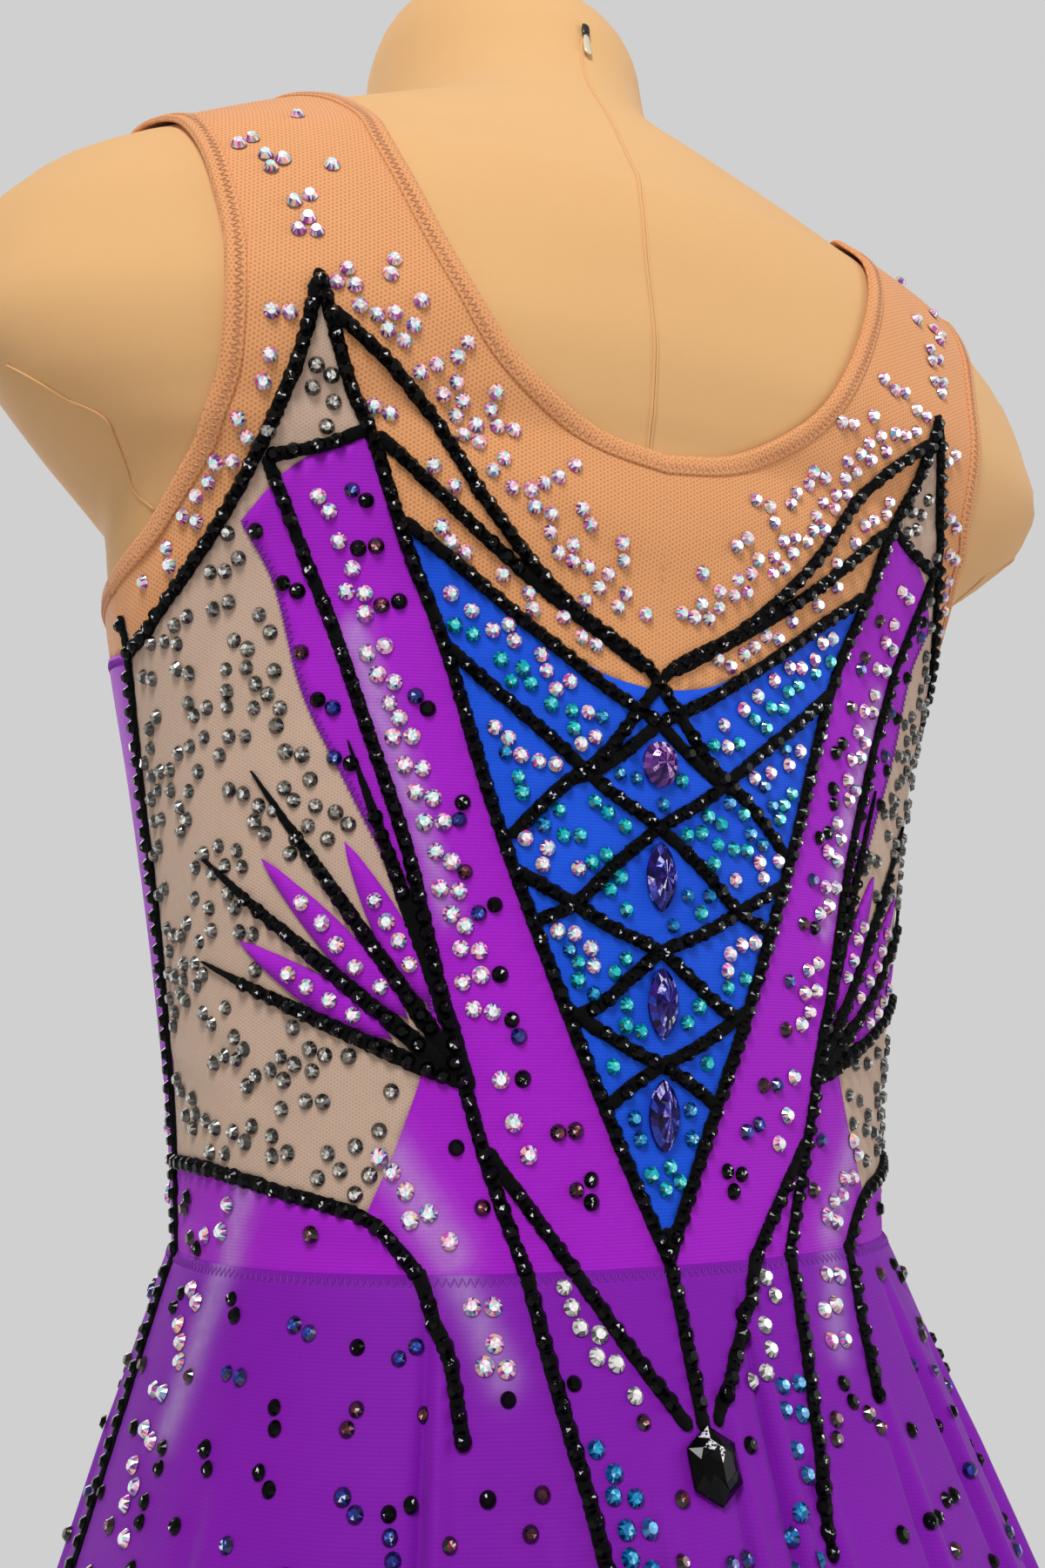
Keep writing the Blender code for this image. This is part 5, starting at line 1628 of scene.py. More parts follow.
@dataclass
class Gusset:
    """Strip that joins the briefs between the thighs."""

    top: float = 105.7
    half_width: float = 36.0
    margin: float = 6.0
    rows: int = 61
    columns: int = 17
    eye_height: float = 130.0
    out: float = 1.9

    def free_half_width(self, form: DressForm, y: float) -> float:
        """Half width where the strip passes between the thighs."""
        share = np.clip((y - form.thigh_centre_y) / form.thigh_top_radii[1], -1, 1)
        free = form.thigh_spread - form.thigh_top_radii[0] * math.sqrt(1 - share ** 2)
        return min(free - self.margin, self.half_width)

    @staticmethod
    def skin_y(skin: FormSkin, x: float, height: float, facing: int) -> float:
        """Depth of the skin at one x and height, behind (+1) or in front (-1)."""
        sweep = np.linspace(facing * math.pi / 2, 0 if x >= 0 else facing * math.pi, 181)
        ring = skin.ring(sweep, np.full(len(sweep), float(height)))
        order = np.argsort(ring[:, 0])
        return float(np.interp(x, ring[order, 0], ring[order, 1]))

    def below_skin(self, skin: FormSkin, x: Array, turn: Array) -> Array:
        """Points of the form's underside along rays, each in the plane of one x."""
        near = np.zeros(len(x))
        far = np.full(len(x), 140.0)
        for _ in range(28):
            reach = (near + far) / 2
            y = np.cos(turn) * reach
            height = np.sin(turn) * reach + self.eye_height
            ring = skin.ring(np.arctan2(y, x), np.maximum(height, BODY[0].height))
            outside = (height < BODY[0].height) | (np.hypot(x, y) > np.hypot(ring[:, 0], ring[:, 1]))
            far = np.where(outside, reach, far)
            near = np.where(outside, near, reach)
        return np.column_stack([x, np.cos(turn) * near, np.sin(turn) * near + self.eye_height])

    def build(self, skin: FormSkin, form: DressForm, cutter: ClothCutter,
              material: bpy.types.Material) -> tuple[bpy.types.Object, tuple[float, float], float]:
        """Make the strip.

        Args:
            skin: The form's skin.
            form: The dress form, for its thighs.
            cutter: Gives the cloth its thickness.
            material: Its material.

        Returns:
            The piece, its cut width and length, and its area.
        """
        shares = np.linspace(-1, 1, self.columns)
        grid = np.zeros((self.rows, self.columns, 3))
        for row, along in enumerate(np.linspace(0, 1, self.rows)):
            middle = self.below_skin(skin, np.zeros(1), self.ray(skin, np.zeros(1), along))[0]
            x = shares * self.free_half_width(form, middle[1])
            grid[row] = self.below_skin(skin, x, self.ray(skin, x, along))
        normal = unit(np.cross(np.gradient(grid, axis=1), np.gradient(grid, axis=0)))
        grid = grid + normal * self.out
        grid[(0, -1), :, 2] = np.minimum(grid[(0, -1), :, 2], self.top)
        index = np.arange(self.rows * self.columns).reshape(self.rows, self.columns)
        faces = np.stack([index[:-1, :-1], index[:-1, 1:], index[1:, 1:], index[1:, :-1]],
                         axis=-1).reshape(-1, 4)
        run = np.concatenate([[0], np.linalg.norm(np.diff(grid[:, self.columns // 2], axis=0),
                                                  axis=1).cumsum()])
        flat = np.stack([grid[..., 0], run[:, None] + 0 * grid[..., 0]], axis=-1)
        parts = MeshParts()
        parts.add(grid.reshape(-1, 3), faces, pattern=flat.reshape(-1, 2))
        mesh = parts.mesh("gusset")
        mesh.shade_smooth()
        piece = make_piece("cloth_gusset", mesh, material, ("gusset",))
        cutter.thicken(piece)
        area = sum(face.area for face in mesh.polygons)
        return piece, (2 * self.half_width * MM, float(run[-1]) * MM), area

    def ray(self, skin: FormSkin, x: Array, along: float) -> Array:
        """Ray directions to one row of the strip, back edge (0) to front edge (1)."""
        fall = self.top - self.eye_height
        back, front = (np.array([math.atan2(fall, self.skin_y(skin, value, self.top, facing))
                                 for value in x]) for facing in (1, -1))
        return back * (1 - along) + front * along


@dataclass
class SkirtCloth:
    """Back and front of the flared skirt."""

    columns: int = 400
    rows: int = 60
    side_gap: float = 0.15
    fades: tuple[Fade, ...] = (
        Fade(((114, 303), (116, 286), (119, 266)), 4.4, 0.30),
        Fade(((53, 304), (47, 292), (43, 282)), 3.6, 0.28),
    )

    def build(self, skirt: SkirtSurface, cutter: ClothCutter, material: bpy.types.Material,
              ) -> dict[str, tuple[bpy.types.Object, tuple[float, float], float]]:
        """Make both halves.

        Args:
            skirt: The skirt's inner face.
            cutter: Gives the cloth its thickness.
            material: Its material.

        Returns:
            Each piece with its cut width and length, and its area.
        """
        half = float(skirt.skin.half_girth(np.array([skirt.top]))[0])
        side = float(np.interp(0.0, -skirt.skin.angle(np.column_stack(
            [np.linspace(0, half, 400), np.full(400, skirt.top)])), np.linspace(0, half, 400)))
        made = {}
        for name, first, last in (("skirt_back", -side, side), ("skirt_front", side, 2 * half - side)):
            across = np.linspace(first + self.side_gap, last - self.side_gap, self.columns)
            wrapped = np.where(across > half, across - 2 * half, across)
            heights = np.linspace(skirt.top, skirt.hem, self.rows + 1)
            flat = np.stack([np.broadcast_to(wrapped, (len(heights), self.columns)),
                             np.broadcast_to(heights[:, None], (len(heights), self.columns))],
                            axis=-1).reshape(-1, 2)
            points = skirt.at(skirt.angle(flat), flat[:, 1])
            index = np.arange(len(flat)).reshape(len(heights), self.columns)
            faces = np.stack([index[1:, 1:], index[1:, :-1], index[:-1, :-1], index[:-1, 1:]],
                             axis=-1).reshape(-1, 4)
            parts = MeshParts()
            parts.add(points, faces, pattern=flat)
            mesh = parts.mesh(name)
            mesh.shade_smooth()
            store_numbers(mesh, "fade", fade_values(flat, self.fades))
            piece = make_piece("cloth_" + name, mesh, material, (name,))
            cutter.thicken(piece)
            rings = points.reshape(len(heights), self.columns, 3)
            area = sum(face.area for face in mesh.polygons)
            made[name] = (piece, self.sector(rings), area)
        return made

    @staticmethod
    def sector(rings: Array) -> tuple[float, float]:
        """Width and length of the flat sector that one half is cut as, in metres."""
        lengths = np.linalg.norm(np.diff(rings, axis=1), axis=-1).sum(axis=1) * MM
        slant = float(np.linalg.norm(np.diff(rings, axis=0), axis=-1).sum(axis=0).mean()) * MM
        turn = (lengths[-1] - lengths[0]) / slant
        inner = lengths[0] / turn
        outer = inner + slant
        return 2 * outer * math.sin(turn / 2), outer - inner * math.cos(turn / 2)


class StoneTray:
    """Small flat-backed stones, gathered by colour and set clear of each other."""

    table_points = 8
    girdle_points = 16
    clearance = 0.96

    def __init__(self, seed: int) -> None:
        """Start an empty tray.

        Args:
            seed: Start of the random draws.
        """
        self.rng = np.random.default_rng(seed)
        self.places = np.zeros((0, 3))
        self.sizes = np.zeros(0)
        self.by_colour: dict[StoneColour, list[tuple[Array, Array, float]]] = {
            colour: [] for colour in StoneColour}

    def set(self, place: Array, normal: Array, colour: StoneColour, size: float = 3.9,
            crowd: float | None = None) -> bool:
        """Glue one stone, unless it would sit on another.

        Args:
            place: Where its flat back is.
            normal: The way it faces.
            colour: Its colour.
            size: Its diameter.
            crowd: Share of the two radii's sum that it may come near to.

        Returns:
            Whether it was set.
        """
        room = self.clearance if crowd is None else crowd
        if len(self.places):
            apart = np.linalg.norm(self.places - place, axis=1)
            if np.any(apart < room * (self.sizes + size) / 2):
                return False
        self.places = np.vstack([self.places, place])
        self.sizes = np.append(self.sizes, size)
        self.by_colour[colour].append((place, normal, size))
        return True

    def template(self) -> tuple[Array, Array, Array]:
        """Points, faces and kinds of facet of one stone of radius and height one."""
        table_turn = np.arange(self.table_points) * 2 * math.pi / self.table_points
        girdle_turn = np.arange(self.girdle_points) * 2 * math.pi / self.girdle_points
        points = [(0.0, 0.0, 1.0)]
        points += [(0.56 * math.cos(a), 0.56 * math.sin(a), 1.0) for a in table_turn]
        points += [(math.cos(a), math.sin(a), 0.24) for a in girdle_turn]
        points.append((0.0, 0.0, 0.0))
        table = [1 + k for k in range(self.table_points)]
        girdle = [1 + self.table_points + k for k in range(self.girdle_points)]
        faces = []
        kinds = []
        for k in range(self.table_points):
            after = (k + 1) % self.table_points
            faces.append((0, table[k], table[after]))
            kinds.append(0)
            low = girdle[2 * k - 1]
            middle = girdle[2 * k]
            high = girdle[2 * k + 1]
            faces += [(table[k], low, middle), (table[k], middle, high),
                      (table[k], high, table[after])]
            kinds += [1, 1, 2]
        for k in range(self.girdle_points):
            faces.append((len(points) - 1, girdle[(k + 1) % self.girdle_points], girdle[k]))
            kinds.append(3)
        return np.array(points), np.array(faces), np.array(kinds)

    def build(self, height_share: float, materials: dict[str, bpy.types.Material],
              ) -> list[bpy.types.Object]:
        """Make one joined mesh for each colour.

        Args:
            height_share: Height of a stone as a share of its diameter.
            materials: Every material by name.

        Returns:
            The pieces.
        """
        shape, faces, kinds = self.template()
        pieces = []
        for colour, stones in self.by_colour.items():
            if not stones:
                continue
            places = np.array([stone[0] for stone in stones])
            normals = unit(np.array([stone[1] for stone in stones])
                           + self.rng.normal(0, 0.045, (len(stones), 3)))
            sizes = np.array([stone[2] for stone in stones])
            turns = self.rng.uniform(0, math.pi, len(stones))
            first = unit(np.cross(normals, np.array([0.3, 0.2, 1.0])))
            second = np.cross(normals, first)
            side = first * np.cos(turns)[:, None] + second * np.sin(turns)[:, None]
            up = np.cross(normals, side)
            scaled = shape[None] * (sizes[:, None] * (0.5, 0.5, height_share))[:, None]
            points = (places[:, None] + scaled[..., :1] * side[:, None]
                      + scaled[..., 1:2] * up[:, None] + scaled[..., 2:] * normals[:, None])
            offsets = np.arange(len(stones))[:, None, None] * len(shape)
            draws = self.rng.uniform(0, 1, (len(stones), len(faces)))
            # Tone range of each kind of facet: the table draws from the top of the ramp as a painted
            # highlight, the crown facets from lower down as painted shade at the rim, and the hidden back
            # stays dark.
            low = np.array([0.44, 0.0, 0.04, 0.0])[kinds]
            span = np.array([0.54, 0.52, 0.72, 0.1])[kinds]
            parts = MeshParts()
            parts.add(points.reshape(-1, 3), (faces[None] + offsets).reshape(-1, 3),
                      tones=(low + span * draws).ravel())
            mesh = parts.mesh("stones_" + colour.value)
            pieces.append(make_piece("stones_" + colour.value, mesh, materials[colour.value]))
        return pieces


@dataclass(frozen=True)
class Tape:
    """Velvet tape along a line; a mirrored one also runs on the wearer's right."""

    name: str
    mirrored: bool
    points: Line


@dataclass(frozen=True)
class Ray:
    """Straight strip over a side panel: where it starts, its direction and its length."""

    start: tuple[float, float]
    angle_deg: float
    length: float

    def points(self, reach: Array) -> Array:
        """Points along it at the given distances."""
        turn = math.radians(self.angle_deg)
        return np.array(self.start) + reach[:, None] * np.array([math.cos(turn), math.sin(turn)])


@dataclass
class Blades:
    """Purple leaf shapes sewn between the strips of each side panel."""

    rays: tuple[Ray, ...] = (
        Ray((49, 346), 31.5, 70), Ray((49, 346), 46.5, 78), Ray((49, 346), 61.5, 68),
    )
    near: float = 24.0
    half_width: float = 3.3
    out: float = 2.15
    steps: int = 13

    def outlines(self) -> list[Array]:
        """Outlines of the left side's leaves."""
        return [self.outline(ray) for ray in self.rays]

    def outline(self, ray: Ray) -> Array:
        """Outline of one leaf, pointed at both ends."""
        share = np.linspace(0, 1, self.steps)
        middle = ray.points(self.near + share * (ray.length - self.near))
        half = self.half_width * np.sin(math.pi * share ** 0.8)
        turn = math.radians(ray.angle_deg)
        side = np.array([-math.sin(turn), math.cos(turn)])
        return np.concatenate([middle - half[:, None] * side,
                               (middle + half[:, None] * side)[-2:0:-1]])

    def build(self, cutter: ClothCutter, surface: Surface, material: bpy.types.Material,
              ) -> dict[str, list[bpy.types.Object]]:
        """Make the leaves of both side panels, by the panel's name."""
        made: dict[str, list[bpy.types.Object]] = {}
        for side, turn in (("left", 1), ("right", -1)):
            made["side_" + side] = []
            for k, ray in enumerate(self.rays):
                name = f"blade_{side}_{k + 1}"
                mesh, _ = cutter.lay(name, self.outline(ray), surface, self.out, turn=turn)
                piece = make_piece(name, mesh, material)
                cutter.thicken(piece)
                made["side_" + side].append(piece)
        return made


@dataclass
class VelvetTapes:
    """Black tapes on the bodice and the skirt, each set with a row of jet stones."""

    width: float = 3.5
    height: float = 1.0
    out: float = 2.35
    skirt_out: float = 0.75
    step: float = 1.0
    stone_pitch: float = 4.55
    stone_size: float = 3.95
    fan_width: float = 3.9
    rays: tuple[Ray, ...] = (
        Ray((49, 346), 24, 80), Ray((49, 346), 39, 96), Ray((49, 346), 54, 98),
        Ray((49, 346), 69, 92),
    )
    bodice: tuple[Tape, ...] = (
        Tape("peak inside and blue side", True,
             ((98, 547), (90, 526), (81, 508), (73, 488), (60, 459), (44, 411), (29, 372),
              (10, 327), (0, 304))),
        Tape("peak outside", True,
             ((98, 545), (99.5, 533), (104, 516), (112, 499), (121, 485), (132, 473),
              (144, 464.5), (153.5, 462))),
        Tape("band top", True, ((82, 510), (94, 505), (107, 503))),
        Tape("band strip", True,
             ((107, 503), (98, 484), (89, 465), (77, 434), (66, 403), (59, 376),
              (53, 354), (46, 330), (36.5, 302.5))),
        Tape("upper double line", True,
             ((94, 538), (71, 520), (50, 493), (25, 469), (3, 455), (-5, 445), (-19, 428),
              (-26, 423), (-41, 408))),
        Tape("lower double line", True, ((80, 509), (53, 487), (28, 469.5), (4, 455))),
        Tape("blue top", True,
             ((72, 488), (55, 476.5), (41, 466), (27, 456.5), (14, 448), (0, 440.5),
              (-9, 433), (-19, 426), (-27, 423))),
        Tape("first lattice line", True,
             ((59, 457), (46, 446), (33, 436), (14, 421), (0, 412.5), (-12, 403),
              (-25, 391), (-36, 386))),
        Tape("second lattice line", True,
             ((40, 400), (27, 393), (12, 385), (0, 380), (-8, 374), (-18, 366), (-25, 363))),
        Tape("third lattice line", True,
             ((27, 366), (17, 360), (7, 354.5), (0, 351.5), (-7, 347.5), (-16, 341))),
        Tape("waist curve", True,
             ((145, 327), (132, 327), (115, 325.5), (93.7, 321.2), (73.5, 315.6),
              (61, 302.5))),
        Tape("second V", True, ((46, 332), (35, 317), (24.5, 302.5))),
        Tape("centre", False, ((0, 312), (0, 302.5))),
        Tape("side", True, ((156, 473), (153, 462), (152, 428), (147, 380), (146, 334),
                            (147, 302.5))),
    )
    skirt: tuple[Tape, ...] = (
        Tape("centre", False, ((0, 304.5), (0, 268.5))),
        Tape("second V", True, ((26, 304.5), (13, 284), (3.5, 269.5))),
        Tape("band strip", True, ((37, 304.5), (32, 280), (27, 255), (25, 240))),
        Tape("waist curve", True, ((62, 304.5), (54, 284), (51, 268))),
        Tape("side", True, ((147, 304.5), (147, 260), (147, 215), (147, 160))),
    )

    def strip(self, parts: MeshParts, surface: Surface, line: Array, widths: Array, out: float,
              rng: np.random.Generator) -> None:
        """Add one ragged domed strip.

        Args:
            parts: Gathers the strips.
            surface: What it lies on.
            line: Its middle line.
            widths: Its width at each point.
            out: How far its underside is from the surface.
            rng: Random draws of the pile.
        """
        points, normals = surface.place(line, out)
        tangent = unit(np.gradient(points, axis=0))
        side = np.cross(normals, tangent)
        across = np.array([-1.0, -0.92, -0.55, 0.0, 0.55, 0.92, 1.0])
        rise = np.array([0.0, 0.55, 0.92, 1.0, 0.92, 0.55, 0.0])
        ragged = 1 + rng.normal(0, 0.09, (len(line), 7)) * (np.abs(across) > 0.5)
        tufted = rise * (1 + rng.normal(0, 0.12, (len(line), 7)))
        ends = np.minimum(1, np.minimum(np.arange(len(line)), np.arange(len(line))[::-1]) / 2 + 0.45)
        half = (widths / 2 * ends)[:, None] * across * ragged
        rings = (points[:, None] + half[..., None] * side[:, None]
                 + (tufted * self.height)[..., None] * normals[:, None])
        parts.loft(rings)

    def jets(self, tray: StoneTray, surface: Surface, line: Array, out: float,
             width_at: Array) -> None:
        """Set a row of jet stones along a strip.

        Args:
            tray: Takes the stones.
            surface: What the strip lies on.
            line: The strip's middle line.
            out: How far the stones' backs are from the surface.
            width_at: Width of the strip at each point of the line.
        """
        places, normals = surface.place(line, out)
        legs = np.linalg.norm(np.diff(places, axis=0), axis=1)
        run = np.concatenate([[0], legs.cumsum()])
        count = max(1, int((run[-1] - 2) / self.stone_pitch))
        for at in (np.arange(count) + 0.5) * run[-1] / count:
            k = min(int(np.searchsorted(run, at)), len(line) - 1)
            if width_at[k] < 2.4:
                continue
            size = self.stone_size * tray.rng.uniform(0.94, 1.06)
            tray.set(places[k], normals[k], StoneColour.JET, size, 0.98)

    def lines(self, tapes: tuple[Tape, ...]) -> list[Array]:
        """Fine middle lines of tapes on both sides."""
        made = []
        for tape in tapes:
            line = smooth_line(tape.points, self.step)
            made.append(line)
            if tape.mirrored:
                made.append(mirrored(line))
        return made

    def fan(self) -> list[tuple[Array, Array]]:
        """Tapered strips that spread from one hub over each side panel, with their widths."""
        made = []
        for ray in self.rays:
            share = np.linspace(0, 1, int(ray.length / self.step) + 1)
            line = ray.points(share * ray.length)
            widths = self.fan_width * np.minimum(1, 0.35 + 4 * share) * (1 - share ** 3) + 0.5
            made += [(line, widths), (mirrored(line), widths)]
        return made

    def build(self, back: Surface, skirt: Surface, tray: StoneTray,
              material: bpy.types.Material) -> list[bpy.types.Object]:
        """Make the tapes of the bodice and of the skirt.

        Args:
            back: The form measured from the centre back.
            skirt: The skirt's inner face.
            tray: Takes the jet stones.
            material: The velvet.

        Returns:
            The two pieces.
        """
        rng = np.random.default_rng(11)
        bodice = MeshParts()
        for line in self.lines(self.bodice):
            widths = np.full(len(line), self.width)
            self.strip(bodice, back, line, widths, self.out, rng)
            self.jets(tray, back, line, self.out + 0.75 * self.height, widths)
        for line, widths in self.fan():
            self.strip(bodice, back, line, widths, self.out + 0.1, rng)
            self.jets(tray, back, line, self.out + 0.75 * self.height, widths)
        below = MeshParts()
        for line in self.lines(self.skirt):
            widths = np.full(len(line), self.width)
            self.strip(below, skirt, line, widths, self.skirt_out, rng)
            self.jets(tray, skirt, line, self.skirt_out + 0.75 * self.height, widths)
        pieces = []
        for name, parts, nodes in (
                ("tape_on_bodice", bodice, ("tape_bodice",)),
                ("tape_on_skirt", below, tuple(f"tape_skirt_{k}" for k in range(1, 10)))):
            mesh = parts.mesh(name)
            mesh.shade_smooth()
            pieces.append(make_piece(name, mesh, material, nodes))
        return pieces


@dataclass
class Hems:
    """Folded edges of the net at the neck and the armholes."""

    width: float = 5.0
    rise: float = 0.5
    out: float = 2.1

    def edge(self, back: Surface, front: Surface, back_line: Array, front_line: Array,
             ) -> tuple[Array, Array]:
        """Closed loop on the cloth from a back line and a front line."""
        back_points, back_normals = back.place(back_line, self.out)
        front_points, front_normals = front.place(front_line, self.out)
        return (np.concatenate([back_points, front_points]),
                np.concatenate([back_normals, front_normals]))

    def loops(self, draft: Draft, back: Surface, front: Surface,
              ) -> dict[str, tuple[Array, Array, int]]:
        """Every edge loop by its node's name, with the side that the cloth is on."""
        neck = joined(mirrored(draft.neck_back())[::-1], draft.neck_back())
        neck_front = draft.neck_front()[:-1]
        made = {"hem_neck": (*self.edge(back, front, neck,
                                        joined(neck_front[::-1], mirrored(neck_front))), 1)}
        arm_back = draft.arm_back()
        arm_front = draft.arm_front()[1:-1][::-1]
        for name, turn, inward in (("hem_armhole_left", 1, -1), ("hem_armhole_right", -1, 1)):
            loop = self.edge(back, front, arm_back * (turn, 1), arm_front * (turn, 1))
            made[name] = (*loop, inward)
        return made

    def ribbon(self, points: Array, side: Array, normals: Array, parts: MeshParts,
               surface: BackSurface) -> None:
        """Add one flat band with soft edges beside an edge loop.

        Args:
            points: The edge loop.
            side: The way from the edge on to the cloth.
            normals: Outward normals along the loop.
            parts: Gathers the band.
            surface: The form, which the band follows.
        """
        share = np.array([0.0, 0.02, 0.12, 0.5, 0.88, 1.0, 1.0, 0.0])
        rise = np.array([-0.5, 0.7, 1.0, 0.86, 0.95, 0.55, -0.4, -0.6])
        run = np.concatenate([[0], np.linalg.norm(np.diff(points, axis=0), axis=1).cumsum()])
        ripple = 1 + 0.10 * np.sin(run * 1.9) + 0.06 * np.sin(run * 0.7)
        rings = np.zeros((len(points), len(share), 3))
        for k in range(len(share)):
            seated, facing = surface.seat(points + share[k] * self.width * side, normals, self.out)
            rings[:, k] = seated + rise[k] * self.rise * ripple[:, None] * facing
        flat = np.stack([run[:, None] + 0 * share[None], share[None] * self.width + 0 * run[:, None]],
                        axis=-1)
        parts.loft(rings, closed=True)
        parts.patterns.append(flat.reshape(-1, 2))

    def build(self, draft: Draft, back: Surface, front: Surface, material: bpy.types.Material,
              ) -> tuple[list[bpy.types.Object], list[tuple[Array, Array]]]:
        """Make the folded edges.

        Args:
            draft: Draws the edges.
            back: The form measured from the centre back.
            front: The form measured from the centre front.
            material: The net.

        Returns:
            The pieces, and the stitch lines on them with their normals.
        """
        pieces = []
        stitch_lines = []
        for name, (points, normals, inward) in self.loops(draft, back, front).items():
            tangent = unit(np.roll(points, -1, axis=0) - np.roll(points, 1, axis=0))
            side = unit(np.cross(normals, tangent)) * inward
            parts = MeshParts()
            self.ribbon(points, side, normals, parts, back)
            mesh = parts.mesh(name)
            mesh.shade_smooth()
            pieces.append(make_piece("net_" + name, mesh, material, (name,)))
            middle, facing = back.seat(points + side * self.width * 0.62, normals,
                                       self.out + self.rise)
            stitch_lines.append((np.concatenate([middle, middle[:1]]),
                                 np.concatenate([facing, facing[:1]])))
        return pieces, stitch_lines


@dataclass
class Stitching:
    """Zigzag machine stitches along seams and hems, made as real thread."""

    radius: float = 0.13
    pitch: float = 1.9
    width: float = 2.2
    dash: float = 1.7
    dash_pitch: float = 3.0

    def zigzag(self, points: Array, normals: Array, parts: MeshParts) -> None:
        """Add one zigzag along a line in space.

        Args:
            points: The line.
            normals: Outward normals along it.
            parts: Gathers the thread.
        """
        legs = np.linalg.norm(np.diff(points, axis=0), axis=1)
        run = np.concatenate([[0], legs.cumsum()])
        count = max(2, int(run[-1] / (self.pitch / 2)))
        at = np.linspace(0, run[-1], 2 * count + 1)
        place = np.column_stack([np.interp(at, run, points[:, k]) for k in range(3)])
        normal = unit(np.column_stack([np.interp(at, run, normals[:, k]) for k in range(3)]))
        side = unit(np.cross(normal, unit(np.gradient(place, axis=0))))
        swing = np.array([0.0, 1.0, 0.0, -1.0])[np.arange(len(at)) % 4] * self.width / 2
        lift = np.where(np.arange(len(at)) % 2 == 0, 0.16, -0.02)
        line = place + side * swing[:, None] + normal * lift[:, None]
        parts.loft(tube_rings(line, normal, self.radius, 4))

    def dashes(self, low: float, high: float, surface: Surface, out: float,
               parts: MeshParts) -> None:
        """Add a row of straight stitches up the centre.

        Args:
            low: Height of its lower end.
            high: Height of its upper end.
            surface: What it is sewn on.
            out: How far it is from the surface.
            parts: Gathers the thread.
        """
        for height in np.arange(low, high - self.dash, self.dash_pitch):
            share = np.linspace(0, 1, 4)
            line = np.column_stack([0 * share, height + share * self.dash])
            points, normals = surface.place(line, out - 0.2 * np.abs(2 * share - 1))
            parts.loft(tube_rings(points, normals, self.radius, 5))

    def build(self, name: str, lines: list[tuple[Array, Array]], material: bpy.types.Material,
              slot: str, parts: MeshParts | None = None) -> bpy.types.Object:
        """Make one piece of thread from lines in space.

        Args:
            name: Name of the piece.
            lines: Each line with its normals.
            material: The thread.
            slot: Not used.
            parts: Thread made before, which goes into the same piece.

        Returns:
            The piece.
        """
        parts = parts or MeshParts()
        for points, normals in lines:
            self.zigzag(points, normals, parts)
        mesh = parts.mesh(name)
        return make_piece(name, mesh, material)


@dataclass(frozen=True)
class Run:
    """Stones glued along a line: colours, distance between stops, stones at a stop, stray."""

    line: Line
    colours: tuple[StoneColour, ...]
    pitch: float
    group: int = 2
    stray: float = 2.0
    aside: float = 0.0
    size: float = 4.2


DARKS = (StoneColour.JET, StoneColour.GARNET, StoneColour.JET, StoneColour.SAPPHIRE)
AURORA = (StoneColour.AURORA,)
TURQUOISE = (StoneColour.TURQUOISE,)
SMOKE = (StoneColour.SMOKE,)


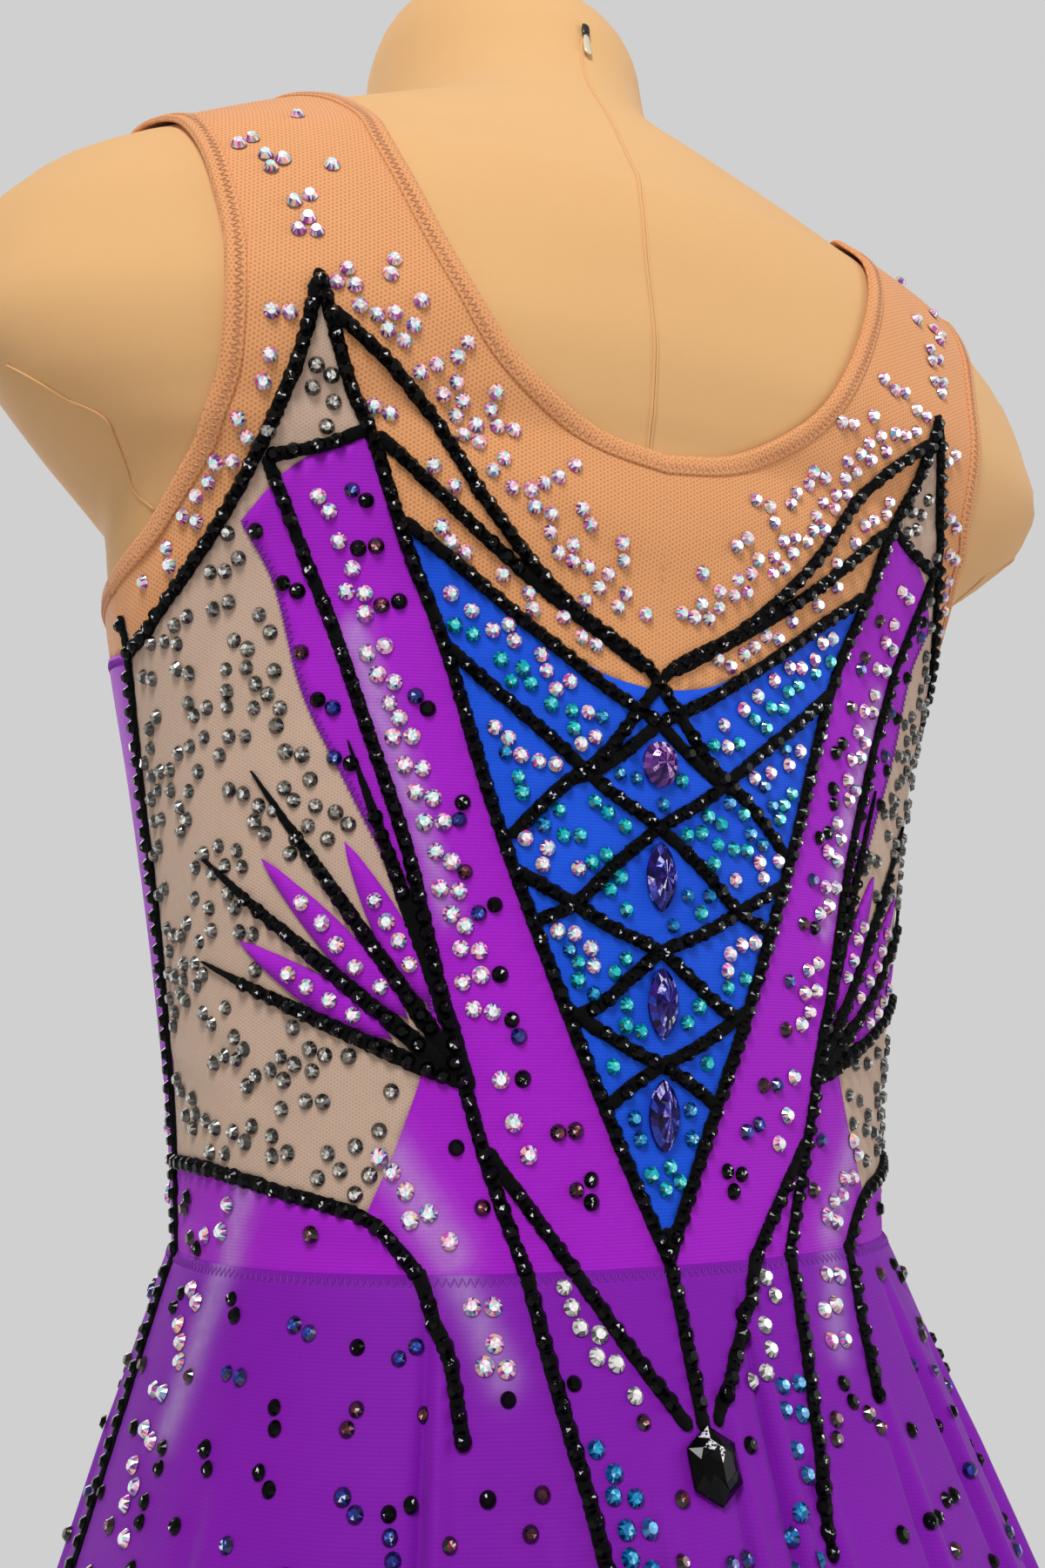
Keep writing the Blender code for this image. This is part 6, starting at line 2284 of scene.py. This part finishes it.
@dataclass
class StoneWork:
    """Where the small coloured stones go."""

    stone_height: float = 0.40
    cloth_top: float = 2.5
    net_top: float = 2.0
    skirt_top: float = 0.8
    nude_runs: tuple[Run, ...] = (
        Run(((95, 545), (71, 526), (52, 503), (30, 482), (6, 465)), AURORA, 6.8, 3, 1.6, -3.2),
        Run(((90, 549), (66, 531), (46, 506), (26, 490), (10, 478)), AURORA, 13.0, 2, 3.0, -5.0),
        Run(((84, 560), (60, 531), (40, 511), (16, 500)), AURORA, 21.0, 1, 4.0),
        Run(((98, 554), (104, 568), (110, 584), (115, 596)), AURORA, 11.5, 3, 4.2),
        Run(((92, 572), (98, 592), (104, 612)), AURORA, 18.0, 1, 4.0),
        Run(((104, 540), (108, 526), (114, 511), (122, 497), (133, 484), (146, 475)),
            AURORA, 8.5, 2, 2.0),
        Run(((82, 517), (66, 505), (50, 490), (30, 474), (12, 462)), AURORA, 9.0, 2, 1.0),
        Run(((64, 488), (48, 476), (32, 467), (16, 458)), AURORA, 9.0, 2, 0.9),
    )
    blue_runs: tuple[Run, ...] = (
        Run(((66, 478), (52, 468), (39, 458), (27, 448), (20, 440)), AURORA, 7.5, 2, 1.0),
        Run(((60, 467), (50, 461), (40, 452), (31, 443), (24, 436)), TURQUOISE, 7.5, 2, 1.0),
        Run(((56, 448), (47, 438), (37, 430), (28, 424)), AURORA, 7.5, 2, 1.0),
        Run(((51, 433), (46, 424), (38, 419), (30, 414)), TURQUOISE, 7.0, 2, 1.2),
        Run(((22, 436), (12, 428)), AURORA, 7.0, 2, 1.0),
        Run(((20, 418), (10, 411), (0, 405)), TURQUOISE, 7.0, 2, 1.2),
        Run(((42, 411), (33, 404), (22, 400), (14, 396)), AURORA, 7.5, 2, 1.0),
        Run(((36, 398), (27, 400), (20, 405)), AURORA, 7.5, 1, 1.0),
        Run(((27, 410), (19, 403), (11, 394)), TURQUOISE, 6.5, 2, 1.5),
        Run(((30, 386), (22, 380), (14, 375), (8, 371)), AURORA, 7.5, 2, 1.0),
        Run(((26, 377), (18, 371), (10, 366)), TURQUOISE, 6.5, 2, 1.2),
        Run(((14, 391), (9, 387)), TURQUOISE, 6.0, 2, 1.0),
        Run(((15, 370), (9, 362), (8, 357)), TURQUOISE, 6.5, 2, 1.2),
        Run(((18, 354), (12, 348), (6, 343)), TURQUOISE, 6.5, 2, 1.0),
        Run(((9, 334), (4, 326), (1, 318)), TURQUOISE, 6.0, 2, 1.2),
        Run(((4, 448), (0, 445)), TURQUOISE, 6.0, 1, 1.0),
    )
    band_runs: tuple[Run, ...] = (
        Run(((94, 495), (86, 478), (79, 461), (71, 441), (62, 415), (56, 396), (50, 377), (46, 360)),
            AURORA, 8.0, 2, 1.4, 0.0, 4.4),
        Run(((44, 352), (39, 338), (34, 326)), AURORA, 8.0, 1, 1.5, 0.0, 4.4),
        Run(((88, 500), (80, 480), (72, 462), (64, 440), (56, 415), (49, 395), (42, 375), (35, 355),
             (26, 335), (16, 318)), DARKS, 14.0, 2, 2.6),
        Run(((110, 492), (102, 478), (94, 460), (87, 440), (80, 422), (72, 405)), DARKS, 15.0, 2, 1.2),
        Run(((33, 342), (24, 328), (14, 312)), DARKS, 16.0, 1, 3.0),
        Run(((71, 331), (62, 320), (54, 308)), AURORA, 7.0, 2, 1.8, 0.0, 4.4),
        Run(((55, 338), (50, 326), (44, 312)), DARKS, 13.0, 1, 2.0),
        Run(((113, 322), (118, 313), (121, 304)), AURORA, 7.0, 2, 2.0, 0.0, 4.4),
        Run(((138, 321), (132, 312), (128, 304)), DARKS, 9.0, 2, 2.4),
        Run(((98, 316), (88, 312), (80, 307)), DARKS, 12.0, 1, 2.4),
    )
    side_runs: tuple[Run, ...] = (
        Run(((96, 538), (95, 527), (92, 516), (90, 508)), SMOKE, 5.5, 2, 0.5),
        Run(((104, 511), (110, 498), (115, 486), (113, 473)), SMOKE, 9.0, 2, 1.8),
        Run(((119, 480), (116, 466), (108, 452), (100, 438), (93, 424)), SMOKE, 10.0, 2, 2.0),
        Run(((131, 470), (128, 455), (121, 440), (113, 425), (104, 410), (92, 398)),
            SMOKE, 11.0, 2, 2.4),
        Run(((143, 461), (141, 445), (136, 428), (128, 412), (120, 398)), SMOKE, 12.0, 2, 2.6),
        Run(((148, 440), (146, 420), (142, 402), (140, 385), (138, 368)), SMOKE, 12.0, 2, 2.2),
        Run(((85, 416), (78, 404), (73, 392), (69, 380)), SMOKE, 8.0, 2, 1.6),
        Run(((112, 398), (106, 382), (96, 372)), SMOKE, 10.0, 2, 2.2),
        Run(((132, 392), (126, 378), (120, 362), (112, 350)), SMOKE, 11.0, 2, 2.2),
        Run(((141, 352), (132, 344), (120, 338), (104, 333), (90, 328)), SMOKE, 11.0, 2, 2.0),
        Run(((112, 362), (98, 350), (84, 342), (74, 330)), SMOKE, 11.0, 2, 1.6),
    )
    skirt_runs: tuple[Run, ...] = (
        Run(((29, 300), (25, 292), (20, 284), (14, 276)), (StoneColour.CRYSTAL,), 6.0, 2, 1.3),
        Run(((27, 278), (23, 266), (20, 252), (18, 238)), (StoneColour.CAPRI,), 6.0, 2, 1.3),
        Run(((121, 298), (124, 282), (127, 262), (126, 240)), AURORA, 7.0, 2, 2.0, 0.0, 4.4),
        Run(((50, 300), (45, 290), (42, 280)), AURORA, 7.0, 2, 1.8, 0.0, 4.4),
        Run(((15, 232), (12, 214), (10, 196), (9, 178)), DARKS, 13.0, 2, 3.0),
        Run(((138, 220), (132, 200), (130, 180), (134, 160)), DARKS, 13.0, 2, 3.0),
    )
    front_runs: tuple[Run, ...] = (
        Run(((128, 462), (122, 440), (116, 415), (112, 390), (110, 365)), AURORA, 9.0, 2, 2.2),
        Run(((112, 458), (104, 430), (98, 400), (96, 370), (98, 340), (102, 312)), DARKS, 14.0, 2, 3.0),
        Run(((86, 480), (64, 480), (42, 472), (20, 463), (0, 459)), AURORA, 11.0, 2, 2.0),
        Run(((76, 455), (62, 425), (52, 395), (44, 365), (38, 335), (32, 310)), DARKS, 15.0, 2, 4.0),
        Run(((40, 450), (28, 420), (20, 390), (14, 360), (8, 330)), DARKS, 17.0, 2, 4.0),
        Run(((120, 350), (126, 330), (128, 312)), AURORA, 9.0, 2, 2.0),
    )
    front_yoke_runs: tuple[Run, ...] = (
        Run(((92, 505), (64, 503), (40, 495), (18, 484), (0, 479)), AURORA, 10.0, 2, 2.4),
        Run(((96, 522), (100, 545), (104, 570), (108, 594)), AURORA, 13.0, 2, 3.0, 0.0, 3.6),
    )
    scatter_rows: int = 13
    scatter_pitch: float = 14.6
    fill_pitch: float = 5.0
    leaf_top: float = 2.95
    leaf_margin: float = 2.0
    leaves: Blades = field(default_factory=Blades)

    def on_leaf(self, points: Array) -> Array:
        """Which points of the left side lie on a leaf or close beside one."""
        found = np.zeros(len(points), bool)
        for outline in self.leaves.outlines():
            found |= inside(points, outline) | (distance_to(points, outline) < self.leaf_margin)
        return found

    def leaf_runs(self) -> list[Run]:
        """A row of stones down the middle of each leaf."""
        made = []
        for ray in self.leaves.rays:
            ends = ray.points(np.array([self.leaves.near + 7.0, ray.length - 12.0]))
            made.append(Run(tuple(map(tuple, ends)), AURORA, 6.5, 1, 0.8))
        return made

    def fill(self, tray: StoneTray, surface: Surface, outline: Array,
             colours: tuple[StoneColour, ...], out: float, keep: float) -> None:
        """Scatter stones in loose clumps over a panel.

        Args:
            tray: Takes the stones.
            surface: What they are glued to.
            outline: The panel's outline.
            colours: Their colours.
            out: How far their backs are from the surface.
            keep: Level of the slow field above which stones are set.
        """
        low = outline.min(axis=0)
        high = outline.max(axis=0)
        columns, rows = (np.arange(low[k], high[k], self.fill_pitch) for k in (0, 1))
        grid = np.stack(np.meshgrid(columns, rows), axis=-1).reshape(-1, 2)
        grid = grid + tray.rng.uniform(-2.2, 2.2, grid.shape)
        density = (np.sin(grid[:, 0] / 5.3 + 1.7) * np.cos(grid[:, 1] / 6.1 + 0.4)
                 + 0.6 * np.sin((grid[:, 0] + grid[:, 1]) / 8.7))
        wanted = inside(grid, outline) & (distance_to(grid, outline) > 3.4) & (density > keep)
        if colours is SMOKE:
            wanted &= ~self.on_leaf(np.abs(grid * (1, 0)) + grid * (0, 1))
        places, normals = surface.place(grid[wanted], out)
        for place, normal in zip(places, normals):
            colour = colours[tray.rng.integers(len(colours))]
            tray.set(place, normal, colour, 4.0 * tray.rng.uniform(0.94, 1.05))

    def run(self, tray: StoneTray, surface: Surface, run: Run, out: float, turn: int) -> None:
        """Set the stones of one run.

        Args:
            tray: Takes the stones.
            surface: What they are glued to.
            run: Where they go.
            out: How far their backs are from the surface.
            turn: -1 on the wearer's right.
        """
        rng = tray.rng
        line = beside(smooth_line(run.line, 1.0), run.aside)
        count = max(1, int(len(line) / run.pitch))
        stops = (np.arange(count) + 0.5) / count * (len(line) - 1)
        for stop in stops:
            middle = line[int(stop)] + rng.normal(0, run.stray * 0.45, 2)
            turned = rng.uniform(-0.6, 0.9) + (math.pi / 2 if rng.random() < 0.3 else 0)
            for k in range(run.group):
                if run.group > 1 and rng.random() < 0.08:
                    continue
                spoke = turned + 2 * math.pi * k / run.group
                reach = 0.0 if run.group == 1 else run.size * (0.53 if run.group == 2 else 0.62)
                place = middle + reach * np.array([math.cos(spoke), math.sin(spoke)])
                size = run.size * rng.uniform(0.94, 1.04)
                colour = run.colours[rng.integers(len(run.colours))]
                if out < self.leaf_top and run.colours is SMOKE and self.on_leaf(place[None])[0]:
                    continue
                points, normals = surface.place(np.array([place]) * (turn, 1), out)
                tray.set(points[0], normals[0], colour, size)

    def scatter(self, tray: StoneTray, surface: SkirtSurface) -> None:
        """Scatter dark pairs over the skirt.

        Args:
            tray: Takes the stones.
            surface: The skirt's inner face.
        """
        rng = tray.rng
        half = float(surface.skin.half_girth(np.array([surface.top]))[0])
        for row in range(self.scatter_rows):
            height = surface.top - 12 - row * self.scatter_pitch
            share = (surface.top - height) / (surface.top - surface.hem)
            count = int(2 * half * (1 + 0.62 * share) / (self.scatter_pitch * 1.05))
            for k in range(count):
                across = -half + 2 * half * (k + 0.5 * (row % 2) + rng.uniform(-0.3, 0.3)) / count
                middle = np.array([across, height + rng.uniform(-5, 5)])
                turned = rng.uniform(0, math.pi)
                colour = DARKS[rng.integers(len(DARKS))]
                for end in (1, -1) if rng.random() < 0.62 else (0,):
                    shift = end * 2.1 * np.array([math.cos(turned) / (1 + 0.62 * share),
                                                  math.sin(turned)])
                    place = middle + shift
                    if not surface.hem + 4 < place[1] < surface.top - 4:
                        continue
                    points, normals = surface.place(place[None], self.skirt_top)
                    tray.set(points[0], normals[0], colour, 3.9 * rng.uniform(0.9, 1.06), 1.12)

    def build(self, tray: StoneTray, draft: Draft, back: Surface, front: Surface,
              skirt: SkirtSurface) -> None:
        """Set every small coloured stone.

        Args:
            tray: Takes the stones.
            draft: Draws the panels that are filled.
            back: The form measured from the centre back.
            front: The form measured from the centre front.
            skirt: The skirt's inner face.
        """
        for turn in (1, -1):
            for runs, surface, out in (
                    (self.nude_runs, back, self.net_top), (self.blue_runs, back, self.cloth_top),
                    (self.band_runs, back, self.cloth_top), (self.leaf_runs(), back, self.leaf_top),
                    (self.side_runs, back, self.net_top + 0.1),
                    (self.skirt_runs, skirt, self.skirt_top), (self.front_runs, front, self.cloth_top),
                    (self.front_yoke_runs, front, self.net_top)):
                for run in runs:
                    self.run(tray, surface, run, out, turn)
            side = draft.side() * (turn, 1)
            self.fill(tray, back, side, SMOKE, self.net_top + 0.1, -0.1)
        self.fill(tray, back, draft.blue(), (StoneColour.TURQUOISE, StoneColour.CAPRI),
                  self.cloth_top, -0.5)
        self.scatter(tray, skirt)


@dataclass(frozen=True)
class LargeStone:
    """Sewn-on stone at the centre back."""

    node: str
    height: float
    half_width: float
    half_length: float
    rise: float
    point: float


@dataclass
class LargeStones:
    """Round, drop and hexagon stones down the centre back."""

    sides: int = 24
    on_blue: tuple[LargeStone, ...] = (
        LargeStone("stone_round", 429.5, 5.3, 6.2, 4.2, 1.0),
        LargeStone("stone_drop_upper", 399.5, 4.5, 9.2, 4.0, 1.45),
        LargeStone("stone_drop_middle", 367.0, 4.5, 9.2, 4.0, 1.45),
        LargeStone("stone_drop_lower", 339.0, 4.5, 9.0, 4.0, 1.45),
    )
    hexagon: LargeStone = LargeStone("stone_hexagon", 262.0, 6.5, 8.5, 4.5, 0.0)
    levels: tuple[tuple[float, float], ...] = ((0.88, 0.0), (1.0, 0.22), (0.97, 0.36), (0.72, 0.74),
                                               (0.46, 1.0))

    def outline(self, stone: LargeStone) -> Array:
        """Outline of one stone round its girdle."""
        if stone.point == 0.0:
            corners = np.array([(1, 0.5), (0, 1), (-1, 0.5), (-1, -0.5), (0, -1), (1, -0.5)])
            corners = corners * (stone.half_width, stone.half_length)
            after = np.roll(corners, -1, axis=0)
            return np.stack([corners, (corners + after) / 2], axis=1).reshape(-1, 2)
        turn = np.arange(self.sides) * 2 * math.pi / self.sides
        across = np.sign(np.cos(turn)) * np.abs(np.cos(turn)) ** stone.point
        return np.column_stack([stone.half_width * across, stone.half_length * np.sin(turn)])

    def shape(self, stone: LargeStone, rng: np.random.Generator) -> tuple[Array, Array, Array]:
        """Points, triangles and tones of one cut stone."""
        outline = self.outline(stone)
        n = len(outline)
        rings = []
        for level, (scale, share) in enumerate(self.levels):
            ring = outline * scale
            if level >= 3:
                ring = (ring + np.roll(ring, -1, axis=0)) / 2 if level == 3 else ring
            rings.append(np.column_stack([ring, np.full(n, stone.rise * share)]))
        points = np.concatenate(rings + [np.array([[0, 0, stone.rise * 1.04], [0, 0, 0]])])
        faces = []
        for level in range(len(self.levels) - 1):
            low = level * n
            high = low + n
            for k in range(n):
                after = (k + 1) % n
                faces += [(low + k, low + after, high + k), (low + after, high + after, high + k)]
        last = (len(self.levels) - 1) * n
        for k in range(n):
            after = (k + 1) % n
            faces += [(last + k, last + after, len(points) - 2), (after, k, len(points) - 1)]
        # Random tones for pairs of triangles; through the glass's ramp the highest come out as painted
        # glints.
        blocks = rng.uniform(0, 1, (len(faces) + 1) // 2).repeat(2)[:len(faces)]
        return points, np.array(faces), np.clip(blocks * 0.9 + rng.uniform(0, 0.12, len(faces)), 0, 1)

    def place(self, stone: LargeStone, surface: Surface, out: float, rng: np.random.Generator,
              material: bpy.types.Material, slot: str) -> bpy.types.Object:
        """Set one stone on the cloth.

        Args:
            stone: Which stone.
            surface: What it is sewn to.
            out: How far its back is from the surface.
            rng: Random draws of its facets' tones.
            material: Its glass.
            slot: Not used.

        Returns:
            The piece.
        """
        middle, normals = surface.place(np.array([[0.0, stone.height]]), out)
        above = surface.place(np.array([[0.0, stone.height + 1.0]]), out)[0]
        up = unit(above - middle)[0]
        side = unit(np.cross(up, normals[0]))
        points, faces, tones = self.shape(stone, rng)
        axes = np.stack([side, up, normals[0]])
        parts = MeshParts()
        parts.add(middle + points @ axes, faces, tones=tones)
        return make_piece("cut_" + stone.node, parts.mesh(stone.node), material, (stone.node,))

    def build(self, back: Surface, skirt: Surface, tray: StoneTray,
              materials: dict[str, bpy.types.Material]) -> list[bpy.types.Object]:
        """Make the large stones and keep small ones clear of them.

        Args:
            back: The form measured from the centre back.
            skirt: The skirt's inner face.
            tray: Keeps their places free.
            materials: Every material by name.

        Returns:
            The pieces.
        """
        rng = np.random.default_rng(5)
        pieces = []
        for stone in self.on_blue:
            glass = materials["violet" if stone.node == "stone_round" else "helio"]
            pieces.append(self.place(stone, back, 2.3, rng, glass, "violet_glass"))
        pieces.append(self.place(self.hexagon, skirt, 1.0, rng, materials["jet"], "jet_glass"))
        for stone, surface in [(s, back) for s in self.on_blue] + [(self.hexagon, skirt)]:
            for share in (-0.6, 0.0, 0.6):
                place = np.array([[0.0, stone.height + share * stone.half_length]])
                tray.places = np.vstack([tray.places, surface.place(place, 2.5)[0]])
                tray.sizes = np.append(tray.sizes, 1.9 * stone.half_width)
        return pieces


@dataclass
class Studio:
    """Camera, lights, floor and backdrop."""

    camera_at: tuple[float, float, float] = (0.1655, 0.3734, 0.3494)
    yaw_deg: float = 23.07
    pitch_deg: float = 12.52
    roll_deg: float = -0.2
    lens: float = 30.0
    backdrop: float = 0.63
    ambient: float = 0.28
    floor_size: float = 30.0

    def camera(self) -> None:
        """Camera at the photograph's viewing angle."""
        yaw = math.radians(self.yaw_deg)
        pitch = math.radians(self.pitch_deg)
        roll = math.radians(self.roll_deg)
        forward = Vector((-math.sin(yaw) * math.cos(pitch), -math.cos(yaw) * math.cos(pitch),
                          math.sin(pitch)))
        right = Vector((-math.cos(yaw), math.sin(yaw), 0.0))
        up = right.cross(forward)
        rolled_right = right * math.cos(roll) + up * math.sin(roll)
        rolled_up = up * math.cos(roll) - right * math.sin(roll)
        data = bpy.data.cameras.new("camera")
        data.lens = self.lens
        data.sensor_width = 36.0
        data.clip_start = 0.01
        item = bpy.data.objects.new("camera", data)
        turn = Matrix((rolled_right, rolled_up, -forward)).transposed().to_4x4()
        item.matrix_world = Matrix.Translation(self.camera_at) @ turn
        bpy.context.scene.collection.objects.link(item)
        bpy.context.scene.camera = item

    def light(self, name: str, place: tuple[float, float, float], size: float,
              power: float) -> None:
        """One soft square light aimed at the garment."""
        data = bpy.data.lights.new(name, "AREA")
        data.size = size
        data.energy = power
        item = bpy.data.objects.new(name, data)
        aim = Vector((0.0, 0.0, 0.42)) - Vector(place)
        item.rotation_euler = aim.to_track_quat("-Z", "Y").to_euler()
        item.location = place
        bpy.context.scene.collection.objects.link(item)

    def world(self) -> None:
        """Pale even surroundings, dimmer as a light than as a backdrop."""
        world = bpy.data.worlds.new("studio")
        world.use_nodes = True
        graph = Graph(world.node_tree)
        world.node_tree.nodes.clear()
        seen = graph.node("Background", {"Color": (self.backdrop,) * 3 + (1.0,), "Strength": 1.0})
        lit = graph.node("Background", {"Color": (1.0, 1.0, 1.0, 1.0), "Strength": self.ambient})
        rays = graph.node("LightPath")
        mixed = graph.node("MixShader", {0: rays.outputs["Is Camera Ray"], 1: lit.outputs[0],
                                         2: seen.outputs[0]})
        graph.node("OutputWorld", {"Surface": mixed.outputs[0]})
        bpy.context.scene.world = world

    def floor(self) -> None:
        """Plain pale floor that runs into the backdrop without an edge."""
        half = self.floor_size / 2
        mesh = bpy.data.meshes.new("floor")
        mesh.from_pydata([(-half, -half, 0), (half, -half, 0), (half, half, 0), (-half, half, 0)],
                         [], [(0, 1, 2, 3)])
        material = bpy.data.materials.new("pale floor")
        material.use_nodes = True
        graph = Graph(material.node_tree)
        shader = material.node_tree.nodes["Principled BSDF"]
        shader.inputs["Base Color"].default_value = (0.62, 0.62, 0.62, 1.0)
        shader.inputs["Roughness"].default_value = 0.9
        glow = graph.node("Emission", {"Color": (self.backdrop,) * 3 + (1.0,), "Strength": 1.0})
        place = graph.node("TexCoord").outputs["Object"]
        away = graph.node("VectorMath", {0: place}, operation="LENGTH").outputs["Value"]
        share = graph.node("MapRange", {"Value": away, "From Min": 0.28, "From Max": 0.75},
                           interpolation_type="SMOOTHSTEP").outputs["Result"]
        mixed = graph.node("MixShader", {0: share, 1: shader.outputs[0], 2: glow.outputs[0]})
        out = material.node_tree.nodes["Material Output"]
        material.node_tree.links.new(mixed.outputs[0], out.inputs["Surface"])
        item = bpy.data.objects.new("floor", mesh)
        mesh.materials.append(material)
        bpy.context.scene.collection.objects.link(item)

    def build(self) -> None:
        """Set up the studio."""
        self.camera()
        self.world()
        self.floor()
        self.light("key", (0.70, 1.05, 1.65), 0.55, 21.5)
        self.light("fill", (-1.3, 0.9, 0.9), 1.0, 7.0)
        self.light("front", (0.4, -1.6, 1.1), 1.1, 12.0)
        scene = bpy.context.scene
        scene.view_settings.view_transform = "Standard"
        scene.view_settings.look = "None"


@dataclass
class Wardrobe:
    """Every finish of the object, built once."""

    finishes: dict[str, Finish] = field(default_factory=lambda: {
        "cover": CoverFinish("beige cover", (0.76, 0.44, 0.185), (0.67, 0.375, 0.152)),
        "nude": NetFinish("nude power net", (0.80, 0.36, 0.145), (0.52, 0.19, 0.065)),
        "blue": KnitFinish("blue stretch", (0.008, 0.11, 0.85), (0.004, 0.05, 0.54),
                           (0.55, 0.62, 0.95)),
        "purple": KnitFinish("purple stretch", (0.45, 0.011, 0.66), (0.27, 0.006, 0.44),
                             (0.62, 0.52, 0.70)),
        # A darker copy of the purple stretch, darkened as painted shade for the skirt's flare, which faces
        # down away from the top light.
        "skirt": KnitFinish("skirt stretch in painted shade", (0.25, 0.005, 0.45), (0.145, 0.003, 0.29),
                            (0.60, 0.50, 0.68), relief=0.00003),
        "pale": NetFinish("pale net", (0.60, 0.42, 0.315), (0.47, 0.31, 0.22), 0.8, 0.5),
        "velvet": VelvetFinish("black velvet", (0.0008, 0.0008, 0.001), (0.006, 0.006, 0.007)),
        "purple thread": ThreadFinish("purple thread", (0.30, 0.02, 0.48), (0.14, 0.008, 0.25)),
        "nude thread": ThreadFinish("nude thread", (0.82, 0.47, 0.26), (0.58, 0.29, 0.14)),
        "pull": MetalFinish("zip pull", (0.88, 0.80, 0.62), (0.62, 0.52, 0.36), 0.2),
        "slider": MetalFinish("zip slider", (0.10, 0.085, 0.07), (0.03, 0.025, 0.02), 0.8),
        **{colour.value: StoneFinish(colour.value + " glass", tones,
                                     coat=STONE_COATS.get(colour, 0.6),
                                     glow=0.10 if colour in PAINTED_GLOW_STONES else 0.0,
                                     gloss=0.14 if colour in STONE_COATS else 0.5)
           for colour, tones in STONE_COLOURS_AND_GLINTS.items()},
    })

    def build(self) -> dict[str, bpy.types.Material]:
        """Make every material."""
        effects = Effects()
        return {name: finish.build(effects) for name, finish in self.finishes.items()}


def seam_lines(draft: Draft, back: Surface, front: Surface, skirt: SkirtSurface,
               ) -> list[tuple[Array, Array]]:
    """Lines of the purple zigzag seams.

    Args:
        draft: Draws the seam lines.
        back: The form measured from the centre back.
        front: The form measured from the centre front.
        skirt: The skirt's inner face.

    Returns:
        Each line with its normals.
    """
    p = draft.pattern
    out = 2.55
    lines = []
    for turn in (1, -1):
        lines.append(back.place(draft.line(p.band_outer_edge[:7]) * (turn, 1), out))
        seam = draft.to_front(draft.line(p.side_seam[2:])) * (turn, 1)
        lines.append(front.place(seam, out))
    half = float(draft.skin.half_girth(np.array([skirt.top]))[0])
    round_waist = np.column_stack([np.linspace(-half, half, 260), np.full(260, skirt.top - 1.6)])
    round_hem = round_waist * (1, 0) + (0, skirt.hem + 4.0)
    lines.append(skirt.place(round_waist, 0.85))
    lines.append(skirt.place(round_hem, 0.85))
    lines.append(front.place(np.concatenate([mirrored(draft.front_yoke_edge())[::-1],
                                             draft.front_yoke_edge()[1:]]) - (0, 1.4), out))
    return lines


def main() -> None:
    logging.basicConfig(level=logging.INFO, format="%(name)s: %(message)s")
    Studio().build()
    skin = FormSkin()
    back = BackSurface(skin)
    front = FrontSurface(skin)
    skirt = SkirtSurface(skin)
    draft = Draft(Pattern(), skin)
    cutter = ClothCutter(skin)
    materials = Wardrobe().build()
    form = DressForm()
    form.build(skin, back, materials)
    cloth = Bodice().build(draft, cutter, back, front, materials)
    cloth["gusset"] = Gusset().build(skin, form, cutter, materials["purple"])
    cloth.update(SkirtCloth().build(skirt, cutter, materials["skirt"]))
    blades = Blades().build(cutter, back, materials["purple"])
    hems, hem_lines = Hems().build(draft, back, front, materials["nude"])
    stitching = Stitching()
    centre = MeshParts()
    stitching.dashes(draft.pattern.blue_top_edge[-1][1] + 4.0, draft.pattern.neckline_back[0][1] - 5.0,
                     back, 2.15, centre)
    hem_thread = stitching.build("thread_hems", hem_lines, materials["nude thread"], "nude_mesh",
                                 centre)
    seam_thread = stitching.build("thread_seams", seam_lines(draft, back, front, skirt),
                                  materials["purple thread"], "purple_stretch")
    tray = StoneTray(7)
    large = LargeStones().build(back, skirt, tray, materials)
    tapes = VelvetTapes().build(back, skirt, tray, materials["velvet"])
    stone_work = StoneWork()
    stone_work.build(tray, draft, back, front, skirt)
    small = tray.build(stone_work.stone_height, materials)
    log.info("small stones: %d", sum(len(stones) for stones in tray.by_colour.values()))


if __name__ == "__main__":
    main()
